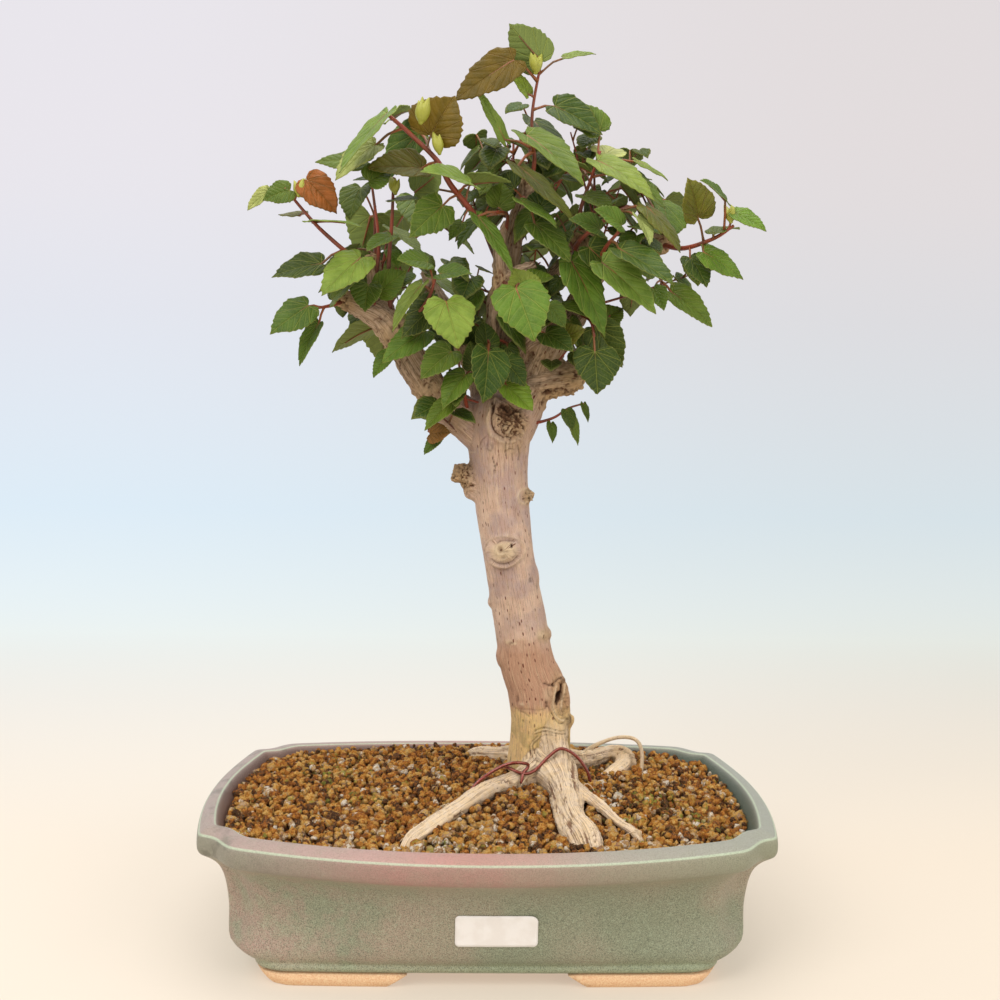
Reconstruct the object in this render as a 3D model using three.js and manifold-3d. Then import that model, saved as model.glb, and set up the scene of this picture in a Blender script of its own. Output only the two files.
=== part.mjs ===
// A sea hibiscus grown as a bonsai, in an oblong glazed pot with stepped corners.
// Millimetres, +Z up. The origin is the middle of the pot, on the surface that its feet stand on.
// +X is to the right and -Y is the front, the side that the tree was trained to be seen from.

import * as THREE from "three";
import { mergeVertices } from "three/addons/utils/BufferGeometryUtils.js";
import Module from "manifold-3d";

const wasm = await Module();
wasm.setup();

// Driving dimensions of the pot
const POT_LENGTH = 320;
const POT_DEPTH = 240;
const POT_HEIGHT = 76;
const RIM_SAG = 3;
const SIDE_BOW = 9;
const SIDE_ARC_END = 83;
const LONG_ARC_END = 129;
const LONG_BOW = 17.5;
const LONG_BOW_POWER = 2.2;
const BASE_UNDERSIDE = 6;
const FLOOR_TOP = 14;
const PLINTH_TOP = 11;
const STEPPED_ABOVE = 30;
const FOOT_INNER_X = 52;
const FOOT_RAMP = 9;
const FOOT_BACK_Y = 46;
const DRAIN_X = 60;
const DRAIN_RADIUS = 10;
const DRAIN_SIDES = 14;

// The soil and what lies in the pot
const SOIL_LEVEL = 71.5;
const SOIL_MOUND = 5;
const SOIL_MOUND_SPREAD = 45;
const TRUNK_FOOT = [36, 26];
const GRAIN_PITCH = 13.6;
const GRAIN_RELIEF = 2.6;
const GRAIN_SHIFT = 2.4;
const NET_SIDE = 34;
const NET_THICKNESS = 1;
const NET_OPENING = 12.5;
const NET_BAR = 2.5;
const NET_OPENINGS_ACROSS = 2;
const WIRE_RADIUS = 1;
const WIRE_SIDES = 5;

// The blank label on the front wall
const LABEL_LEFT = -17;
const LABEL_RIGHT = 25;
const LABEL_BOTTOM = 25.5;
const LABEL_TOP = 42.5;
const LABEL_THICKNESS = 0.4;

// Leaves and their stalks
const BLADE_THICKNESS = 0.7;
const BLADE_FOLD = 0.26;
const BLADE_ARCH = 0.16;
const STALK_WIDTH = 1.1;
const TOOTHED_FROM = 18;
const LARGE_LEAF = 35;
const STEM_SIDES = 3;

// Sides of the wood's tubes
const TRUNK_SIDES = 10;
const LIMB_SIDES = 6;
const KNOT_SIDES = 5;
const ROOT_SIDES = 6;
const THIN_ROOT_SIDES = 4;

// Touching pieces keep this gap
const CLEAR = 0.3;

const GOLDEN_ANGLE = 2.39996;

// A seeded stream of numbers from 0 to 1, so that every run places the same leaf and grain.
function seeded(seed) {
  let state = seed >>> 0;
  return () => {
    state = (state + 0x6d2b79f5) >>> 0;
    let mixed = Math.imul(state ^ (state >>> 15), state | 1);
    mixed = (mixed + Math.imul(mixed ^ (mixed >>> 7), mixed | 61)) ^ mixed;
    return ((mixed ^ (mixed >>> 14)) >>> 0) / 4294967296;
  };
}

const vec = (p) => new THREE.Vector3(p[0], p[1], p[2]);

// Solids

// A closed three.js geometry as a solid for joining and cutting.
function solidOf(geometry) {
  const bare = new THREE.BufferGeometry();
  bare.setAttribute("position", geometry.getAttribute("position"));
  if (geometry.index) bare.setIndex(geometry.index);
  const merged = mergeVertices(bare, 1e-4);
  return new wasm.Manifold(
    new wasm.Mesh({
      numProp: 3,
      vertProperties: merged.attributes.position.array,
      triVerts: new Uint32Array(merged.index.array),
    }),
  );
}

// A geometry from points and triangles of their indices.
function geometryOf(points, triangles) {
  const geometry = new THREE.BufferGeometry();
  const flat = points.flatMap((p) => [p.x, p.y, p.z]);
  geometry.setAttribute("position", new THREE.Float32BufferAttribute(flat, 3));
  geometry.setIndex(triangles.flat());
  return geometry;
}

// A closed solid through rings of equal length. Each ring runs counterclockwise about the way the
// rings follow each other, and each end closes on a centre point, pushed out by endSwell.
function loft(rings, endSwell = 0) {
  const count = rings[0].length;
  const points = rings.flat();
  const triangles = [];
  for (let r = 0; r + 1 < rings.length; r++) {
    for (let i = 0; i < count; i++) {
      const next = (i + 1) % count;
      const low = r * count;
      const high = low + count;
      triangles.push([low + i, low + next, high + next], [low + i, high + next, high + i]);
    }
  }
  const centreOf = (ring) =>
    ring.reduce((sum, p) => sum.add(p), new THREE.Vector3()).divideScalar(ring.length);
  const first = centreOf(rings[0]);
  const last = centreOf(rings.at(-1));
  const startWay = first.clone().sub(centreOf(rings[1])).normalize();
  const endWay = last.clone().sub(centreOf(rings.at(-2))).normalize();
  points.push(first.addScaledVector(startWay, endSwell), last.addScaledVector(endWay, endSwell));
  const startCentre = points.length - 2;
  const endCentre = points.length - 1;
  const lastRing = (rings.length - 1) * count;
  for (let i = 0; i < count; i++) {
    const next = (i + 1) % count;
    triangles.push([startCentre, next, i], [endCentre, lastRing + i, lastRing + next]);
  }
  return solidOf(geometryOf(points, triangles));
}

// A sheet with thickness, from two grids of points: the upper face and the lower one.
function slab(upper, lower) {
  const rows = upper.length;
  const columns = upper[0].length;
  const at = (row, column) => row * columns + column;
  const under = rows * columns;
  const triangles = [];
  for (let r = 0; r + 1 < rows; r++) {
    for (let c = 0; c + 1 < columns; c++) {
      const [p, q, s, t] = [at(r, c), at(r, c + 1), at(r + 1, c + 1), at(r + 1, c)];
      const pair = r % 2 ? [[p, q, t], [q, s, t]] : [[p, q, s], [p, s, t]];
      for (const [a, b, d] of pair) triangles.push([a, b, d], [under + a, under + d, under + b]);
    }
  }
  const edge = [];
  for (let c = 0; c + 1 < columns; c++) edge.push([at(0, c), at(0, c + 1)]);
  for (let r = 0; r + 1 < rows; r++) edge.push([at(r, columns - 1), at(r + 1, columns - 1)]);
  for (let c = columns - 1; c > 0; c--) edge.push([at(rows - 1, c), at(rows - 1, c - 1)]);
  for (let r = rows - 1; r > 0; r--) edge.push([at(r, 0), at(r - 1, 0)]);
  for (const [a, b] of edge) triangles.push([a, under + a, under + b], [a, under + b, b]);
  return solidOf(geometryOf([...upper.flat(), ...lower.flat()], triangles));
}

// A limb, root or stem: a tapering, slightly uneven tube through rows of x, y, z and radius.
function limb(rows, sides, { swell = 0, uneven = 0.06, seed = 1 } = {}) {
  const centres = rows.map(vec);
  const ways = centres.map((p, i) => {
    const from = centres[Math.max(i - 1, 0)];
    const to = centres[Math.min(i + 1, centres.length - 1)];
    return to.clone().sub(from).normalize();
  });
  let side = new THREE.Vector3(0, 1, 0);
  if (Math.abs(ways[0].y) > 0.8) side = new THREE.Vector3(1, 0, 0);
  const rings = centres.map((centre, r) => {
    const way = ways[r];
    side = side.clone().addScaledVector(way, -side.dot(way)).normalize();
    const other = way.clone().cross(side);
    return Array.from({ length: sides }, (_, i) => {
      const turn = (2 * Math.PI * i) / sides;
      const lobes = Math.sin(2 * turn + seed) + Math.sin(3 * turn + 1.7 * seed + 0.9 * r);
      const radius = rows[r][3] * (1 + uneven * lobes) + swell;
      return centre
        .clone()
        .addScaledVector(side, radius * Math.cos(turn))
        .addScaledVector(other, radius * Math.sin(turn));
    });
  });
  return loft(rings, rows.at(-1)[3] * 0.2 + swell);
}

const joined = (solids) => solids.reduce((sum, solid) => sum.add(solid));

// The one grown body of a solid, without the loose scraps that a cut leaves.
function largestBody(solid) {
  return solid.decompose().reduce((best, body) => (body.volume() > best.volume() ? body : best));
}

// Pot

// The pot's plan in the quarter x > 0, y > 0, from the side's middle to the long face's, for a pot of
// half-length and half-depth 1: first the bowed rim with its stepped corner.
function rimQuarter() {
  const quarter = [];
  for (const y of [0, 42, SIDE_ARC_END]) {
    quarter.push([POT_LENGTH / 2 - SIDE_BOW * (y / SIDE_ARC_END) ** 2, y]);
  }
  quarter.push([144, 86], [136.5, 94.5]);
  for (const x of [LONG_ARC_END, 90, 45, 0]) {
    quarter.push([x, POT_DEPTH / 2 - LONG_BOW * (x / LONG_ARC_END) ** LONG_BOW_POWER]);
  }
  return quarter.map(([x, y]) => [x / (POT_LENGTH / 2), y / (POT_DEPTH / 2)]);
}

// The same for the straight-sided plinth, with a rounded corner.
const PLINTH_QUARTER = [
  [1, 0],
  [0.995, 0.42],
  [0.985, 0.8],
  [0.972, 0.88],
  [0.935, 0.95],
  [0.87, 0.985],
  [0.6, 0.995],
  [0.3, 1],
  [0, 1],
];

// The whole outline, counterclockwise seen from above.
function outlineOf(quarter) {
  const back = [...quarter].reverse().slice(1);
  return [
    ...quarter,
    ...back.map(([x, y]) => [-x, y]),
    ...quarter.slice(1).map(([x, y]) => [-x, -y]),
    ...back.slice(0, -1).map(([x, y]) => [x, -y]),
  ];
}

const RIM_OUTLINE = outlineOf(rimQuarter());
const PLINTH_OUTLINE = outlineOf(PLINTH_QUARTER);

// Rows of height, inset at the sides and inset at the long faces, from the base to the rim.
const OUTER_ROWS = [
  [BASE_UNDERSIDE, 36.5, 26.5],
  [PLINTH_TOP, 35.5, 25.5],
  [PLINTH_TOP + 1.5, 31, 26.5],
  [18, 19.5, 21.5],
  [46, 14, 17],
  [57, 11, 12.5],
  [65.5, 1.2, 1.5],
  [POT_HEIGHT - 1.5, 0, 0],
  [POT_HEIGHT, 1.5, 1.5],
];

// The same from the floor to above the rim, inside.
const INNER_ROWS = [
  [FLOOR_TOP, 42, 38],
  [18, 32, 30],
  [28, 24, 26],
  [60, 18, 20.5],
  [POT_HEIGHT - 1.5, 11, 15],
  [POT_HEIGHT, 9.5, 13.5],
  [POT_HEIGHT + 20, 9.5, 13.5],
];

// The same for the band under the plinth that the feet are left from.
const FOOT_ROWS = [
  [0, 43, 27.5],
  [BASE_UNDERSIDE + 1, 37, 26.6],
];

function potRing([z, insetX, insetY]) {
  const { lerp, clamp, smoothstep } = THREE.MathUtils;
  const stepped = clamp((z - PLINTH_TOP) / (STEPPED_ABOVE - PLINTH_TOP), 0, 1);
  const sag = RIM_SAG * smoothstep(z, 50, 66);
  return RIM_OUTLINE.map(([rimX, rimY], i) => {
    const wide = lerp(PLINTH_OUTLINE[i][0], rimX, stepped);
    const x = wide * (POT_LENGTH / 2 - insetX);
    const y = lerp(PLINTH_OUTLINE[i][1], rimY, stepped) * (POT_DEPTH / 2 - insetY);
    return vec([x, y, z - sag * (1 - wide ** 2)]);
  });
}

// What a foot keeps of the band: a block with a ramp on its inner side.
function footBlock(signX, signY) {
  const top = 2 * BASE_UNDERSIDE;
  const shape = new THREE.Shape();
  shape.moveTo(signX * FOOT_INNER_X, -1);
  shape.lineTo((signX * POT_LENGTH) / 2, -1);
  shape.lineTo((signX * POT_LENGTH) / 2, top);
  shape.lineTo(signX * (FOOT_INNER_X - 2 * FOOT_RAMP), top);
  shape.closePath();
  const depth = POT_DEPTH / 2 - FOOT_BACK_Y;
  const geometry = new THREE.ExtrudeGeometry(shape, { depth, bevelEnabled: false, steps: 1 });
  const start = signY > 0 ? POT_DEPTH / 2 : -FOOT_BACK_Y;
  return solidOf(geometry.rotateX(Math.PI / 2).translate(0, start, 0));
}

// The space inside the pot, narrower by a gap to the clay.
function potHollow(gap) {
  const rows = INNER_ROWS.map(([z, insetX, insetY]) => [z, insetX + gap, insetY + gap]);
  rows[0][0] += gap;
  return loft(rows.map(potRing));
}

function makePot() {
  const blocks = [footBlock(1, 1), footBlock(1, -1), footBlock(-1, 1), footBlock(-1, -1)];
  const feet = loft(FOOT_ROWS.map(potRing)).intersect(joined(blocks));
  const drains = [-1, 1].map((sign) => {
    const bore = new THREE.CylinderGeometry(DRAIN_RADIUS, DRAIN_RADIUS, 3 * FLOOR_TOP, DRAIN_SIDES);
    bore.rotateX(Math.PI / 2).translate(sign * DRAIN_X, 0, 0);
    return solidOf(bore);
  });
  return loft(OUTER_ROWS.map(potRing)).add(feet).subtract(joined([potHollow(0), ...drains]));
}

// How far the front wall stands from the pot's middle at a place on it.
function frontWall(x, z) {
  const upper = OUTER_ROWS.findIndex((row) => row[0] > z);
  const [below, above] = [potRing(OUTER_ROWS[upper - 1]), potRing(OUTER_ROWS[upper])];
  const share = (z - OUTER_ROWS[upper - 1][0]) / (OUTER_ROWS[upper][0] - OUTER_ROWS[upper - 1][0]);
  const front = RIM_OUTLINE.map((_, i) => below[i].clone().lerp(above[i], share)).filter((p) => p.y < 0);
  const right = front.findIndex((p) => p.x > x);
  const [a, b] = [front[right - 1], front[right]];
  return THREE.MathUtils.lerp(a.y, b.y, (x - a.x) / (b.x - a.x));
}

function makeLabel() {
  const columns = [LABEL_LEFT, 0, LABEL_RIGHT];
  const rows = [LABEL_BOTTOM, LABEL_TOP];
  const face = (gap) =>
    rows.map((z) => columns.map((x) => vec([x, frontWall(x, z) - CLEAR - gap, z])));
  return slab(face(LABEL_THICKNESS), face(0));
}

// Tree: the one grown piece of wood, with its roots

const TRUNK = [
  [34, 39, 60, 18],
  [33, 40, 80, 20],
  [32, 40, 95, 18.5],
  [32, 39, 111, 18.3],
  [29.5, 39, 128, 18.3],
  [24, 38, 144, 17],
  [18.5, 36, 176, 16.4],
  [12.6, 33, 207, 15.8],
  [6.3, 31, 251, 17],
  [4, 30, 288, 20],
  [5, 31, 302, 16],
];

const LIMBS = {
  left: [
    [0, 29, 278, 13],
    [-14, 28, 290, 12.5],
    [-33, 26, 305, 10.8],
    [-49, 23, 328, 9.6],
    [-63, 20, 349, 9],
    [-78, 18, 357, 7],
    [-91, 17, 362, 4.5],
  ],
  leftStub: [
    [-62, 20, 348, 7],
    [-68, 21, 366, 5.5],
    [-72, 22, 387, 4.2],
  ],
  middle: [
    [1, 30, 292, 9],
    [0, 27, 328, 4.2],
    [0, 22, 358, 4.2],
    [4, 22, 372, 5],
    [3, 24, 392, 3.6],
    [7, 26, 408, 2.6],
  ],
  cutStub: [
    [3, 22, 372, 3.4],
    [13, 20, 378, 3.2],
    [24, 17, 383, 2.8],
  ],
  right: [
    [10, 30, 282, 14],
    [22, 31, 306, 11.8],
    [36, 34, 338, 9.5],
    [50, 38, 358, 8.8],
    [58, 40, 377, 8.6],
    [55, 43, 392, 9],
    [53, 44, 405, 7.5],
  ],
  crossing: [
    [8, 30, 304, 8],
    [16, 29, 334, 6.5],
    [32, 31, 346, 6],
    [48, 35, 354, 4],
  ],
  rightKnob: [
    [22, 31, 312, 11],
    [48, 29, 317, 10],
    [54, 29, 316, 7],
  ],
  rightReach: [
    [57, 40, 376, 6],
    [78, 46, 391, 5.2],
    [105, 51, 403, 7],
    [109, 51, 402, 5],
  ],
  backTop: [
    [6, 34, 298, 9],
    [9, 42, 358, 6],
    [13, 37, 405, 5.2],
    [20, 33, 430, 5.6],
    [21, 32, 438, 4.4],
  ],
  backLeft: [
    [2, 36, 292, 10],
    [-12, 52, 330, 8],
    [-30, 62, 360, 6],
    [-42, 70, 384, 4],
  ],
  backRight: [
    [9, 42, 345, 7],
    [26, 58, 370, 6],
    [44, 69, 391, 4],
  ],
};

const KNOTS = {
  leftKnob: [
    [-2, 30, 250, 9],
    [-13, 29, 255, 9],
    [-20, 28, 261, 6],
  ],
  rightKnob: [
    [14, 29, 245, 6],
    [22, 28, 246, 4.6],
    [25, 28, 245, 2.8],
  ],
  ringedKnot: [
    [9, 30, 213, 9],
    [8.2, 17, 213.6, 9.6],
    [7.8, 14.2, 214, 7],
  ],
  leftNub: [
    [7, 34, 181, 6],
    [0, 34, 181.5, 3.4],
  ],
  rightNub: [
    [28, 35, 160, 7],
    [35, 35, 161, 5.6],
    [38, 35, 161, 3.5],
  ],
  wound: [
    [36, 33, 140, 4],
    [45, 32, 126, 5.2],
    [46, 35, 100, 5.4],
    [45, 38, 80, 6.6],
  ],
  lowKnob: [
    [46, 36, 109, 5],
    [53, 36, 107, 3.4],
  ],
  burl: [
    [10, 26, 288, 11],
    [14, 16, 291, 9],
    [15, 12.5, 292, 5],
  ],
};

const ROOTS = {
  front: [
    [36, 24, 82, 13],
    [41, 12, 80.5, 11.8],
    [44, 0, 77.5, 9.2],
    [45, -21, 75.5, 8.4],
    [45, -40, 74.4, 7.8],
    [47, -59, 73, 8],
    [51, -74, 70.5, 8.4],
    [54, -85, 61, 5.6],
  ],
  left: [
    [34, 26, 84, 11],
    [22, 12, 79.5, 7],
    [8, 4, 76.2, 6],
    [-2, -8, 75.4, 5.9],
    [-18, -36, 74.3, 5.1],
    [-35, -66, 73, 4.3],
    [-42, -80, 71.5, 3.9],
    [-46, -88, 65, 2.6],
  ],
  thinRight: [
    [46, 8, 76, 5.4],
    [54, -4, 76.6, 3.9],
    [60, -21, 76, 3.4],
    [72, -56, 74.2, 2.8],
    [78, -68, 73.2, 2.6],
    [83, -78, 66, 2],
  ],
  backRight: [
    [36, 42, 82, 11],
    [56, 42, 80.5, 7],
    [67, 50, 80, 6.2],
    [76, 61, 78.6, 6],
    [85, 67, 77, 6.2],
    [90, 62, 75, 6.4],
    [90, 58, 66, 5],
  ],
  elbow: [
    [88, 63, 75.6, 6.4],
    [86, 50, 74.2, 5.8],
    [77, 38, 72, 4.8],
    [70, 33, 69, 3.8],
    [66, 31, 63, 2.8],
  ],
  hidden: [
    [32, 48, 80, 12],
    [12, 68, 75, 8],
    [-6, 82, 72, 5.4],
    [-14, 88, 64, 3],
  ],
  looped: [
    [62, 50, 84, 1.6],
    [70, 50, 89, 1.3],
    [83, 50, 93.5, 1.2],
    [94, 50, 92, 1.2],
    [98, 49, 83, 1.2],
    [97, 48, 64, 1.4],
  ],
};

function makeTree(swell) {
  const pieces = [limb(TRUNK, TRUNK_SIDES, { swell, uneven: 0.035, seed: 2 })];
  Object.values(LIMBS).forEach((rows, i) => pieces.push(limb(rows, LIMB_SIDES, { swell, seed: i + 3 })));
  Object.values(KNOTS).forEach((rows, i) => pieces.push(limb(rows, KNOT_SIDES, { swell, seed: i + 5 })));
  Object.values(ROOTS).forEach((rows, i) => {
    const sides = rows[0][3] > 2 ? ROOT_SIDES : THIN_ROOT_SIDES;
    pieces.push(limb(rows, sides, { swell, uneven: 0.1, seed: i + 7 }));
  });
  return joined(pieces);
}

// Tie-down wire: both ends come up through the soil, cross the front root and are twisted together

const WIRE_ROUTE = [
  [21, 1, 79],
  [20.5, 3, 84],
  [17, 4, 88],
  [9, 3.5, 87.5],
  [1, 1.5, 84],
  [-7, -1, 78],
  [-16, -2, 66],
  [-34, 1, 44],
  [-50, 4, 26],
  [-55, 5, 16],
  [-55, 5, 8.5],
  [-54, 5, 5.2],
  [-51.2, 5, 3.9],
  [-40, 5, 4.5],
  [0, 5, 4.5],
  [40, 5, 4.5],
  [51.2, 5, 3.9],
  [54, 5, 5.2],
  [55, 5, 8.5],
  [55, 5, 18],
  [60, 6, 46],
  [62, 8, 66],
  [61, 9, 80],
  [57, 10, 89],
  [49, 11.5, 93.5],
  [40, 12, 95],
  [30, 9, 93.5],
  [23, 5.8, 90.2],
];
const WIRE_TWIST = [
  [24, 6, 90.4, 1.9],
  [20, 4.6, 88.8, 2.4],
  [14, 3.8, 87.6, 1.9],
];

function makeWire(swell) {
  const route = WIRE_ROUTE.map((p) => [...p, WIRE_RADIUS]);
  const run = limb(route, WIRE_SIDES, { swell, uneven: 0 });
  return run.add(limb(WIRE_TWIST, WIRE_SIDES, { swell, uneven: 0.1 }));
}

// Net squares over the drain holes
function makeNet(centreX) {
  const height = FLOOR_TOP + CLEAR + NET_THICKNESS / 2;
  const plate = new THREE.BoxGeometry(NET_SIDE, NET_SIDE, NET_THICKNESS);
  const pitch = NET_OPENING + NET_BAR;
  const middle = (NET_OPENINGS_ACROSS - 1) / 2;
  const openings = [];
  for (let i = 0; i < NET_OPENINGS_ACROSS; i++) {
    for (let j = 0; j < NET_OPENINGS_ACROSS; j++) {
      const box = new THREE.BoxGeometry(NET_OPENING, NET_OPENING, 3 * NET_THICKNESS);
      const [x, y] = [centreX + (i - middle) * pitch, (j - middle) * pitch];
      openings.push(solidOf(box.translate(x, y, height)));
    }
  }
  return solidOf(plate.translate(centreX, 0, height)).subtract(joined(openings));
}

// Soil

function soilLevel(x, y) {
  const fromTrunk = (x - TRUNK_FOOT[0]) ** 2 + (y - TRUNK_FOOT[1]) ** 2;
  const mound = SOIL_MOUND * Math.exp(-fromTrunk / (2 * SOIL_MOUND_SPREAD ** 2));
  return SOIL_LEVEL + mound - 1.5 * THREE.MathUtils.smoothstep(x, 90, 150);
}

// The bed: a field of raised grains, trimmed to the pot, with plain holes for what grows or runs in it.
function makeSoil(treeSkin, wireSkin) {
  const random = seeded(11);
  const columns = Math.round(POT_LENGTH / GRAIN_PITCH);
  const rows = Math.round(POT_DEPTH / GRAIN_PITCH);
  const upper = [];
  const lower = [];
  for (let r = 0; r <= rows; r++) {
    const line = [];
    for (let c = 0; c <= columns; c++) {
      const shift = r % 2 ? GRAIN_PITCH / 4 : -GRAIN_PITCH / 4;
      const x = (c - columns / 2) * GRAIN_PITCH + shift + GRAIN_SHIFT * (random() - 0.5);
      const y = (r - rows / 2) * GRAIN_PITCH + GRAIN_SHIFT * (random() - 0.5);
      line.push(vec([x, y, soilLevel(x, y) + GRAIN_RELIEF * (random() - 0.5)]));
    }
    upper.push(line);
    lower.push(line.map((p) => vec([p.x, p.y, BASE_UNDERSIDE])));
  }
  const pockets = [-DRAIN_X, DRAIN_X].map((x) => {
    const side = NET_SIDE + 2 * CLEAR;
    const box = new THREE.BoxGeometry(side, side, 2 * (NET_THICKNESS + 2 * CLEAR));
    return solidOf(box.translate(x, 0, FLOOR_TOP + CLEAR));
  });
  const bed = slab(upper, lower).intersect(potHollow(CLEAR));
  return largestBody(bed.subtract(joined([treeSkin, wireSkin, ...pockets])));
}

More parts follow.
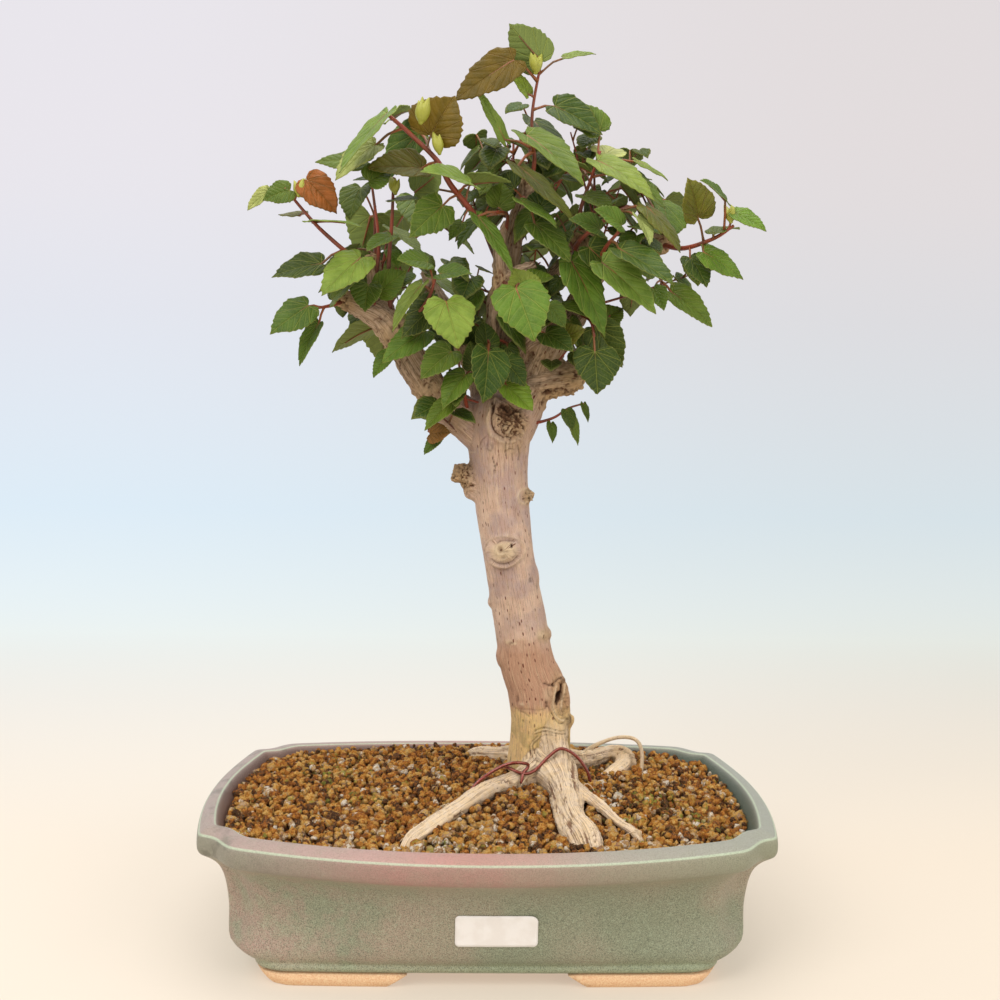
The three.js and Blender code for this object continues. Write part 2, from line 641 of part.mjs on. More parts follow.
// Leafy shoots read from the front of the tree. Each has its stem's radius, its stem's points, and
// rows of a leaf's base, tip, width and turn. Turn is in degrees about the midrib: 0 shows the upper
// face to the front, 90 turns it up, 180 shows the underside.
const SHOOTS = {
  crown: {
    radius: 1.6,
    stem: [[21, 33, 430], [23, 26, 444], [21, 20, 455], [21, 16, 472], [25, 12, 496]],
    leaves: [
      [25, 12, 497, 6, 8, 516, 24, 168],
      [39, 16, 501, 56, 14, 506, 9, 55],
      [9, 4, 497, -26, -8, 467, 31, 14],
      [34, 20, 474, 62, 14, 462, 24, 35],
      [5, 14, 453, -11, 6, 483, 10, 40],
      [17, 8, 452, 49, -8, 427, 26, 48],
      [13, 4, 445, 48, -22, 421, 22, 60],
      [18, 10, 479, 8, 2, 494, 12, 70],
    ],
    buds: [[22, 10, 491]],
  },
  left_high: {
    radius: 2.2,
    stem: [[3, 24, 392], [-12, 14, 410], [-26, 2, 425], [-33, -6, 436], [-48, -12, 449], [-61, -16, 459]],
    leaves: [
      [-61, -16, 459, -89, -30, 427, 24, 62],
      [-60, -14, 460, -52, -2, 475, 12, 75],
      [-41, -4, 461, -25, -4, 443, 27, 12],
      [-42, -14, 461, -70, -30, 436, 26, 30],
      [-68, -8, 442, -91, -20, 423, 18, 45],
      [-41, 0, 438, -69, -14, 439, 20, 60],
      [-48, 6, 422, -30, -6, 424, 22, 200],
      [-15, -4, 424, -38, -26, 432, 22, 66],
      [-15, -4, 423, 9, -24, 424, 20, 68],
      [-30, 0, 412, -46, -14, 394, 22, 24],
      [-19, 6, 404, -27, 2, 395, 9, 30],
    ],
    buds: [[-45, -16, 455], [-34, -10, 441]],
  },
  left_tall: {
    radius: 1.6,
    stem: [[-60, 20, 346], [-61, 12, 378], [-59, 6, 404], [-58, 2, 428]],
    leaves: [
      [-60, 2, 428, -81, -8, 432, 14, 65],
      [-58, 4, 416, -44, -6, 416, 16, 70],
      [-59, 0, 395, -72, -14, 387, 14, 50],
    ],
    buds: [[-57, 1, 420]],
  },
  left_tip: {
    radius: 1.3,
    stem: [[-69, 21, 368], [-67, 12, 392], [-69, 4, 414], [-71, -2, 429]],
    leaves: [
      [-73, -6, 436, -103, -10, 439, 16, 62],
      [-71, -2, 430, -59, 8, 444, 18, 40],
    ],
    buds: [],
  },
  far_left: {
    radius: 1.7,
    stem: [[-71, 22, 380], [-83, 8, 385], [-97, 0, 396], [-105, -4, 404], [-118, -8, 419]],
    leaves: [
      [-115, -8, 418, -129, -14, 413, 15, 20],
      [-128, -2, 418, -142, 0, 409, 11, 35],
      [-106, -6, 424, -88, -6, 408, 22, 28],
      [-111, 2, 406, -124, 12, 410, 16, 62],
      [-104, -6, 402, -76, -20, 405, 22, 58],
      [-99, 4, 379, -126, -4, 375, 20, 40],
      [-76, 0, 382, -97, -16, 362, 26, 22],
    ],
    buds: [[-110, -8, 416]],
  },
  left_low: {
    radius: 1.6,
    stem: [[-86, 18, 360], [-94, 10, 356], [-101, 4, 354]],
    leaves: [
      [-106, 2, 355, -126, -8, 340, 22, 26],
      [-101, 4, 345, -115, -2, 323, 13, 40],
      [-93, 10, 359, -81, 0, 372, 16, 50],
    ],
    buds: [],
  },
  left_front: {
    radius: 1.6,
    stem: [[-52, 20, 333], [-46, 4, 347], [-37, -6, 360], [-33, -10, 372]],
    leaves: [
      [-27, -16, 357, -20, -30, 333, 30, 10],
      [-32, -12, 357, -54, -26, 340, 22, 28],
      [-41, -8, 367, -60, -24, 344, 13, 52],
      [-40, 2, 342, -63, -14, 326, 20, 30],
      [-31, -10, 373, -14, -20, 375, 16, 52],
      [-38, -6, 380, -54, -18, 381, 19, 50],
      [-60, 10, 329, -70, 4, 317, 11, 30],
    ],
    buds: [],
  },
  left_inner: {
    radius: 1.2,
    stem: [[-65, 20, 350], [-70, 10, 360], [-72, 6, 366]],
    leaves: [
      [-72, 4, 368, -75, -4, 353, 19, 10],
      [-66, 4, 365, -51, -6, 376, 18, 35],
    ],
    buds: [],
  },
  under_left: {
    radius: 1.2,
    stem: [[-28, 26, 300], [-33, 10, 292], [-37, 7, 284]],
    leaves: [
      [-23, 6, 302, -39, -2, 289, 14, 40],
      [-31, 10, 281, -40, 6, 272, 9, 40],
      [-36, 12, 283, -25, 10, 285, 13, 20],
    ],
    buds: [],
  },
  fork_left: {
    radius: 1.3,
    stem: [[-14, 24, 296], [-16, 12, 304], [-18, 2, 316], [-21, -4, 329]],
    leaves: [
      [-24, -4, 330, -41, -16, 317, 20, 28],
      [-16, -4, 317, -30, -14, 301, 18, 35],
      [-20, -6, 336, -24, -12, 351, 16, 30],
      [-11, 2, 322, -13, -8, 336, 15, 30],
    ],
    buds: [],
  },
  fork_mid: {
    radius: 1.4,
    stem: [[0, 26, 332], [-2, 10, 334], [-3, 0, 337]],
    leaves: [
      [-3, -6, 330, -4, -12, 302, 26, 6],
      [-4, -6, 334, -4, -16, 349, 20, 14],
      [7, 4, 326, 19, -4, 312, 17, 20],
      [8, 8, 312, 24, 2, 298, 20, 14],
    ],
    buds: [],
  },
  middle_front: {
    radius: 1.5,
    stem: [[5, 22, 373], [10, 4, 368], [14, -10, 368]],
    leaves: [
      [12, -14, 365, 21, -34, 339, 32, 8],
      [31, -2, 357, 41, -8, 346, 14, 24],
      [19, -12, 363, 11, -20, 378, 20, 30],
      [20, -6, 371, 34, -16, 377, 18, 44],
    ],
    buds: [],
  },
  middle_top: {
    radius: 1.3,
    stem: [[7, 26, 403], [7, 15, 411], [0, 3, 410]],
    leaves: [
      [-10, 0, 407, 13, -20, 378, 13, 46],
      [2, 8, 415, 5, 2, 430, 18, 34],
      [-11, 2, 413, -24, -8, 406, 16, 50],
    ],
    buds: [],
  },
  top_inner: {
    radius: 1.4,
    stem: [[16, 34, 422], [17, 18, 421], [21, 10, 414]],
    leaves: [
      [15, 4, 417, 36, -12, 403, 19, 40],
      [23, 6, 405, 44, -12, 386, 20, 36],
      [26, 10, 415, 32, 4, 429, 18, 36],
      [11, 14, 427, -2, 8, 434, 20, 30],
    ],
    buds: [],
  },
  right_high: {
    radius: 1.7,
    stem: [[53, 43, 402], [51, 30, 416], [56, 22, 433], [61, 20, 449]],
    leaves: [
      [59, 14, 442, 93, -4, 425, 26, 52],
      [55, 10, 437, 46, 4, 444, 14, 44],
      [65, 22, 449, 74, 30, 459, 22, 30],
      [61, 26, 458, 43, 34, 474, 20, 44],
      [52, 16, 422, 67, 2, 414, 18, 50],
      [83, 10, 448, 104, 0, 444, 12, 58],
      [67, 16, 456, 85, 6, 442, 20, 34],
      [79, 8, 439, 102, -6, 426, 20, 50],
    ],
    buds: [],
  },
  right_mid: {
    radius: 1.8,
    stem: [[52, 41, 384], [48, 24, 394], [61, 10, 406], [76, 4, 415]],
    leaves: [
      [86, 2, 414, 109, -8, 393, 24, 30],
      [80, -2, 407, 88, -8, 393, 13, 24],
      [60, 4, 401, 43, -6, 407, 16, 40],
    ],
    buds: [],
  },
  far_right: {
    radius: 1.8,
    stem: [[102, 50, 400], [113, 28, 395], [128, 12, 399], [137, 4, 405]],
    leaves: [
      [117, 10, 410, 112, 4, 431, 27, 8],
      [137, 2, 412, 154, -6, 404, 14, 40],
      [130, 2, 414, 115, -6, 421, 13, 55],
      [122, 14, 391, 146, 10, 378, 18, 34],
      [115, 20, 388, 125, 14, 373, 20, 10],
      [126, 6, 401, 144, 18, 411, 13, 60],
    ],
    buds: [[135, 3, 408]],
  },
  right_low_tip: {
    radius: 1.4,
    stem: [[100, 50, 398], [99, 38, 382], [102, 30, 373]],
    leaves: [
      [106, 28, 369, 132, 20, 352, 19, 34],
      [94, 20, 370, 100, 12, 358, 13, 20],
      [92, 24, 381, 78, 14, 384, 17, 44],
    ],
    buds: [],
  },
  right_front: {
    radius: 1.8,
    stem: [[58, 38, 380], [61, 18, 385], [64, 4, 392], [70, -4, 399]],
    leaves: [
      [61, -6, 381, 90, -26, 357, 23, 30],
      [55, -2, 392, 80, -24, 369, 21, 40],
      [73, -8, 395, 94, -22, 366, 29, 22],
      [45, 0, 384, 69, -22, 344, 24, 28],
      [71, -8, 402, 57, -16, 411, 17, 44],
    ],
    buds: [],
  },
  right_low: {
    radius: 1.5,
    stem: [[50, 37, 357], [57, 20, 351], [59, 12, 341]],
    leaves: [
      [59, 8, 332, 60, -2, 308, 28, 8],
      [61, 10, 347, 77, -2, 324, 24, 24],
      [65, 16, 351, 78, 8, 362, 18, 40],
    ],
    buds: [],
  },
  right_inner: {
    radius: 1.2,
    stem: [[34, 33, 338], [31, 18, 340], [32, 12, 343]],
    leaves: [
      [30, 8, 342, 45, -2, 333, 18, 34],
      [39, 12, 339, 51, 4, 346, 15, 30],
      [27, 10, 344, 16, 2, 351, 15, 36],
    ],
    buds: [],
  },
  under_right: {
    radius: 1.1,
    stem: [[17, 28, 288], [30, 24, 291], [38, 22, 294], [45, 20, 299], [54, 18, 302]],
    leaves: [
      [35, 20, 290, 37, 14, 280, 7, 30],
      [44, 18, 298, 48, 14, 287, 9, 20],
      [47, 18, 295, 54, 10, 278, 9, 38],
      [54, 18, 302, 57, 12, 292, 5, 30],
    ],
    buds: [],
  },
};

// Shoots of the side that the front doesn't show, grown by rule: where each starts, the way it heads
// in degrees round from +X and up, its length, its number of leaves and its seed.
const BACK_SHOOTS = {
  back_left_top: { start: [-42, 70, 383], heading: 132, rise: 48, length: 42, leaves: 4, seed: 21 },
  back_left_out: { start: [-30, 62, 360], heading: 172, rise: 22, length: 46, leaves: 3, seed: 22 },
  back_right_top: { start: [44, 69, 390], heading: 70, rise: 52, length: 36, leaves: 4, seed: 23 },
  back_right_out: { start: [27, 59, 371], heading: 14, rise: 20, length: 48, leaves: 3, seed: 24 },
  back_crown: { start: [13, 37, 405], heading: 96, rise: 52, length: 58, leaves: 5, seed: 25 },
  back_left_low: { start: [-50, 23, 332], heading: 112, rise: 8, length: 44, leaves: 4, seed: 26 },
  back_right_low: { start: [45, 36, 350], heading: 84, rise: -4, length: 46, leaves: 3, seed: 27 },
  back_middle: { start: [-12, 52, 330], heading: 84, rise: 2, length: 27, leaves: 3, seed: 28 },
  inner_left: { start: [-68, 21, 366], heading: 104, rise: 56, length: 52, leaves: 4, seed: 29 },
  inner_right: { start: [57, 42, 386], heading: 62, rise: 60, length: 56, leaves: 3, seed: 30 },
  back_far_right: { start: [94, 49, 401], heading: 66, rise: 34, length: 36, leaves: 4, seed: 31 },
};

// A leaf before it is placed: base, tip, width, and the way its upper face looks.
function leafFromRow([bx, by, bz, tx, ty, tz, width, turn]) {
  const base = vec([bx, by, bz]);
  const tip = vec([tx, ty, tz]);
  const along = tip.clone().sub(base).normalize();
  const front = new THREE.Vector3(0, -1, 0).addScaledVector(along, along.y).normalize();
  const up = along.clone().cross(front);
  const flips = Math.abs(up.z) > 0.2 ? up.z < 0 : up.x < 0;
  if (flips) up.negate();
  const angle = THREE.MathUtils.degToRad(turn);
  const face = front.multiplyScalar(Math.cos(angle)).addScaledVector(up, Math.sin(angle));
  return { base, tip, width, face };
}

// A shoot grown by rule: a stem that bends upwards, with leaves set round it by the golden angle.
function grownShoot({ start, heading, rise, length, leaves, seed }) {
  const random = seeded(seed);
  const round = THREE.MathUtils.degToRad(heading);
  const stem = [];
  for (let i = 0; i < 3; i++) {
    const share = i / 2;
    const lift = THREE.MathUtils.degToRad(rise + 22 * share);
    const reach = length * share;
    stem.push([
      start[0] + reach * Math.cos(lift) * Math.cos(round),
      start[1] + reach * Math.cos(lift) * Math.sin(round),
      start[2] + reach * Math.sin(lift),
    ]);
  }
  const grown = [];
  for (let i = 0; i < leaves; i++) {
    const share = 0.4 + (0.6 * i) / (leaves - 1);
    const root = alongStem(stem.map(vec), share);
    const turn = round + (i - leaves / 2) * GOLDEN_ANGLE + 0.5 * (random() - 0.5);
    const stalk = 12 + 9 * random();
    const size = 23 + 14 * random();
    const droop = 0.35 + 0.5 * random();
    const out = new THREE.Vector3(Math.cos(turn), Math.sin(turn), 0);
    const base = root.clone().addScaledVector(out, stalk * 0.85);
    base.z += stalk * 0.45;
    const tip = base.clone().addScaledVector(out, size * Math.cos(droop));
    tip.z -= size * Math.sin(droop);
    const face = new THREE.Vector3(0, 0, 1).addScaledVector(out, 0.3);
    grown.push({ base, tip, width: size * (0.8 + 0.15 * random()), face });
  }
  return { radius: 1.5, stem, leaves: grown, buds: [] };
}

// The point at a share of a stem's length.
function alongStem(points, share) {
  const lengths = points.slice(1).map((p, i) => p.distanceTo(points[i]));
  let left = share * lengths.reduce((sum, length) => sum + length, 0);
  for (let i = 0; i < lengths.length; i++) {
    if (left <= lengths[i] || i === lengths.length - 1) {
      return points[i].clone().lerp(points[i + 1], Math.min(left / lengths[i], 1));
    }
    left -= lengths[i];
  }
  return points.at(-1).clone();
}

// The share of a stem's length where a stalk leaves it: the nearest point, stepped back to its root.
function stalkShare(points, base) {
  const STEPS = 24;
  let best = { share: 0, gap: Infinity };
  for (let i = 0; i <= STEPS; i++) {
    const gap = alongStem(points, i / STEPS).distanceTo(base);
    if (gap < best.gap) best = { share: i / STEPS, gap };
  }
  const whole = points.slice(1).reduce((sum, p, i) => sum + p.distanceTo(points[i]), 0);
  return THREE.MathUtils.clamp(best.share - (0.4 * best.gap) / whole, 0.3, 0.94);
}

// Half the blade's width at a share of its length, for a heart-shaped blade of width 1.
function halfWidth(share) {
  const s = THREE.MathUtils.clamp((share + 0.12) / 1.12, 0, 1);
  return (0.5 * s ** 0.45 * (1 - s) ** 0.9) / 0.423;
}

// The frame of a leaf: its long way, the way its upper face looks, and across.
function leafFrame(leaf) {
  const along = leaf.tip.clone().sub(leaf.base);
  const length = along.length();
  along.normalize();
  const face = leaf.face.clone().addScaledVector(along, -leaf.face.dot(along)).normalize();
  return { base: leaf.base, along, face, across: along.clone().cross(face), length, width: leaf.width };
}

// A point of the blade's upper face: u across from -0.5 to 0.5, v along from the stalk to the tip.
function bladePoint(frame, u, v) {
  const height = BLADE_FOLD * Math.abs(u) * frame.width - BLADE_ARCH * v * v * frame.length;
  return frame.base
    .clone()
    .addScaledVector(frame.along, v * frame.length)
    .addScaledVector(frame.across, u * frame.width)
    .addScaledVector(frame.face, height);
}

// A leaf as one solid: its stalk, and its blade, a toothed heart that is folded along the midrib and
// split alike on both faces. The stalk runs out of the short wall at the heart's notch.
function makeLeaf(frame, root) {
  let teeth = 2;
  if (frame.length < LARGE_LEAF) teeth = 1;
  if (frame.length < TOOTHED_FROM) teeth = 0;
  const side = [[halfWidth(-0.1), -0.13]];
  if (teeth === 0) side.push([halfWidth(0.2), 0.22]);
  for (let k = 0; k < teeth; k++) {
    const peak = 0.1 + (0.72 * k) / teeth;
    const notch = peak + 0.44 / teeth;
    side.push([halfWidth(peak) * 1.05, peak], [halfWidth(notch) * 0.84, notch - 0.12 / teeth]);
  }
  const left = [...side].reverse().map(([u, v]) => [-u, v]);
  const notchHalf = STALK_WIDTH / 2 / frame.width;
  const outline = [[-notchHalf, 0], [notchHalf, 0], ...side, [0, 1], ...left];
  const upper = outline.map(([u, v]) => bladePoint(frame, u, v));
  upper.push(bladePoint(frame, 0, 0.4));
  const lower = upper.map((p) => p.clone().addScaledVector(frame.face, -BLADE_THICKNESS));
  const under = upper.length;
  const hub = under - 1;
  const triangles = [];
  for (let i = 0; i < hub; i++) {
    const next = (i + 1) % hub;
    triangles.push([hub, i, next], [under + hub, under + next, under + i]);
    if (i > 0) triangles.push([i, under + i, under + next], [i, under + next, next]);
  }
  const notch = [0, 1, under + 1, under];
  const points = [...upper, ...lower];
  const middle = upper[0].clone().add(lower[1]).multiplyScalar(0.5);
  const way = middle.clone().sub(root).normalize();
  const across = frame.across.clone().addScaledVector(way, -frame.across.dot(way)).normalize();
  const above = across.clone().cross(way);
  const start = points.length;
  for (const [side, height] of [[-1, 1], [1, 1], [0, -1]]) {
    const reach = [(side * STALK_WIDTH) / 2, (height * STALK_WIDTH) / 2];
    points.push(root.clone().addScaledVector(across, reach[0]).addScaledVector(above, reach[1]));
  }
  const [left0, right0, low0] = [start, start + 1, start + 2];
  triangles.push([notch[0], right0, notch[1]], [notch[0], left0, right0]);
  triangles.push([notch[1], low0, notch[2]], [notch[1], right0, low0]);
  triangles.push([notch[3], left0, notch[0]], [notch[3], low0, left0]);
  triangles.push([notch[2], low0, notch[3]], [left0, low0, right0]);
  return solidOf(geometryOf(points, triangles));
}

// The stalk's middle line, from inside the stem to inside the blade.
function stalkLine(stemPoints, frame) {
  const root = alongStem(stemPoints, stalkShare(stemPoints, frame.base));
  const inBlade = bladePoint(frame, 0, 0.1).addScaledVector(frame.face, -BLADE_THICKNESS / 2);
  const middle = root.clone().lerp(frame.base, 0.55);
  middle.z += 0.08 * root.distanceTo(frame.base);
  return [root, middle, inBlade];
}

// Points spread over a leaf and its stalk, for keeping leaves of different stems apart.
function leafSamples(stemPoints, frame) {
  const samples = [];
  for (let i = 0; i <= 5; i++) {
    const v = i / 5;
    for (let j = -2; j <= 2; j++) samples.push(bladePoint(frame, halfWidth(v) * 0.45 * j, v));
  }
  const [root, middle, inBlade] = stalkLine(stemPoints, frame);
  samples.push(root.clone().lerp(middle, 0.6), middle, middle.clone().lerp(inBlade, 0.5));
  return samples;
}

// A leaf bent aside: its tip and base moved in depth and height, its face turned about the midrib.
function bentLeaf(leaf, [depth, lift, turn]) {
  const base = leaf.base.clone();
  const tip = leaf.tip.clone();
  base.y += depth / 2;
  base.z += lift / 2;
  tip.y += depth;
  tip.z += lift;
  const along = tip.clone().sub(base).normalize();
  const angle = THREE.MathUtils.degToRad(turn);
  return { base, tip, width: leaf.width, face: leaf.face.clone().applyAxisAngle(along, angle) };
}

// Places every leaf in turn, each bent clear of the wood, of other stems and of the leaves before it.
function placeLeaves(shoots) {
  const taken = [];
  for (const rows of [TRUNK, ...Object.values(LIMBS), ...Object.values(KNOTS)]) {
    for (let i = 0; i + 1 < rows.length; i++) {
      const [a, b] = [vec(rows[i]), vec(rows[i + 1])];
      const steps = Math.ceil(a.distanceTo(b) / 4);
      for (let k = 0; k <= steps; k++) {
        const radius = THREE.MathUtils.lerp(rows[i][3], rows[i + 1][3], k / steps);
        taken.push({ point: a.clone().lerp(b, k / steps), radius: radius * 1.06 + 0.6, shoot: null });
      }
    }
  }
  for (const shoot of shoots) {
    const points = shoot.stem.map(vec);
    for (let i = 4; i <= 16; i++) {
      taken.push({ point: alongStem(points, i / 16), radius: shoot.radius + 0.4, shoot });
    }
  }
  const bends = [[0, 0, 0]];
  for (const lift of [0, 7, -7, 13, -13]) {
    for (let step = 1; step <= 7; step++) {
      for (const depth of [-4 * step, 4 * step]) {
        for (const turn of [0, 25, -25]) bends.push([depth, lift, turn]);
      }
    }
  }
  for (const shoot of shoots) {
    const stemPoints = shoot.stem.map(vec);
    shoot.placed = shoot.leaves.map((leaf) => {
      let best = null;
      for (const bend of bends) {
        const frame = leafFrame(bentLeaf(leaf, bend));
        const room = 0.8 + 0.055 * frame.length;
        const samples = leafSamples(stemPoints, frame);
        let clearance = Infinity;
        for (const point of samples) {
          for (const other of taken) {
            if (other.shoot === shoot && other.stem !== false) continue;
            const gap = point.distanceTo(other.point) - other.radius - room;
            if (gap < clearance) clearance = gap;
          }
        }
        if (!best || clearance > best.clearance) best = { frame, samples, clearance, room };
        if (clearance >= 0) break;
      }
      for (const point of best.samples) {
        taken.push({ point, radius: best.room, shoot, stem: false });
      }
      return best;
    });
  }
}

// One leafy shoot as one body: stem, stalks, blades and buds.
function makeShoot(shoot, treeSkin) {
  const points = shoot.stem.map(vec);
  const last = shoot.stem.length - 1;
  const rows = shoot.stem.map((p, i) => [...p, shoot.radius * (1 - (0.5 * i) / last)]);
  const pieces = [limb(rows, STEM_SIDES, { uneven: 0 })];
  for (const { frame } of shoot.placed) {
    pieces.push(makeLeaf(frame, stalkLine(points, frame)[0]));
  }
  for (const bud of shoot.buds) {
    const shape = new THREE.OctahedronGeometry(2.6).scale(0.8, 0.8, 1.5);
    pieces.push(solidOf(shape.translate(...bud)));
  }
  return largestBody(joined(pieces).subtract(treeSkin));
}

// Materials

const finish = (color, roughness) =>
  new THREE.MeshStandardMaterial({ color, roughness, metalness: 0 });
const FINISHES = {
  pot: finish(0x7f8f84, 0.35),
  soil: finish(0x9a6a35, 0.95),
  tree: finish(0xb59a83, 0.85),
  leaf: finish(0x4a7a34, 0.55),
  net: finish(0x30343a, 0.6),
  label: finish(0xf2f2ee, 0.7),
  wire: new THREE.MeshStandardMaterial({ color: 0x5a2018, roughness: 0.4, metalness: 0.9 }),
};

function meshOf(name, solid, material) {
  const { vertProperties, triVerts } = solid.getMesh();
  const geometry = new THREE.BufferGeometry();
  geometry.setAttribute("position", new THREE.BufferAttribute(vertProperties, 3));
  geometry.setIndex(new THREE.BufferAttribute(triVerts, 1));
  geometry.computeVertexNormals();
  const mesh = new THREE.Mesh(geometry, material);
  mesh.name = name;
  return mesh;
}

// Assembly

const bonsai = new THREE.Group();
const treeSkin = makeTree(CLEAR);
const wireSkin = makeWire(CLEAR);

bonsai.add(meshOf("pot", makePot(), FINISHES.pot));
bonsai.add(meshOf("soil", makeSoil(treeSkin, wireSkin), FINISHES.soil));
bonsai.add(meshOf("trunk", makeTree(0).subtract(wireSkin), FINISHES.tree));
bonsai.add(meshOf("wire", makeWire(0), FINISHES.wire));
bonsai.add(meshOf("drain_net_left", makeNet(-DRAIN_X), FINISHES.net));
bonsai.add(meshOf("drain_net_right", makeNet(DRAIN_X), FINISHES.net));
bonsai.add(meshOf("label", makeLabel(), FINISHES.label));

const shoots = [
  ...Object.entries(SHOOTS).map(([name, { radius, stem, leaves, buds }]) => {
    return { name, radius, stem, leaves: leaves.map(leafFromRow), buds };
  }),
  ...Object.entries(BACK_SHOOTS).map(([name, rule]) => ({ name, ...grownShoot(rule) })),
];
placeLeaves(shoots);
for (const shoot of shoots) {
  bonsai.add(meshOf("shoot_" + shoot.name, makeShoot(shoot, treeSkin), FINISHES.leaf));
}

export default bonsai;
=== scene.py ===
"""A sea hibiscus grown as a bonsai, in an oblong glazed pot with stepped corners.

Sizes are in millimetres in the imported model's frame: +Z is up, -Y is the front, and the origin is the
middle of the pot, on the surface that its feet stand on. Meshes are turned into metres as they are made.
"""
import logging
import math
from dataclasses import dataclass, field
from enum import Enum
from typing import Iterable, Optional, Union

import bmesh
import bpy
import numpy as np
from bmesh.types import BMEdge, BMesh, BMVert
from bpy.types import Material, Mesh, Node, NodeSocket as Socket, NodeTree, Object
from mathutils import Matrix, Quaternion, Vector, noise


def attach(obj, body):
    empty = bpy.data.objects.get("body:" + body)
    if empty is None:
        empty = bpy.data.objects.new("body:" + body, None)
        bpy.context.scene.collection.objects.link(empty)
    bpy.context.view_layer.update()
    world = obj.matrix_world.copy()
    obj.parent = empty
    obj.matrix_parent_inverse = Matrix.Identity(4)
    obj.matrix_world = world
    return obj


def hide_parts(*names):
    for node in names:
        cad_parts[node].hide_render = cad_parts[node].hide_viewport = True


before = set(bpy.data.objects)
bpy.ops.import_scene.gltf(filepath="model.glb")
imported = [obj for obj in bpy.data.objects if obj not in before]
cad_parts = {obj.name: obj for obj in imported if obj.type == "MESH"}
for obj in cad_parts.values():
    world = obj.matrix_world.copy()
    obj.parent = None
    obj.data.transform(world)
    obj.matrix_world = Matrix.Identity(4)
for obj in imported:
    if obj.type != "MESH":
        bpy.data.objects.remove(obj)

LOG = logging.getLogger("bonsai")
MM = 0.001
# Angles in radians: between two leaves of a stem, and a full turn for waves that start anywhere
GOLDEN_ANGLE = 2.39996
FULL_TURN = 6.28
# The room that a leaf keeps from what is near it: in millimetres, and for each millimetre of its length
LEAF_ROOM = 0.8
LEAF_ROOM_GROWTH = 0.055
# How a leaf is bent aside for that room: its tip up or down, its face about the midrib, and a step in depth
LEAF_LIFTS = (0, 7, -7, 13, -13)
LEAF_TURNS = (0, 25, -25)
LEAF_STEP = 4
WORD = 0xFFFFFFFF

Point = tuple[float, float, float]
Row = tuple[float, float, float, float]
Rows = list[Row]
Plan = tuple[float, float]
Colour = tuple[float, float, float]
Stops = tuple[tuple[float, Colour], ...]


class Tone(Enum):
    """Base colours of the leaves, as the light of an sRGB picture shows them."""

    DARK = (0.200, 0.285, 0.055)
    MID = (0.300, 0.390, 0.092)
    LIGHT = (0.425, 0.510, 0.190)
    BRIGHT = (0.375, 0.490, 0.135)
    YOUNG = (0.480, 0.560, 0.185)
    PALE = (0.640, 0.680, 0.390)
    OLIVE = (0.365, 0.380, 0.095)
    BRONZE = (0.410, 0.345, 0.055)
    ORANGE = (0.520, 0.290, 0.110)
    BROWN = (0.460, 0.310, 0.130)


WARM_TONES = (Tone.BRONZE, Tone.ORANGE, Tone.OLIVE, Tone.BROWN)


class Kind(Enum):
    """What part of the tree a stretch of wood belongs to."""

    TRUNK = 0.0
    LIMB = 1.0
    ROOT = 2.0
    KNOT = 3.0


@dataclass(frozen=True)
class LeafRow:
    """A leaf read from the front: its base, tip, width, its turn about the midrib and its tone."""

    base_x: float
    base_y: float
    base_z: float
    tip_x: float
    tip_y: float
    tip_z: float
    width: float
    turn: float
    tone: Tone


@dataclass(frozen=True)
class ShootRow:
    """A leafy shoot: its stem's radius and points, its leaves and its buds."""

    name: str
    radius: float
    stem: list[Point]
    leaves: list[LeafRow]
    buds: tuple[Point, ...] = ()


@dataclass(frozen=True)
class GrowthRule:
    """A shoot grown by rule: its start, heading and rise in degrees, length, leaves and seed."""

    name: str
    start: Point
    heading: float
    rise: float
    length: float
    leaves: int
    seed: int


# The wood's stretches, as rows of x, y, z and radius
TRUNK: Rows = [
    (34, 39, 60, 18), (33, 40, 80, 20), (32, 40, 95, 18.5), (32, 39, 111, 18.3), (29.5, 39, 128, 18.3),
    (24, 38, 144, 17), (18.5, 36, 176, 16.4), (12.6, 33, 207, 15.8), (6.3, 31, 251, 17), (4, 30, 288, 20),
    (5, 31, 302, 16),
]
LIMBS: dict[str, Rows] = {
    "left": [
        (0, 29, 278, 13), (-14, 28, 290, 12.5), (-33, 26, 305, 10.8), (-49, 23, 328, 9.6),
        (-63, 20, 349, 9), (-78, 18, 357, 7), (-91, 17, 362, 4.5),
    ],
    "left_stub": [(-62, 20, 348, 7), (-68, 21, 366, 5.5), (-72, 22, 387, 4.2)],
    "middle": [
        (1, 30, 292, 9), (0, 27, 328, 4.2), (0, 22, 358, 4.2), (4, 22, 372, 5), (3, 24, 392, 3.6),
        (7, 26, 408, 2.6),
    ],
    "cut_stub": [(3, 22, 372, 3.4), (13, 20, 378, 3.2), (24, 17, 383, 2.8)],
    "right": [
        (10, 30, 282, 14), (22, 31, 306, 11.8), (36, 34, 338, 9.5), (50, 38, 358, 8.8), (58, 40, 377, 8.6),
        (55, 43, 392, 9), (53, 44, 405, 7.5),
    ],
    "crossing": [(8, 30, 304, 8), (16, 29, 334, 6.5), (32, 31, 346, 6), (48, 35, 354, 4)],
    "right_knob": [(22, 31, 312, 11), (48, 29, 317, 10), (54, 29, 316, 7)],
    "right_reach": [(57, 40, 376, 6), (78, 46, 391, 5.2), (105, 51, 403, 7), (109, 51, 402, 5)],
    "back_top": [
        (6, 34, 298, 9), (9, 42, 358, 6), (13, 37, 405, 5.2), (20, 33, 430, 5.6), (21, 32, 438, 4.4),
    ],
    "back_left": [(2, 36, 292, 10), (-12, 52, 330, 8), (-30, 62, 360, 6), (-42, 70, 384, 4)],
    "back_right": [(9, 42, 345, 7), (26, 58, 370, 6), (44, 69, 391, 4)],
}
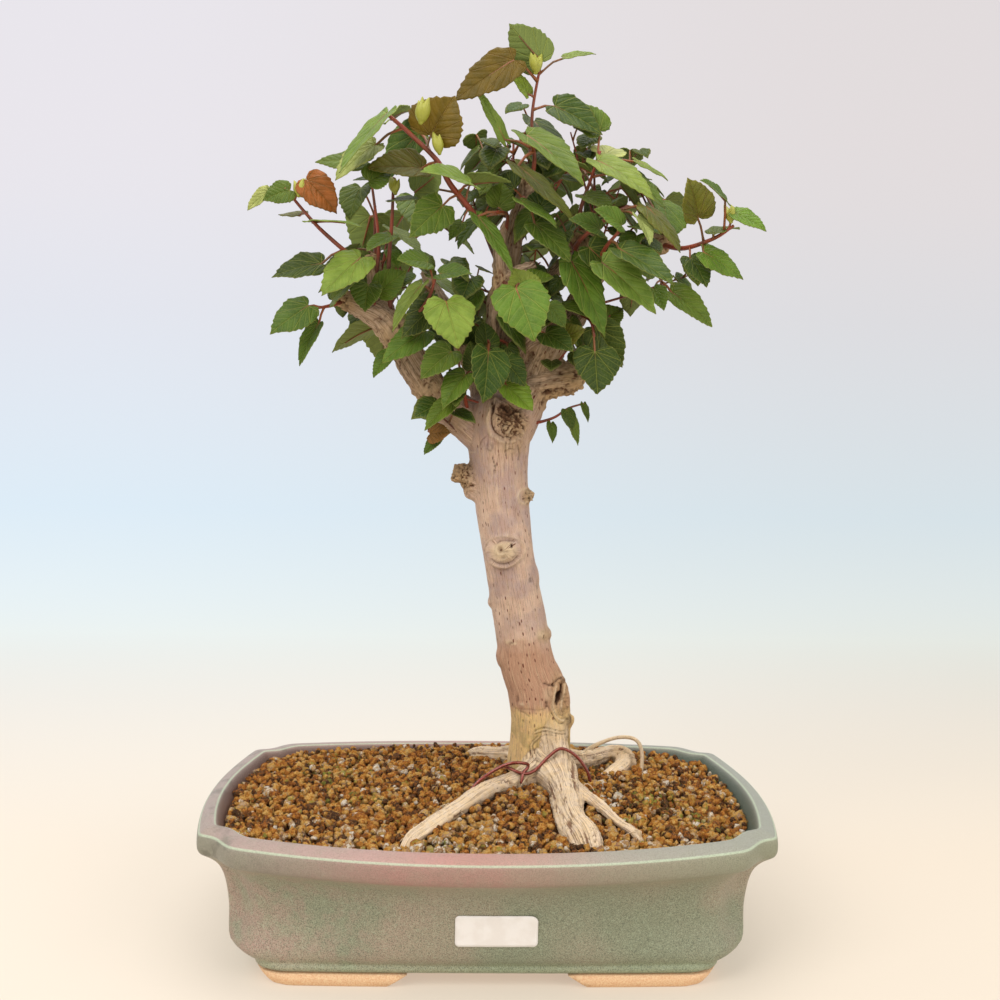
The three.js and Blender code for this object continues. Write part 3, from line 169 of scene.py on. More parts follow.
KNOTS: dict[str, Rows] = {
    "left_knob": [(-2, 30, 250, 9), (-13, 29, 255, 9), (-20, 28, 261, 6)],
    "right_knob": [(14, 29, 245, 6), (22, 28, 246, 4.6), (25, 28, 245, 2.8)],
    "ringed_knot": [(9, 30, 213, 9), (8.2, 17, 213.6, 9.6), (7.8, 14.2, 214, 7)],
    "left_nub": [(7, 34, 181, 6), (0, 34, 181.5, 3.4)],
    "right_nub": [(28, 35, 160, 7), (35, 35, 161, 5.6), (38, 35, 161, 3.5)],
    "wound": [(36, 33, 140, 4), (45, 32, 126, 5.2), (46, 35, 100, 5.4), (45, 38, 80, 6.6)],
    "low_knob": [(46, 36, 109, 5), (53, 36, 107, 3.4)],
    "burl": [(10, 26, 288, 11), (14, 16, 291, 9), (15, 12.5, 292, 5)],
}
ROOTS: dict[str, Rows] = {
    "front": [
        (36, 24, 82, 13), (41, 12, 80.5, 11.8), (44, 0, 77.5, 9.2), (45, -21, 75.5, 8.4),
        (45, -40, 74.4, 7.8), (47, -59, 73, 8), (51, -74, 70.5, 8.4), (54, -85, 61, 5.6),
    ],
    "left": [
        (34, 26, 84, 11), (22, 12, 79.5, 7), (8, 4, 76.2, 6), (-2, -8, 75.4, 5.9), (-18, -36, 74.3, 5.1),
        (-35, -66, 73, 4.3), (-42, -80, 71.5, 3.9), (-46, -88, 65, 2.6),
    ],
    "thin_right": [
        (46, 8, 76, 5.4), (54, -4, 76.6, 3.9), (60, -21, 76, 3.4), (72, -56, 74.2, 2.8),
        (78, -68, 73.2, 2.6), (83, -78, 66, 2),
    ],
    "back_right": [
        (36, 42, 82, 11), (56, 42, 80.5, 7), (67, 50, 80, 6.2), (76, 61, 78.6, 6), (85, 67, 77, 6.2),
        (90, 62, 75, 6.4), (90, 58, 66, 5),
    ],
    "elbow": [
        (88, 63, 75.6, 6.4), (86, 50, 74.2, 5.8), (77, 38, 72, 4.8), (70, 33, 69, 3.8), (66, 31, 63, 2.8),
    ],
    "hidden": [(32, 48, 80, 12), (12, 68, 75, 8), (-6, 82, 72, 5.4), (-14, 88, 64, 3)],
    "looped": [
        (62, 50, 84, 1.6), (70, 50, 89, 1.3), (83, 50, 93.5, 1.2), (94, 50, 92, 1.2), (98, 49, 83, 1.2),
        (97, 48, 64, 1.4),
    ],
}

# The wire's run between its hooks: down through the soil, under the pot and up again
WIRE_ROUTE: list[Point] = [
    (1, 1.5, 84), (-7, -1, 78), (-16, -2, 66), (-34, 1, 44), (-50, 4, 26), (-55, 5, 16), (-55, 5, 8.5),
    (-54, 5, 5.2), (-51.2, 5, 3.9), (-40, 5, 4.5), (0, 5, 4.5), (40, 5, 4.5), (51.2, 5, 3.9), (54, 5, 5.2),
    (55, 5, 8.5), (55, 5, 18), (60, 6, 46), (62, 8, 66), (61, 9, 80), (56.6, 9.4, 88.6), (50.4, 9.2, 94.8),
    (43.2, 8.6, 97.4),
]

SHOOTS: list[ShootRow] = [
    ShootRow(
        "crown", 1.6, [(21, 33, 430), (23, 26, 444), (21, 20, 455), (21, 16, 472), (25, 12, 496)],
        [
            LeafRow(25, 12, 497, 6, 8, 516, 24, 168, Tone.MID),
            LeafRow(39, 16, 501, 56, 14, 506, 9, 55, Tone.LIGHT),
            LeafRow(9, 4, 495, -24, -6, 473, 23, 14, Tone.BRONZE),
            LeafRow(34, 20, 474, 62, 14, 462, 24, 35, Tone.DARK),
            LeafRow(5, 14, 453, -11, 6, 483, 10, 40, Tone.LIGHT),
            LeafRow(17, 8, 452, 49, -8, 427, 26, 48, Tone.MID),
            LeafRow(13, 4, 445, 48, -22, 421, 22, 60, Tone.OLIVE),
            LeafRow(18, 10, 479, 8, 2, 494, 12, 70, Tone.YOUNG),
        ],
        ((22, 10, 491),),
    ),
    ShootRow(
        "left_high", 2.2,
        [(3, 24, 392), (-12, 14, 410), (-26, 2, 425), (-33, -6, 436), (-48, -12, 449), (-61, -16, 459)],
        [
            LeafRow(-61, -16, 459, -89, -30, 427, 24, 62, Tone.LIGHT),
            LeafRow(-60, -14, 460, -52, -2, 475, 12, 75, Tone.LIGHT),
            LeafRow(-37, -2, 450, -25, -4, 471, 33, 8, Tone.BRONZE),
            LeafRow(-44, 2, 463, -71, -4, 445, 29, 12, Tone.MID),
            LeafRow(-68, -8, 444, -91, -20, 427, 19, 38, Tone.PALE),
            LeafRow(-42, 0, 436, -70, -12, 440, 22, 40, Tone.OLIVE),
            LeafRow(-46, 6, 421, -28, -6, 431, 26, 200, Tone.MID),
            LeafRow(-15, -4, 424, -38, -26, 432, 22, 66, Tone.LIGHT),
            LeafRow(-15, -4, 423, 9, -24, 424, 20, 68, Tone.LIGHT),
            LeafRow(-30, 0, 412, -46, -14, 394, 22, 24, Tone.MID),
            LeafRow(-19, 6, 404, -27, 2, 395, 9, 30, Tone.MID),
        ],
        ((-42, -18, 455), (-32, -12, 440)),
    ),
    ShootRow(
        "left_tall", 1.6, [(-60, 20, 346), (-61, 12, 378), (-59, 6, 404), (-58, 2, 428)],
        [
            LeafRow(-60, 2, 428, -81, -8, 432, 14, 65, Tone.DARK),
            LeafRow(-58, 4, 416, -44, -6, 416, 16, 70, Tone.DARK),
            LeafRow(-59, 0, 395, -72, -14, 387, 14, 50, Tone.MID),
        ],
        ((-57, 1, 420),),
    ),
    ShootRow(
        "left_tip", 1.3, [(-69, 21, 368), (-67, 12, 392), (-69, 4, 414), (-71, -2, 429)],
        [
            LeafRow(-73, -6, 436, -103, -10, 439, 16, 62, Tone.MID),
            LeafRow(-71, -2, 430, -59, 8, 444, 18, 40, Tone.MID),
        ],
    ),
    ShootRow(
        "far_left", 1.7, [(-71, 22, 380), (-83, 8, 385), (-97, 0, 396), (-105, -4, 404), (-118, -8, 419)],
        [
            LeafRow(-115, -8, 418, -129, -14, 413, 15, 20, Tone.MID),
            LeafRow(-128, -2, 418, -142, 0, 409, 11, 35, Tone.PALE),
            LeafRow(-106, -6, 424, -88, -6, 408, 22, 28, Tone.ORANGE),
            LeafRow(-111, 2, 406, -124, 12, 410, 16, 62, Tone.OLIVE),
            LeafRow(-104, -6, 402, -76, -20, 405, 22, 58, Tone.LIGHT),
            LeafRow(-99, 4, 379, -126, -4, 375, 20, 40, Tone.DARK),
            LeafRow(-76, 0, 382, -97, -16, 362, 25, 30, Tone.LIGHT),
        ],
        ((-110, -8, 416),),
    ),
    ShootRow(
        "left_low", 1.6, [(-86, 18, 360), (-94, 10, 356), (-101, 4, 354)],
        [
            LeafRow(-106, 2, 355, -126, -8, 340, 22, 26, Tone.MID),
            LeafRow(-101, 4, 345, -115, -2, 323, 13, 40, Tone.MID),
            LeafRow(-93, 10, 359, -81, 0, 372, 16, 50, Tone.MID),
        ],
    ),
    ShootRow(
        "left_front", 1.6, [(-52, 20, 333), (-46, 4, 347), (-37, -6, 360), (-33, -10, 372)],
        [
            LeafRow(-27, -16, 357, -20, -30, 333, 29, 18, Tone.LIGHT),
            LeafRow(-32, -12, 357, -54, -26, 340, 22, 28, Tone.DARK),
            LeafRow(-41, -8, 367, -60, -24, 344, 13, 52, Tone.LIGHT),
            LeafRow(-40, 2, 342, -63, -14, 326, 20, 30, Tone.BRIGHT),
            LeafRow(-31, -10, 373, -14, -20, 375, 16, 52, Tone.MID),
            LeafRow(-38, -6, 380, -54, -18, 381, 19, 50, Tone.MID),
            LeafRow(-60, 10, 329, -70, 4, 317, 11, 30, Tone.MID),
        ],
    ),
    ShootRow(
        "left_inner", 1.2, [(-65, 20, 350), (-70, 10, 360), (-72, 6, 366)],
        [
            LeafRow(-72, 4, 368, -75, -4, 353, 19, 10, Tone.MID),
            LeafRow(-66, 4, 365, -51, -6, 376, 18, 35, Tone.MID),
        ],
    ),
    ShootRow(
        "under_left", 1.2, [(-28, 26, 300), (-33, 10, 292), (-37, 7, 284)],
        [
            LeafRow(-23, 6, 302, -39, -2, 289, 14, 40, Tone.MID),
            LeafRow(-31, 10, 281, -40, 6, 272, 9, 40, Tone.MID),
            LeafRow(-36, 12, 283, -25, 10, 285, 13, 20, Tone.BROWN),
        ],
    ),
    ShootRow(
        "fork_left", 1.3, [(-14, 24, 296), (-16, 12, 304), (-18, 2, 316), (-21, -4, 329)],
        [
            LeafRow(-24, -4, 330, -41, -16, 317, 20, 28, Tone.MID),
            LeafRow(-16, -4, 317, -30, -14, 301, 18, 35, Tone.MID),
            LeafRow(-20, -6, 336, -24, -12, 351, 16, 30, Tone.DARK),
            LeafRow(-11, 2, 322, -13, -8, 336, 15, 30, Tone.DARK),
        ],
    ),
    ShootRow(
        "fork_mid", 1.4, [(0, 26, 332), (-2, 10, 334), (-3, 0, 337)],
        [
            LeafRow(-3, -6, 330, -4, -12, 302, 26, 6, Tone.DARK),
            LeafRow(-4, -6, 334, -4, -16, 349, 20, 14, Tone.DARK),
            LeafRow(7, 4, 326, 19, -4, 312, 17, 20, Tone.DARK),
            LeafRow(8, 8, 312, 24, 2, 298, 20, 14, Tone.BRIGHT),
        ],
    ),
    ShootRow(
        "middle_front", 1.5, [(5, 22, 373), (10, 4, 368), (14, -10, 368)],
        [
            LeafRow(12, -14, 365, 21, -34, 339, 32, 8, Tone.BRIGHT),
            LeafRow(31, -2, 357, 41, -8, 346, 14, 24, Tone.MID),
            LeafRow(19, -12, 363, 11, -20, 378, 20, 30, Tone.YOUNG),
            LeafRow(20, -6, 371, 34, -16, 377, 18, 44, Tone.MID),
        ],
    ),
    ShootRow(
        "middle_top", 1.3, [(7, 26, 403), (7, 15, 411), (0, 3, 410)],
        [
            LeafRow(-10, 0, 407, 13, -20, 378, 13, 46, Tone.MID),
            LeafRow(2, 8, 415, 5, 2, 430, 18, 34, Tone.MID),
            LeafRow(-11, 2, 413, -24, -8, 406, 16, 50, Tone.MID),
        ],
    ),
    ShootRow(
        "top_inner", 1.4, [(16, 34, 422), (17, 18, 421), (21, 10, 414)],
        [
            LeafRow(15, 4, 417, 36, -12, 403, 19, 40, Tone.MID),
            LeafRow(23, 6, 405, 44, -12, 386, 20, 36, Tone.MID),
            LeafRow(26, 10, 415, 32, 4, 429, 18, 36, Tone.DARK),
            LeafRow(11, 14, 427, -2, 8, 434, 20, 30, Tone.DARK),
        ],
    ),
    ShootRow(
        "right_high", 1.7, [(53, 43, 402), (51, 30, 416), (56, 22, 433), (61, 20, 449)],
        [
            LeafRow(59, 14, 442, 93, -4, 425, 26, 52, Tone.LIGHT),
            LeafRow(55, 10, 437, 46, 4, 444, 14, 44, Tone.LIGHT),
            LeafRow(65, 22, 449, 74, 30, 459, 22, 30, Tone.PALE),
            LeafRow(61, 26, 458, 43, 34, 474, 20, 44, Tone.MID),
            LeafRow(52, 16, 422, 67, 2, 414, 18, 50, Tone.MID),
            LeafRow(83, 10, 448, 104, 0, 444, 12, 58, Tone.LIGHT),
            LeafRow(68, 32, 450, 90, 26, 446, 17, 60, Tone.DARK),
            LeafRow(79, 8, 439, 102, -6, 426, 20, 50, Tone.LIGHT),
        ],
    ),
    ShootRow(
        "right_mid", 1.8, [(52, 41, 384), (48, 24, 394), (61, 10, 406), (76, 4, 415)],
        [
            LeafRow(86, 2, 414, 109, -8, 393, 24, 34, Tone.OLIVE),
            LeafRow(80, -2, 407, 88, -8, 393, 13, 24, Tone.PALE),
            LeafRow(60, 4, 401, 43, -6, 407, 16, 40, Tone.MID),
        ],
    ),
    ShootRow(
        "far_right", 1.8, [(102, 50, 400), (113, 28, 395), (128, 12, 399), (137, 4, 405)],
        [
            LeafRow(117, 10, 410, 112, 4, 431, 27, 8, Tone.OLIVE),
            LeafRow(137, 2, 412, 154, -6, 404, 14, 40, Tone.BRIGHT),
            LeafRow(130, 2, 414, 115, -6, 421, 13, 55, Tone.MID),
            LeafRow(122, 14, 391, 146, 10, 378, 18, 34, Tone.BRIGHT),
            LeafRow(115, 20, 388, 125, 14, 373, 20, 10, Tone.DARK),
            LeafRow(126, 6, 401, 144, 18, 411, 13, 60, Tone.MID),
        ],
        ((135, 3, 408),),
    ),
    ShootRow(
        "right_low_tip", 1.4, [(100, 50, 398), (99, 38, 382), (102, 30, 373)],
        [
            LeafRow(106, 28, 369, 132, 20, 352, 19, 34, Tone.BRIGHT),
            LeafRow(94, 20, 370, 100, 12, 358, 13, 20, Tone.MID),
            LeafRow(92, 24, 381, 78, 14, 384, 17, 44, Tone.MID),
        ],
    ),
    ShootRow(
        "right_front", 1.8, [(58, 38, 380), (61, 18, 385), (64, 4, 392), (70, -4, 399)],
        [
            LeafRow(61, -6, 381, 90, -26, 357, 23, 30, Tone.LIGHT),
            LeafRow(55, -2, 392, 80, -24, 369, 21, 40, Tone.DARK),
            LeafRow(70, -6, 388, 98, -22, 371, 23, 46, Tone.DARK),
            LeafRow(45, 0, 384, 69, -22, 344, 24, 28, Tone.BRIGHT),
            LeafRow(71, -8, 402, 57, -16, 411, 17, 44, Tone.MID),
        ],
    ),
    ShootRow(
        "right_low", 1.5, [(50, 37, 357), (57, 20, 351), (59, 12, 341)],
        [
            LeafRow(59, 8, 332, 60, -2, 308, 28, 8, Tone.DARK),
            LeafRow(61, 10, 347, 77, -2, 324, 24, 24, Tone.DARK),
            LeafRow(65, 16, 351, 78, 8, 362, 18, 40, Tone.MID),
        ],
    ),
    ShootRow(
        "right_inner", 1.2, [(34, 33, 338), (31, 18, 340), (32, 12, 343)],
        [
            LeafRow(30, 8, 342, 45, -2, 333, 18, 34, Tone.DARK),
            LeafRow(39, 12, 339, 51, 4, 346, 15, 30, Tone.OLIVE),
            LeafRow(27, 10, 344, 16, 2, 351, 15, 36, Tone.DARK),
        ],
    ),
    ShootRow(
        "under_right", 1.1, [(17, 28, 288), (30, 24, 291), (38, 22, 294), (45, 20, 299), (54, 18, 302)],
        [
            LeafRow(35, 20, 290, 37, 14, 280, 7, 30, Tone.MID),
            LeafRow(44, 18, 298, 48, 14, 287, 9, 20, Tone.DARK),
            LeafRow(47, 18, 295, 54, 10, 278, 9, 38, Tone.MID),
            LeafRow(54, 18, 302, 57, 12, 292, 5, 30, Tone.DARK),
        ],
    ),
]

BACK_SHOOTS: list[GrowthRule] = [
    GrowthRule("back_left_top", (-42, 70, 383), 132, 48, 42, 4, 21),
    GrowthRule("back_left_out", (-30, 62, 360), 172, 22, 46, 3, 22),
    GrowthRule("back_right_top", (44, 69, 390), 70, 52, 36, 4, 23),
    GrowthRule("back_right_out", (27, 59, 371), 14, 20, 48, 3, 24),
    GrowthRule("back_crown", (13, 37, 405), 96, 52, 58, 5, 25),
    GrowthRule("back_left_low", (-50, 23, 332), 112, 8, 44, 4, 26),
    GrowthRule("back_right_low", (45, 36, 350), 84, -4, 46, 3, 27),
    GrowthRule("back_middle", (-12, 52, 330), 84, 2, 27, 3, 28),
    GrowthRule("inner_left", (-68, 21, 366), 104, 56, 52, 4, 29),
    GrowthRule("inner_right", (57, 42, 386), 62, 60, 56, 3, 30),
    GrowthRule("back_far_right", (94, 49, 401), 66, 34, 36, 4, 31),
]
# Ends of the short twigs that fill the crown, from its top to its foot
SPRAYS: list[Point] = [
    (45, 40, 464), (23, 45, 469), (-11, 40, 452), (10, 50, 450), (63, 45, 455), (81, 55, 451),
    (39, 30, 433), (58, 45, 431), (78, 60, 437), (28, 45, 422), (95, 50, 427), (42, 25, 403),
    (59, 40, 405), (74, 35, 400), (90, 30, 397), (106, 45, 403), (4, 55, 417), (-15, 60, 432),
    (-64, 35, 397), (-72, 30, 384), (-48, 35, 385), (-32, 30, 379), (-14, 25, 371), (-37, 25, 359),
    (-9, 15, 344), (11, 12, 332), (28, 35, 386), (43, 30, 375), (39, 20, 354), (46, 15, 336),
    (70, 30, 355), (65, 40, 371), (121, 50, 382), (-76, 30, 350), (-28, 10, 307), (-33, 12, 296),
    (58, 25, 337), (22, 40, 364), (5, 50, 365), (-84, 25, 367),
]

# Numbers and curves


class Draws:
    """A seeded stream of numbers from 0 to 1, the one that the part's source draws from."""

    def __init__(self, seed: int) -> None:
        """Starts the stream at a seed."""
        self.state = seed & WORD

    def next(self) -> float:
        """Returns the next number of the stream."""
        self.state = (self.state + 0x6D2B79F5) & WORD
        mixed = ((self.state ^ (self.state >> 15)) * (self.state | 1)) & WORD
        mixed = ((mixed + ((mixed ^ (mixed >> 7)) * (mixed | 61) & WORD)) & WORD) ^ mixed
        return (mixed ^ (mixed >> 14)) / 4294967296

    def over(self, low: float, reach: float) -> float:
        """Returns a number from a low end to that end plus a reach."""
        return low + reach * self.next()

    def aside(self, reach: float) -> float:
        """Returns a number that lies at most half a reach from 0."""
        return reach * (self.next() - 0.5)


def clamp(value: float, low: float = 0.0, high: float = 1.0) -> float:
    """Returns the value kept between two limits."""
    return max(low, min(high, value))


def smoothstep(value: float, low: float, high: float) -> float:
    """Returns a soft rise from 0 at one limit to 1 at the other."""
    share = clamp((value - low) / (high - low))
    return share * share * (3 - 2 * share)


def lerp(start: float, end: float, share: float) -> float:
    """Returns the value at a share of the way between two."""
    return start + (end - start) * share


def through(rows: list[tuple[float, ...]], step: float, tightness: float = 0.5) -> list[tuple[float, ...]]:
    """Lays a smooth curve through rows of numbers.

    Args:
        rows: The rows. Their first three numbers are a place in millimetres.
        step: The spacing of the new rows in millimetres.
        tightness: The share of a neighbour's distance that a row's slope takes.

    Returns:
        The new rows, with every old one among them.
    """
    table = np.array(rows, dtype=float)
    before = np.vstack([2 * table[0] - table[1], table[:-1]])
    after = np.vstack([table[1:], 2 * table[-1] - table[-2]])
    slopes = (after - before) * tightness
    refined: list[tuple[float, ...]] = []
    for i in range(len(table) - 1):
        gap = float(np.linalg.norm(table[i + 1][:3] - table[i][:3]))
        parts = max(1, round(gap / step))
        for part in range(parts):
            t = part / parts
            here = (
                (2 * t**3 - 3 * t**2 + 1) * table[i]
                + (t**3 - 2 * t**2 + t) * slopes[i]
                + (3 * t**2 - 2 * t**3) * table[i + 1]
                + (t**3 - t**2) * slopes[i + 1]
            )
            refined.append(tuple(here))
    refined.append(tuple(table[-1]))
    return refined


def crease(values: np.ndarray, width: float) -> np.ndarray:
    """Returns 1 where a noise is 0, falling to 0 where it reaches a width on either side."""
    return np.clip(1 - np.abs(values) / width, 0, 1)


def wave(points: np.ndarray, scale: float, seed: float = 0.0, octaves: int = 1) -> np.ndarray:
    """Reads a smooth noise at many points.

    Args:
        points: The places, one to a row.
        scale: The size of the noise's lumps, in the points' unit.
        seed: A shift that gives another noise.
        octaves: How many finer layers are added.

    Returns:
        A number for each point, mostly from -1 to 1.
    """
    shifted = points / scale + np.array([seed * 7.31, seed * 3.17, seed * 5.73])
    return np.array([noise.fractal(Vector(p), 0.9, 2.1, octaves) for p in shifted])


# Meshes


def own_mesh(name: str, work: BMesh) -> Mesh:
    """Writes a bmesh into a new mesh and frees it.

    Args:
        name: The mesh's name.
        work: The bmesh, which is freed.

    Returns:
        The mesh, smooth shaded.
    """
    for face in work.faces:
        face.smooth = True
    mesh = bpy.data.meshes.new(name)
    work.to_mesh(mesh)
    work.free()
    return mesh


def baked(mesh: Mesh, *modifiers: dict[str, object]) -> Mesh:
    """Applies modifiers to a mesh.

    Args:
        mesh: The mesh to start from.
        modifiers: Each modifier's type and settings.

    Returns:
        A new mesh with the modifiers' result.
    """
    holder = add_to_scene(bpy.data.objects.new("holder", mesh))
    for settings in modifiers:
        modifier = holder.modifiers.new("finish", str(settings["type"]))
        for key, value in settings.items():
            if key != "type":
                setattr(modifier, key, value)
    graph = bpy.context.evaluated_depsgraph_get()
    result = bpy.data.meshes.new_from_object(holder.evaluated_get(graph), depsgraph=graph)
    bpy.data.objects.remove(holder)
    return result


def copies_of(blank: Mesh, count: int) -> Mesh:
    """Joins copies of one mesh into a mesh, by doubling it.

    Args:
        blank: The mesh to copy.
        count: The number of copies.

    Returns:
        A mesh in which the copies follow each other, vertex by vertex.
    """
    whole = blank.copy()
    made = 1
    while made < count:
        work = bmesh.new()
        work.from_mesh(whole)
        work.from_mesh(whole)
        work.to_mesh(whole)
        work.free()
        made *= 2
    work = bmesh.new()
    work.from_mesh(whole)
    work.verts.ensure_lookup_table()
    surplus = work.verts[count * len(blank.vertices) :]
    bmesh.ops.delete(work, geom=surplus, context="VERTS")
    work.to_mesh(whole)
    work.free()
    return whole


def places_of(mesh: Mesh) -> np.ndarray:
    """Returns a mesh's vertices, one to a row."""
    flat = np.empty(len(mesh.vertices) * 3)
    mesh.vertices.foreach_get("co", flat)
    return flat.reshape(-1, 3)


def directions_of(mesh: Mesh) -> np.ndarray:
    """Returns the normals of a mesh's vertices, one to a row."""
    flat = np.empty(len(mesh.vertices) * 3)
    mesh.vertex_normals.foreach_get("vector", flat)
    return flat.reshape(-1, 3)


def place(mesh: Mesh, points: np.ndarray) -> None:
    """Moves a mesh's vertices to given places."""
    mesh.vertices.foreach_set("co", np.ascontiguousarray(points, dtype=np.float32).ravel())
    mesh.update()


def mark(mesh: Mesh, name: str, values: np.ndarray) -> None:
    """Gives a mesh an attribute on its vertices.

    Args:
        mesh: The mesh.
        name: The attribute's name.
        values: A number for each vertex, or a row of three for a colour or a vector.
    """
    kind = "FLOAT" if values.ndim == 1 else "FLOAT_VECTOR"
    layer = mesh.attributes.new(name, kind, "POINT")
    key = "value" if values.ndim == 1 else "vector"
    layer.data.foreach_set(key, np.ascontiguousarray(values, dtype=np.float32).ravel())


def finished(
    name: str,
    mesh: Mesh,
    material: Material,
    replaces: Iterable[str] = (),
) -> Object:
    """Makes a piece of the object from a mesh that is already in place, in metres.

    Args:
        name: The piece's name.
        mesh: The mesh.
        material: Its material.
        replaces: The CAD nodes that the piece stands for.

    Returns:
        The piece, riding on the one body.
    """
    mesh.name = name
    mesh.materials.clear()
    mesh.materials.append(material)
    piece = add_to_scene(bpy.data.objects.new(name, mesh))
    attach(piece, "root")
    for node in replaces:
        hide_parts(node)
    LOG.info("%s: %d faces", name, len(mesh.polygons))
    return piece


def ring_edges(work: BMesh, ring: list[BMVert]) -> list[BMEdge]:
    """Returns the edges of a closed ring of vertices."""
    return [work.edges.get((a, b)) for a, b in zip(ring, ring[1:] + ring[:1])]


def stack_rings(work: BMesh, rings: list[list[Vector]]) -> list[list[BMVert]]:
    """Extrudes a circle through rings of equal length, open at both ends.

    Args:
        work: The bmesh.
        rings: Each ring's points in order.

    Returns:
        Each ring's vertices in order.
    """
    circle = bmesh.ops.create_circle(work, cap_ends=False, radius=MM, segments=len(rings[0]))
    ring = list(circle["verts"])
    made = [ring]
    for vert, point in zip(ring, rings[0]):
        vert.co = point
    for points in rings[1:]:
        fresh = bmesh.ops.extrude_edge_only(work, edges=ring_edges(work, ring))["geom"]
        old = set(ring)
        partner = {}
        for vert in fresh:
            if isinstance(vert, BMVert):
                for edge in vert.link_edges:
                    if edge.other_vert(vert) in old:
                        partner[edge.other_vert(vert)] = vert
        ring = [partner[vert] for vert in ring]
        for vert, point in zip(ring, points):
            vert.co = point
        made.append(ring)
    return made


def close_ring(work: BMesh, ring: list[BMVert], push: Vector) -> BMVert:
    """Closes a ring with a fan of faces.

    Args:
        work: The bmesh.
        ring: The ring's vertices.
        push: How far the fan's middle stands out.

    Returns:
        The middle.
    """
    face = bmesh.ops.contextual_create(work, geom=ring_edges(work, ring))["faces"][0]
    middle = bmesh.ops.poke(work, faces=[face])["verts"][0]
    middle.co += push
    return middle


@dataclass
class Tube:
    """A tapering tube through rows of x, y, z and radius, such as a limb, root, stalk or wire."""

    rows: Rows
    sides: int
    uneven: float = 0.0
    seed: float = 1.0
    step: float = 3.0
    flat_end: bool = False
    centres: np.ndarray = field(init=False)
    radii: np.ndarray = field(init=False)
    ways: np.ndarray = field(init=False)
    side_ways: np.ndarray = field(init=False)
    other_ways: np.ndarray = field(init=False)
    index: np.ndarray = field(init=False)

    def __post_init__(self) -> None:
        """Refines the rows and works out the frame of every ring."""
        numbered = [tuple(row) + (float(i),) for i, row in enumerate(self.rows)]
        fine = np.array(through(numbered, self.step))
        self.centres = fine[:, :3]
        self.radii = np.maximum(fine[:, 3], 0.05)
        self.index = fine[:, 4]
        ends = np.vstack([self.centres[:1], self.centres, self.centres[-1:]])
        ways = ends[2:] - ends[:-2]
        self.ways = ways / np.linalg.norm(ways, axis=1)[:, None]
        side = np.array([1.0, 0, 0]) if abs(self.ways[0][1]) > 0.8 else np.array([0, 1.0, 0])
        sides = []
        for way in self.ways:
            side = side - way * side.dot(way)
            side = side / np.linalg.norm(side)
            sides.append(side)
        self.side_ways = np.array(sides)
        self.other_ways = np.cross(self.ways, self.side_ways)

    def ring(self, number: int) -> list[Vector]:
        """Returns the points of one ring, in metres.

        Args:
            number: The ring's place along the tube.

        Returns:
            As many points as the tube has sides.
        """
        points = []
        for i in range(self.sides):
            turn = 2 * math.pi * i / self.sides
            row = self.index[number]
            lobes = math.sin(2 * turn + self.seed) + math.sin(3 * turn + 1.7 * self.seed + 0.9 * row)
            radius = self.radii[number] * (1 + self.uneven * lobes)
            away = self.side_ways[number] * math.cos(turn) + self.other_ways[number] * math.sin(turn)
            points.append(Vector((self.centres[number] + away * radius) * MM))
        return points

    def grow(self, work: BMesh) -> None:
        """Adds the closed tube to a bmesh.

        Args:
            work: The bmesh, in metres.
        """
        made = stack_rings(work, [self.ring(number) for number in range(len(self.centres))])
        reach = 0.02 if self.flat_end else 0.3
        close_ring(work, made[0], Vector(self.ways[0] * -self.radii[0] * reach * MM))
        close_ring(work, made[-1], Vector(self.ways[-1] * self.radii[-1] * reach * MM))


def tubes_mesh(name: str, tubes: Iterable[Tube]) -> Mesh:
    """Makes one mesh of several closed tubes.

    Args:
        name: The mesh's name.
        tubes: The tubes.

    Returns:
        The mesh, with its faces outwards.
    """
    work = bmesh.new()
    for tube in tubes:
        tube.grow(work)
    bmesh.ops.recalc_face_normals(work, faces=work.faces)
    return own_mesh(name, work)


def add_to_scene(thing: Object) -> Object:
    """Links an object into the scene and returns it."""
    bpy.context.scene.collection.objects.link(thing)
    return thing


def joined_mesh(name: str, meshes: Iterable[Mesh]) -> Mesh:
    """Joins meshes with the same attributes into one.

    Args:
        name: The new mesh's name.
        meshes: The meshes.

    Returns:
        The mesh.
    """
    work = bmesh.new()
    for mesh in meshes:
        work.from_mesh(mesh)
    return own_mesh(name, work)


# Shader trees


Feed = Union[float, tuple[float, ...], Socket]


def linear(colour: Colour) -> tuple[float, float, float, float]:
    """Returns an sRGB colour as the linear one that shaders take."""
    parts = [c / 12.92 if c <= 0.04045 else ((c + 0.055) / 1.055) ** 2.4 for c in colour]
    return (parts[0], parts[1], parts[2], 1.0)


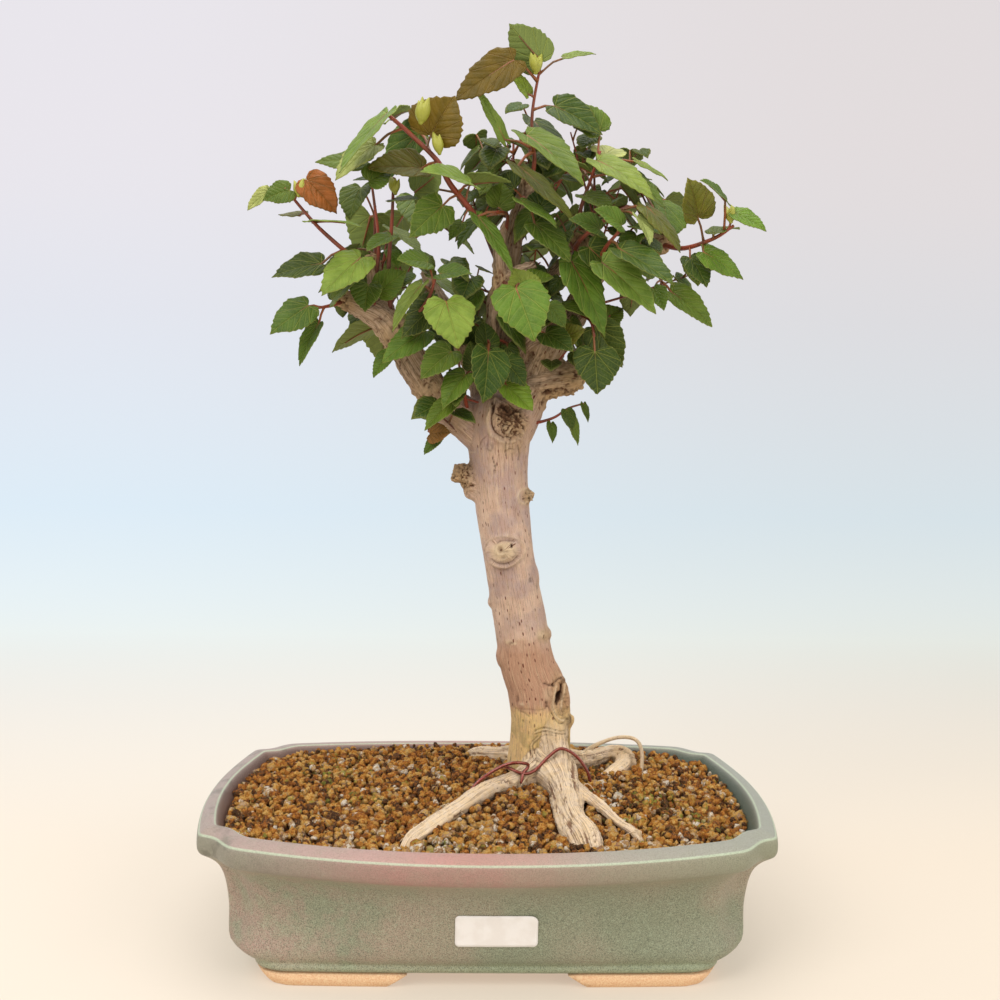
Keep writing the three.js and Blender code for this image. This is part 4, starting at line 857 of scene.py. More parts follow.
class Wiring:
    """Adds nodes to a shader tree and joins them."""

    def __init__(self, tree: NodeTree) -> None:
        """Takes the tree that the nodes go into."""
        self.tree = tree

    def node(self, kind: str, **settings: object) -> Node:
        """Adds a node and returns it.

        Args:
            kind: The node's type.
            settings: Values for its properties.

        Returns:
            The node.
        """
        made = self.tree.nodes.new(kind)
        for key, value in settings.items():
            setattr(made, key, value)
        return made

    def feed(self, target: Socket, value: Optional[Feed]) -> None:
        """Joins a socket to an input, or sets the input's own value."""
        if isinstance(value, Socket):
            self.tree.links.new(value, target)
        elif value is not None:
            target.default_value = value

    def maths(
        self, operation: str, first: Feed, second: Optional[Feed] = None, third: Optional[Feed] = None
    ) -> Socket:
        """Adds a sum, product or other operation on numbers.

        Args:
            operation: The operation.
            first: The first number.
            second: The second number.
            third: The third number.

        Returns:
            The result.
        """
        made = self.node("ShaderNodeMath", operation=operation)
        for target, value in zip(made.inputs, (first, second, third)):
            self.feed(target, value)
        return made.outputs[0]

    def times(self, first: Feed, second: Feed) -> Socket:
        """Returns the product of two numbers."""
        return self.maths("MULTIPLY", first, second)

    def less(self, first: Feed, second: Feed) -> Socket:
        """Returns the first number less the second."""
        return self.maths("SUBTRACT", first, second)

    def gap(self, first: Feed, second: Feed) -> Socket:
        """Returns how far two numbers lie apart."""
        return self.maths("ABSOLUTE", self.less(first, second))

    def line(self, value: Feed, slope: float, start: Feed) -> Socket:
        """Returns a number times a slope, plus a start."""
        return self.maths("MULTIPLY_ADD", value, slope, start)

    def mix(self, share: Feed, first: Feed, second: Feed, blend: str = "MIX") -> Socket:
        """Mixes two colours.

        Args:
            share: How much of the second colour there is.
            first: The first colour, linear.
            second: The second colour, linear.
            blend: How the second acts on the first.

        Returns:
            The mixed colour.
        """
        made = self.node("ShaderNodeMix", data_type="RGBA", blend_type=blend)
        for number, value in ((0, share), (6, first), (7, second)):
            self.feed(made.inputs[number], value)
        return made.outputs[2]

    def tint(self, base: Feed, share: Feed, colour: Colour, most: float = 1.0) -> Socket:
        """Lays an sRGB colour over another colour.

        Args:
            base: The colour below, linear.
            share: How much of the new colour there is.
            colour: The new colour.
            most: What the share is multiplied by.

        Returns:
            The mixed colour.
        """
        return self.mix(share if most == 1.0 else self.times(share, most), base, linear(colour))

    def ramp(self, share: Feed, stops: Stops) -> Socket:
        """Turns a number into a colour.

        Args:
            share: The number.
            stops: Places from 0 to 1 and their sRGB colours.

        Returns:
            The colour.
        """
        made = self.node("ShaderNodeValToRGB")
        elements = made.color_ramp.elements
        while len(elements) < len(stops):
            elements.new(0.5)
        for element, (spot, colour) in zip(elements, stops):
            element.position = spot
            element.color = linear(colour)
        self.feed(made.inputs[0], share)
        return made.outputs[0]

    def rise(self, value: Feed, low: float, high: float) -> Socket:
        """Returns a soft rise from 0 to 1 between two values of a number."""
        made = self.node("ShaderNodeMapRange", interpolation_type="SMOOTHSTEP")
        for number, given in ((0, value), (1, low), (2, high)):
            self.feed(made.inputs[number], given)
        return made.outputs[0]

    def scaled(self, place: Socket, scale: Point) -> Socket:
        """Returns a place multiplied by a number along each axis."""
        made = self.node("ShaderNodeMapping")
        self.feed(made.inputs["Vector"], place)
        made.inputs["Scale"].default_value = scale
        return made.outputs[0]

    def millimetres(self) -> Socket:
        """Returns the place on the object in millimetres."""
        return self.scaled(self.node("ShaderNodeTexCoord").outputs["Object"], (1000, 1000, 1000))

    def parts(self, place: Socket) -> tuple[Socket, Socket, Socket]:
        """Returns the x, y and z of a place."""
        made = self.node("ShaderNodeSeparateXYZ")
        self.feed(made.inputs[0], place)
        return made.outputs[0], made.outputs[1], made.outputs[2]

    def cloud(self, place: Socket, size: float, detail: float = 2.0, rough: float = 0.5) -> Socket:
        """Adds a soft noise whose lumps have a size in the place's unit.

        Args:
            place: Where the noise is read.
            size: The size of its lumps.
            detail: The number of finer layers.
            rough: How strong the finer layers are.

        Returns:
            A number round 0.5.
        """
        made = self.node("ShaderNodeTexNoise")
        self.feed(made.inputs["Vector"], place)
        made.inputs["Scale"].default_value = 1 / size
        made.inputs["Detail"].default_value = detail
        made.inputs["Roughness"].default_value = rough
        return made.outputs["Fac"]

    def cells(self, place: Socket, size: float, feature: str = "F1", output: str = "Distance") -> Socket:
        """Adds a pattern of cells.

        Args:
            place: Where the pattern is read.
            size: The size of a cell in the place's unit.
            feature: What is read of the cells.
            output: The output to use.

        Returns:
            The distance or colour.
        """
        made = self.node("ShaderNodeTexVoronoi", feature=feature)
        self.feed(made.inputs["Vector"], place)
        made.inputs["Scale"].default_value = 1 / size
        return made.outputs[output]

    def attribute(self, name: str, output: str = "Fac") -> Socket:
        """Returns what a piece's attribute holds."""
        return self.node("ShaderNodeAttribute", attribute_name=name).outputs[output]

    def placed(self, group: NodeTree, **inputs: Feed) -> Node:
        """Adds a node group with its own values.

        Args:
            group: The group's tree.
            inputs: Values or sockets for its inputs.

        Returns:
            The group's node.
        """
        made = self.node("ShaderNodeGroup", node_tree=group)
        for key, value in inputs.items():
            self.feed(made.inputs[key], value)
        return made

    def mottled(
        self, group: NodeTree, place: Socket, patch: float, grain: float
    ) -> tuple[Socket, Socket]:
        """Places the group of patches and grain.

        Args:
            group: The group's tree.
            place: Where it is read.
            patch: The patches' scale.
            grain: The grain's scale.

        Returns:
            The patches and the grain.
        """
        made = self.placed(group, Place=place, **{"Patch Scale": patch, "Grain Scale": grain})
        return made.outputs["Patches"], made.outputs["Grain"]

    def dress(self, shader: Node, values: dict[str, Feed]) -> None:
        """Gives a shader's inputs a socket to read or a value of their own."""
        for key, value in values.items():
            self.feed(shader.inputs[key], value)

    def bump(self, height: Feed, distance: float, strength: float = 1.0) -> Socket:
        """Turns a height from 0 to 1 into a normal.

        Args:
            height: The height.
            distance: How many metres a height of 1 stands out.
            strength: How much of the effect shows.

        Returns:
            The normal.
        """
        made = self.node("ShaderNodeBump")
        made.inputs["Strength"].default_value = strength
        made.inputs["Distance"].default_value = distance
        self.feed(made.inputs["Height"], height)
        return made.outputs[0]


def new_group(name: str, inputs: dict[str, float], outputs: list[str]) -> tuple[NodeTree, Wiring]:
    """Starts a node group that reads a place and some numbers.

    Args:
        name: The group's name.
        inputs: The number inputs with their first values, next to the input Place.
        outputs: The number outputs.

    Returns:
        The group's tree and its wiring.
    """
    tree = bpy.data.node_groups.new(name, "ShaderNodeTree")
    tree.interface.new_socket(name="Place", in_out="INPUT", socket_type="NodeSocketVector")
    for key, value in inputs.items():
        socket = tree.interface.new_socket(name=key, in_out="INPUT", socket_type="NodeSocketFloat")
        socket.default_value = value
    for key in outputs:
        tree.interface.new_socket(name=key, in_out="OUTPUT", socket_type="NodeSocketFloat")
    return tree, Wiring(tree)


def new_material(name: str) -> tuple[Material, Wiring, Node]:
    """Starts a material.

    Args:
        name: The material's name.

    Returns:
        The material, its wiring and its Principled shader.
    """
    material = bpy.data.materials.new(name)
    material.use_nodes = True
    return material, Wiring(material.node_tree), material.node_tree.nodes["Principled BSDF"]


def mottle_group() -> NodeTree:
    """Builds the group of soft patches and fine grain that the earthy finishes share.

    Returns:
        A group with the outputs Patches and Grain, both from 0 to 1.
    """
    tree, wiring = new_group("mottle", {"Patch Scale": 0.04, "Grain Scale": 1.0}, ["Patches", "Grain"])
    given = wiring.node("NodeGroupInput").outputs
    result = wiring.node("NodeGroupOutput").inputs
    layers = (("Patch Scale", "Patches", 0.38, 0.62), ("Grain Scale", "Grain", 0.3, 0.7))
    for scale, output, low, high in layers:
        texture = wiring.node("ShaderNodeTexNoise")
        texture.inputs["Detail"].default_value = 3.0
        wiring.feed(texture.inputs["Vector"], given["Place"])
        wiring.feed(texture.inputs["Scale"], given[scale])
        wiring.feed(result[output], wiring.rise(texture.outputs["Fac"], low, high))
    return tree


def streak_group() -> NodeTree:
    """Builds the group of lengthwise streaks and cracks that wood, stalks and hair roots share.

    Returns:
        A group with the outputs Streaks and Cracks, both from 0 to 1.
    """
    tree, wiring = new_group("streaks", {"Across": 1.0, "Along": 0.06}, ["Streaks", "Cracks"])
    given = wiring.node("NodeGroupInput").outputs
    result = wiring.node("NodeGroupOutput").inputs
    x, y, z = wiring.parts(given["Place"])
    joined = wiring.node("ShaderNodeCombineXYZ")
    for number, (value, scale) in enumerate(((x, "Across"), (y, "Across"), (z, "Along"))):
        wiring.feed(joined.inputs[number], wiring.times(value, given[scale]))
    streaks = wiring.cloud(joined.outputs[0], 1.0, 3.0, 0.6)
    wiring.feed(result["Streaks"], wiring.rise(streaks, 0.3, 0.7))
    other = wiring.cloud(joined.outputs[0], 2.3, 4.0, 0.65)
    wiring.feed(result["Cracks"], wiring.rise(wiring.gap(other, 0.5), 0.035, 0.0))
    return tree


# Finishes


@dataclass(frozen=True)
class GlazeFinish:
    """Satin celadon glaze with fine speckle, mauve on the lip, over bare tan clay at the foot."""

    green: Colour = (0.575, 0.592, 0.492)
    deep_green: Colour = (0.520, 0.560, 0.465)
    warm_grey: Colour = (0.680, 0.615, 0.535)
    moulding: Colour = (0.610, 0.660, 0.520)
    mauve: Colour = (0.720, 0.560, 0.530)
    smudge: Colour = (0.400, 0.380, 0.330)
    lip_top: Stops = (
        (0.00, (0.650, 0.575, 0.540)), (0.25, (0.720, 0.585, 0.550)), (0.45, (0.740, 0.540, 0.500)),
        (0.62, (0.700, 0.580, 0.530)), (0.76, (0.640, 0.610, 0.560)), (1.00, (0.600, 0.610, 0.560)),
    )
    lip_face: Stops = (
        (0.00, (0.560, 0.550, 0.490)), (0.12, (0.600, 0.530, 0.480)), (0.30, (0.660, 0.500, 0.460)),
        (0.52, (0.650, 0.510, 0.460)), (0.70, (0.600, 0.540, 0.470)), (1.00, (0.570, 0.580, 0.490)),
    )
    edge: Colour = (0.740, 0.800, 0.690)
    speckle: Colour = (0.290, 0.310, 0.250)
    teal: Colour = (0.300, 0.350, 0.300)
    brown: Colour = (0.420, 0.310, 0.270)
    clay: Colour = (0.960, 0.830, 0.660)
    dark_clay: Colour = (0.900, 0.710, 0.540)
    roughness: float = 0.34

    def material(self, mottle: NodeTree) -> Material:
        """Builds the glaze, which reads the pot's attribute profile.

        Args:
            mottle: The group of patches and grain.

        Returns:
            The material.
        """
        material, wiring, shader = new_material("celadon_glaze")
        place = wiring.millimetres()
        x, _, z = wiring.parts(place)
        profile = wiring.attribute("profile")
        wide_patches, wide_grain = wiring.mottled(mottle, place, 0.016, 1.9)
        patches, grain = wiring.mottled(mottle, place, 0.11, 1.25)
        body = wiring.mix(wide_patches, linear(self.warm_grey), linear(self.green))
        body = wiring.tint(body, wiring.rise(wiring.gap(x, 40.0), 150.0, 10.0), self.deep_green, 0.45)
        body = wiring.tint(body, wiring.times(wiring.rise(x, 20.0, -150.0), patches), self.mauve, 0.48)
        body = wiring.tint(body, wiring.rise(z, 42.0, 70.0), self.warm_grey, 0.45)
        body = wiring.tint(body, wiring.rise(z, 16.0, 11.0), self.moulding, 0.55)
        across = wiring.rise(x, -165.0, 165.0)
        lip = wiring.ramp(across, self.lip_top)
        face = wiring.ramp(across, self.lip_face)
        lip = wiring.mix(wiring.rise(profile, Pot.LIP_STARTS - 0.01, Pot.LIP_STARTS + 0.01), face, lip)
        smear = wiring.times(wiring.rise(wiring.cloud(place, 16.0, 4.0, 0.7), 0.5, 0.66), 0.6)
        lip = wiring.tint(lip, wiring.times(smear, wiring.rise(x, -70.0, -150.0)), self.smudge)
        lip = wiring.tint(lip, patches, self.green, 0.14)
        on_lip = wiring.rise(profile, Pot.FACE_STARTS - 0.05, Pot.FACE_STARTS + 0.02)
        body = wiring.mix(on_lip, body, lip)
        # The inside of the wall is dark brown and teal: its own hue, darkened as painted shade under the lip
        wall = wiring.mix(wiring.rise(x, 40.0, 140.0), linear(self.brown), linear(self.teal))
        body = wiring.mix(wiring.rise(profile, Pot.LIP_ENDS, Pot.LIP_ENDS + 0.06), body, wall)
        for spot in (Pot.LIP_STARTS, Pot.LIP_ENDS):
            body = wiring.tint(body, wiring.rise(wiring.gap(profile, spot), 0.020, 0.006), self.edge, 0.75)
        dots = wiring.times(wiring.rise(wide_grain, 0.50, 0.80), 0.60)
        dots = wiring.times(dots, wiring.less(1.0, wiring.times(on_lip, 0.55)))
        body = wiring.tint(body, dots, self.speckle)
        pale = wiring.times(wiring.rise(grain, 0.34, 0.10), 0.26)
        pale = wiring.times(pale, wiring.less(1.0, wiring.times(on_lip, 0.75)))
        body = wiring.tint(body, pale, self.edge)
        ragged = wiring.line(wiring.cloud(place, 9.0), 1.6, 5.4)
        bare = wiring.rise(wiring.less(z, ragged), 0.35, -0.35)
        bare = wiring.maths("MAXIMUM", bare, wiring.rise(profile, 0.02, 0.0))
        clay = wiring.mix(grain, linear(self.clay), linear(self.dark_clay))
        height = wiring.maths("ADD", wide_grain, wiring.cloud(place, 6.0))
        wiring.dress(shader, {
            "Base Color": wiring.mix(bare, body, clay),
            "Roughness": wiring.line(bare, 0.45, wiring.line(grain, 0.12, self.roughness)),
            "Normal": wiring.bump(height, 0.0002, 0.7),
            "IOR": 1.5,
        })
        return material


@dataclass(frozen=True)
class SoilFinish:
    """Fired-clay grains: each piece's attribute tone picks its colour, and moss greens some."""

    stops: Stops = (
        (0.00, (0.260, 0.160, 0.080)), (0.14, (0.440, 0.270, 0.120)), (0.28, (0.660, 0.385, 0.130)),
        (0.42, (0.760, 0.500, 0.180)), (0.55, (0.840, 0.610, 0.280)), (0.68, (0.890, 0.730, 0.420)),
        (0.80, (0.680, 0.500, 0.380)), (0.90, (0.860, 0.750, 0.580)), (1.00, (0.960, 0.920, 0.850)),
    )
    dark: Colour = (0.300, 0.180, 0.090)
    crust: Colour = (0.900, 0.760, 0.520)
    moss: Colour = (0.580, 0.600, 0.240)

    def material(self, mottle: NodeTree) -> Material:
        """Builds the finish of the grains.

        Args:
            mottle: The group of patches and grain.

        Returns:
            The material.
        """
        material, wiring, shader = new_material("fired_clay_grains")
        place = wiring.millimetres()
        patches, grain = wiring.mottled(mottle, place, 0.55, 2.2)
        shifted = wiring.line(wiring.less(patches, 0.5), 0.26, wiring.attribute("tone"))
        colour = wiring.ramp(shifted, self.stops)
        colour = wiring.tint(colour, wiring.rise(grain, 0.35, 0.0), self.dark, 0.45)
        colour = wiring.tint(colour, wiring.rise(grain, 0.75, 1.0), self.crust, 0.30)
        mossy = wiring.times(wiring.attribute("moss"), wiring.rise(wiring.cloud(place, 2.5), 0.45, 0.6))
        height = wiring.maths("ADD", grain, wiring.cloud(place, 1.0, 3.0, 0.8))
        wiring.dress(shader, {
            "Base Color": wiring.tint(colour, mossy, self.moss),
            "Roughness": 0.92,
            "Specular IOR Level": 0.3,
            "Normal": wiring.bump(height, 0.0007, 0.9),
        })
        return material


@dataclass(frozen=True)
class BarkFinish:
    """Bark that changes with height: cream roots, ochre foot, red-brown band, pinkish beige above."""

    root: Colour = (0.990, 0.905, 0.785)
    root_crack: Colour = (0.470, 0.300, 0.200)
    foot: Colour = (0.985, 0.850, 0.590)
    band: Colour = (0.810, 0.635, 0.520)
    middle: Colour = (0.915, 0.800, 0.710)
    upper: Colour = (0.815, 0.700, 0.615)
    lilac: Colour = (0.700, 0.610, 0.620)
    limb: Colour = (0.650, 0.530, 0.410)
    limb_pale: Colour = (0.850, 0.750, 0.640)
    dash: Colour = (0.420, 0.190, 0.120)
    crevice: Colour = (0.230, 0.145, 0.090)
    rugged: Colour = (0.800, 0.670, 0.480)
    pale: Colour = (0.940, 0.850, 0.700)
    lichen: Colour = (0.660, 0.600, 0.380)

    def material(self, mottle: NodeTree, streaks: NodeTree) -> Material:
        """Builds the bark, which reads the attributes that the wood's carving leaves.

        Args:
            mottle: The group of patches and grain.
            streaks: The group of lengthwise streaks.

        Returns:
            The material.
        """
        material, wiring, shader = new_material("bark")
        place = wiring.millimetres()
        z = wiring.parts(place)[2]
        along = wiring.attribute("grain", "Vector")
        is_root = wiring.attribute("is_root")
        fine = wiring.placed(streaks, Place=along, Across=1.3, Along=0.07).outputs
        coarse = wiring.placed(streaks, Place=along, Across=0.42, Along=0.05).outputs
        thin = wiring.placed(streaks, Place=along, Across=2.4, Along=0.10).outputs
        long = wiring.placed(streaks, Place=along, Across=0.8, Along=0.018).outputs
        patches, _ = wiring.mottled(mottle, place, 0.06, 1.5)
        small_patches, grain = wiring.mottled(mottle, place, 0.22, 3.2)
        uneven = wiring.line(wiring.cloud(place, 11.0), 14.0, wiring.less(z, 7.0))
        colour = wiring.mix(wiring.rise(uneven, 114.0, 121.0), linear(self.foot), linear(self.band))
        colour = wiring.tint(colour, wiring.rise(uneven, 150.0, 166.0), self.middle)
        colour = wiring.tint(colour, wiring.rise(uneven, 225.0, 285.0), self.upper)
        colour = wiring.tint(colour, wiring.times(patches, wiring.rise(z, 140.0, 190.0)), self.lilac, 0.62)
        light = wiring.times(wiring.rise(fine["Streaks"], 0.55, 0.95), 0.42)
        colour = wiring.tint(colour, light, self.pale)
        colour = wiring.tint(colour, small_patches, self.band, 0.26)
        colour = wiring.tint(colour, wiring.rise(thin["Streaks"], 0.35, 0.05), self.root_crack, 0.42)
        colour = wiring.tint(colour, wiring.times(thin["Cracks"], light), self.dash, 1.1)
        green = wiring.times(wiring.rise(uneven, 118.0, 96.0), wiring.rise(patches, 0.4, 0.9))
        colour = wiring.tint(colour, green, self.lichen, 0.45)
        limb = wiring.mix(fine["Streaks"], linear(self.limb), linear(self.limb_pale))
        # Darker in the limbs' cracks: painted shade in them
        limb = wiring.tint(limb, coarse["Cracks"], self.crevice, 0.6)
        colour = wiring.mix(wiring.attribute("is_limb"), colour, limb)
        root = wiring.tint(linear(self.root), small_patches, self.foot, 0.35)
        root = wiring.tint(root, long["Cracks"], self.root_crack, 0.55)
        root = wiring.tint(root, fine["Cracks"], self.root_crack, 0.18)
        colour = wiring.mix(is_root, colour, root)
        colour = wiring.tint(colour, wiring.attribute("rugged"), self.rugged)
        colour = wiring.tint(colour, wiring.attribute("pale"), self.pale)
        dashes = wiring.cells(wiring.scaled(along, (0.42, 0.42, 0.15)), 1.0)
        rows = wiring.rise(wiring.cloud(wiring.scaled(along, (0.16, 0.16, 0.012)), 1.0), 0.42, 0.56)
        dash = wiring.times(wiring.rise(dashes, 0.23, 0.12), wiring.line(rows, 0.75, 0.2))
        colour = wiring.tint(colour, wiring.times(dash, wiring.less(1.0, is_root)), self.dash)
        colour = wiring.tint(colour, wiring.rise(grain, 0.3, 0.0), self.root_crack, 0.25)
        # Darker where the skin is carved in: painted shade in fissures and hollows
        colour = wiring.tint(colour, wiring.rise(wiring.attribute("cavity"), 0.2, 1.0), self.root_crack, 0.8)
        # Darkened where the wood is stained: real stains, and painted shade in grooves, creases and hollows
        broken = wiring.line(wiring.rise(wiring.cloud(place, 2.2), 0.35, 0.6), 0.55, 0.45)
        height = wiring.line(fine["Streaks"], 0.5, grain)
        height = wiring.less(wiring.less(height, wiring.times(coarse["Cracks"], 0.9)), dash)
        wiring.dress(shader, {
            "Base Color": wiring.tint(colour, wiring.times(wiring.attribute("stain"), broken), self.crevice),
            "Roughness": 0.78,
            "Specular IOR Level": 0.3,
            "Normal": wiring.bump(height, 0.00035, 0.8),
        })
        return material


@dataclass(frozen=True)
class LeafFinish:
    """A satin leaf: the attribute leaf_tone gives its colour, its UV map carries the veins."""

    vein: Colour = (0.600, 0.650, 0.300)
    red_vein: Colour = (0.440, 0.200, 0.110)
    underside: Colour = (0.520, 0.570, 0.340)
    edge: Colour = (0.700, 0.700, 0.370)
    vein_angles: tuple[float, ...] = (30.0, 62.0, 100.0)

    def material(self, mottle: NodeTree) -> Material:
        """Builds the leaf's finish.

        Args:
            mottle: The group of patches and grain.

        Returns:
            The material.
        """
        material, wiring, shader = new_material("leaf")
        u, v, _ = wiring.parts(wiring.node("ShaderNodeUVMap", uv_map="leaf").outputs[0])
        u = wiring.less(u, 0.5)
        v = wiring.line(v, 1.3, -0.15)
        aside = wiring.maths("ABSOLUTE", u)
        nearest = aside
        for degrees in self.vein_angles:
            tilt = math.radians(degrees)
            off = wiring.gap(wiring.times(aside, math.cos(tilt)), wiring.times(v, math.sin(tilt)))
            nearest = wiring.maths("MINIMUM", nearest, off)
        slanted = wiring.less(v, wiring.times(aside, 0.85))
        branch = wiring.times(wiring.maths("PINGPONG", wiring.times(slanted, 6.0), 0.5), 0.167)
        main = wiring.rise(nearest, 0.017, 0.004)
        side = wiring.times(wiring.rise(branch, 0.012, 0.002), 0.6)
        flat = wiring.node("ShaderNodeCombineXYZ")
        wiring.feed(flat.inputs[0], wiring.times(u, 15.0))
        wiring.feed(flat.inputs[1], wiring.times(v, 18.0))
        net = wiring.cells(flat.outputs[0], 1.0, "DISTANCE_TO_EDGE")
        veins = wiring.maths("MAXIMUM", main, side)
        veins = wiring.maths("MAXIMUM", veins, wiring.times(wiring.rise(net, 0.10, 0.02), 0.28))
        patches, grain = wiring.mottled(mottle, wiring.millimetres(), 0.12, 1.2)
        tone = wiring.attribute("leaf_tone", "Vector")
        red = wiring.attribute("redness")
        top = wiring.mix(wiring.times(patches, 0.55), tone, (0.50, 0.58, 0.36, 1.0), "MULTIPLY")
        vein = wiring.mix(red, linear(self.vein), linear(self.red_vein))
        top = wiring.mix(wiring.times(veins, 0.42), top, vein)
        rim = wiring.times(wiring.rise(wiring.attribute("edge"), 0.4, 1.0), 0.26)
        top = wiring.mix(rim, top, wiring.mix(red, linear(self.edge), linear(self.red_vein)))
        below = wiring.attribute("underside")
        under = wiring.tint(wiring.mix(0.55, tone, linear(self.underside)), veins, self.vein, 0.5)
        quilt = wiring.times(wiring.rise(branch, 0.0, 0.06), 0.3)
        height = wiring.maths("ADD", wiring.less(quilt, wiring.times(main, 0.6)), wiring.times(grain, 0.12))
        wiring.dress(shader, {
            "Base Color": wiring.mix(below, top, under),
            "Roughness": wiring.line(below, 0.22, wiring.line(grain, 0.14, 0.40)),
            "Specular IOR Level": 0.22,
            "Normal": wiring.bump(height, 0.0008, 0.9),
        })
        return material


@dataclass(frozen=True)
class StalkFinish:
    """Red-brown young stems and stalks; the attribute youth makes some of them green."""

    old: Colour = (0.360, 0.170, 0.110)
    red: Colour = (0.560, 0.220, 0.140)
    line: Colour = (0.62, 0.42, 0.28)
    green: Colour = (0.640, 0.660, 0.250)

    def material(self, streaks: NodeTree) -> Material:
        """Builds the finish of stems, stalks and buds.

        Args:
            streaks: The group of lengthwise streaks.

        Returns:
            The material.
        """
        material, wiring, shader = new_material("young_stem")
        place = wiring.millimetres()
        lines = wiring.placed(streaks, Place=place, Across=1.6, Along=0.25).outputs["Streaks"]
        patch = wiring.rise(wiring.cloud(place, 14.0), 0.35, 0.65)
        colour = wiring.tint(wiring.mix(patch, linear(self.old), linear(self.red)), lines, self.line, 0.25)
        wiring.dress(shader, {
            "Base Color": wiring.tint(colour, wiring.attribute("youth"), self.green),
            "Roughness": 0.42,
            "Normal": wiring.bump(lines, 0.00015, 0.6),
        })
        return material


@dataclass(frozen=True)
class WireFinish:
    """Red-brown anodised aluminium with scuffed spots."""

    colour: Colour = (0.480, 0.160, 0.100)
    scuff: Colour = (0.700, 0.450, 0.370)

    def material(self, mottle: NodeTree) -> Material:
        """Builds the wire's finish.

        Args:
            mottle: The group of patches and grain.

        Returns:
            The material.
        """
        material, wiring, shader = new_material("anodised_wire")
        patches, grain = wiring.mottled(mottle, wiring.millimetres(), 0.3, 2.5)
        wiring.dress(shader, {
            "Base Color": wiring.tint(linear(self.colour), wiring.rise(grain, 0.6, 1.0), self.scuff, 0.5),
            "Metallic": 0.75,
            "Coat Weight": 0.9,
            "Coat Roughness": 0.12,
            "Roughness": wiring.line(patches, 0.14, 0.22),
            "Normal": wiring.bump(grain, 0.00008, 0.5),
        })
        return material


@dataclass(frozen=True)
class PlainFinish:
    """A plain small part's finish: one colour with patches and a little roughness of its own."""

    name: str
    colour: Colour
    other: Colour
    roughness: float
    relief: float

    def material(self, mottle: NodeTree) -> Material:
        """Builds the finish.

        Args:
            mottle: The group of patches and grain.

        Returns:
            The material.
        """
        material, wiring, shader = new_material(self.name)
        patches, grain = wiring.mottled(mottle, wiring.millimetres(), 0.12, 1.8)
        wiring.dress(shader, {
            "Base Color": wiring.tint(linear(self.colour), patches, self.other, 0.6),
            "Roughness": wiring.line(grain, 0.14, self.roughness),
            "Normal": wiring.bump(grain, self.relief, 0.6),
        })
        return material


# Pot


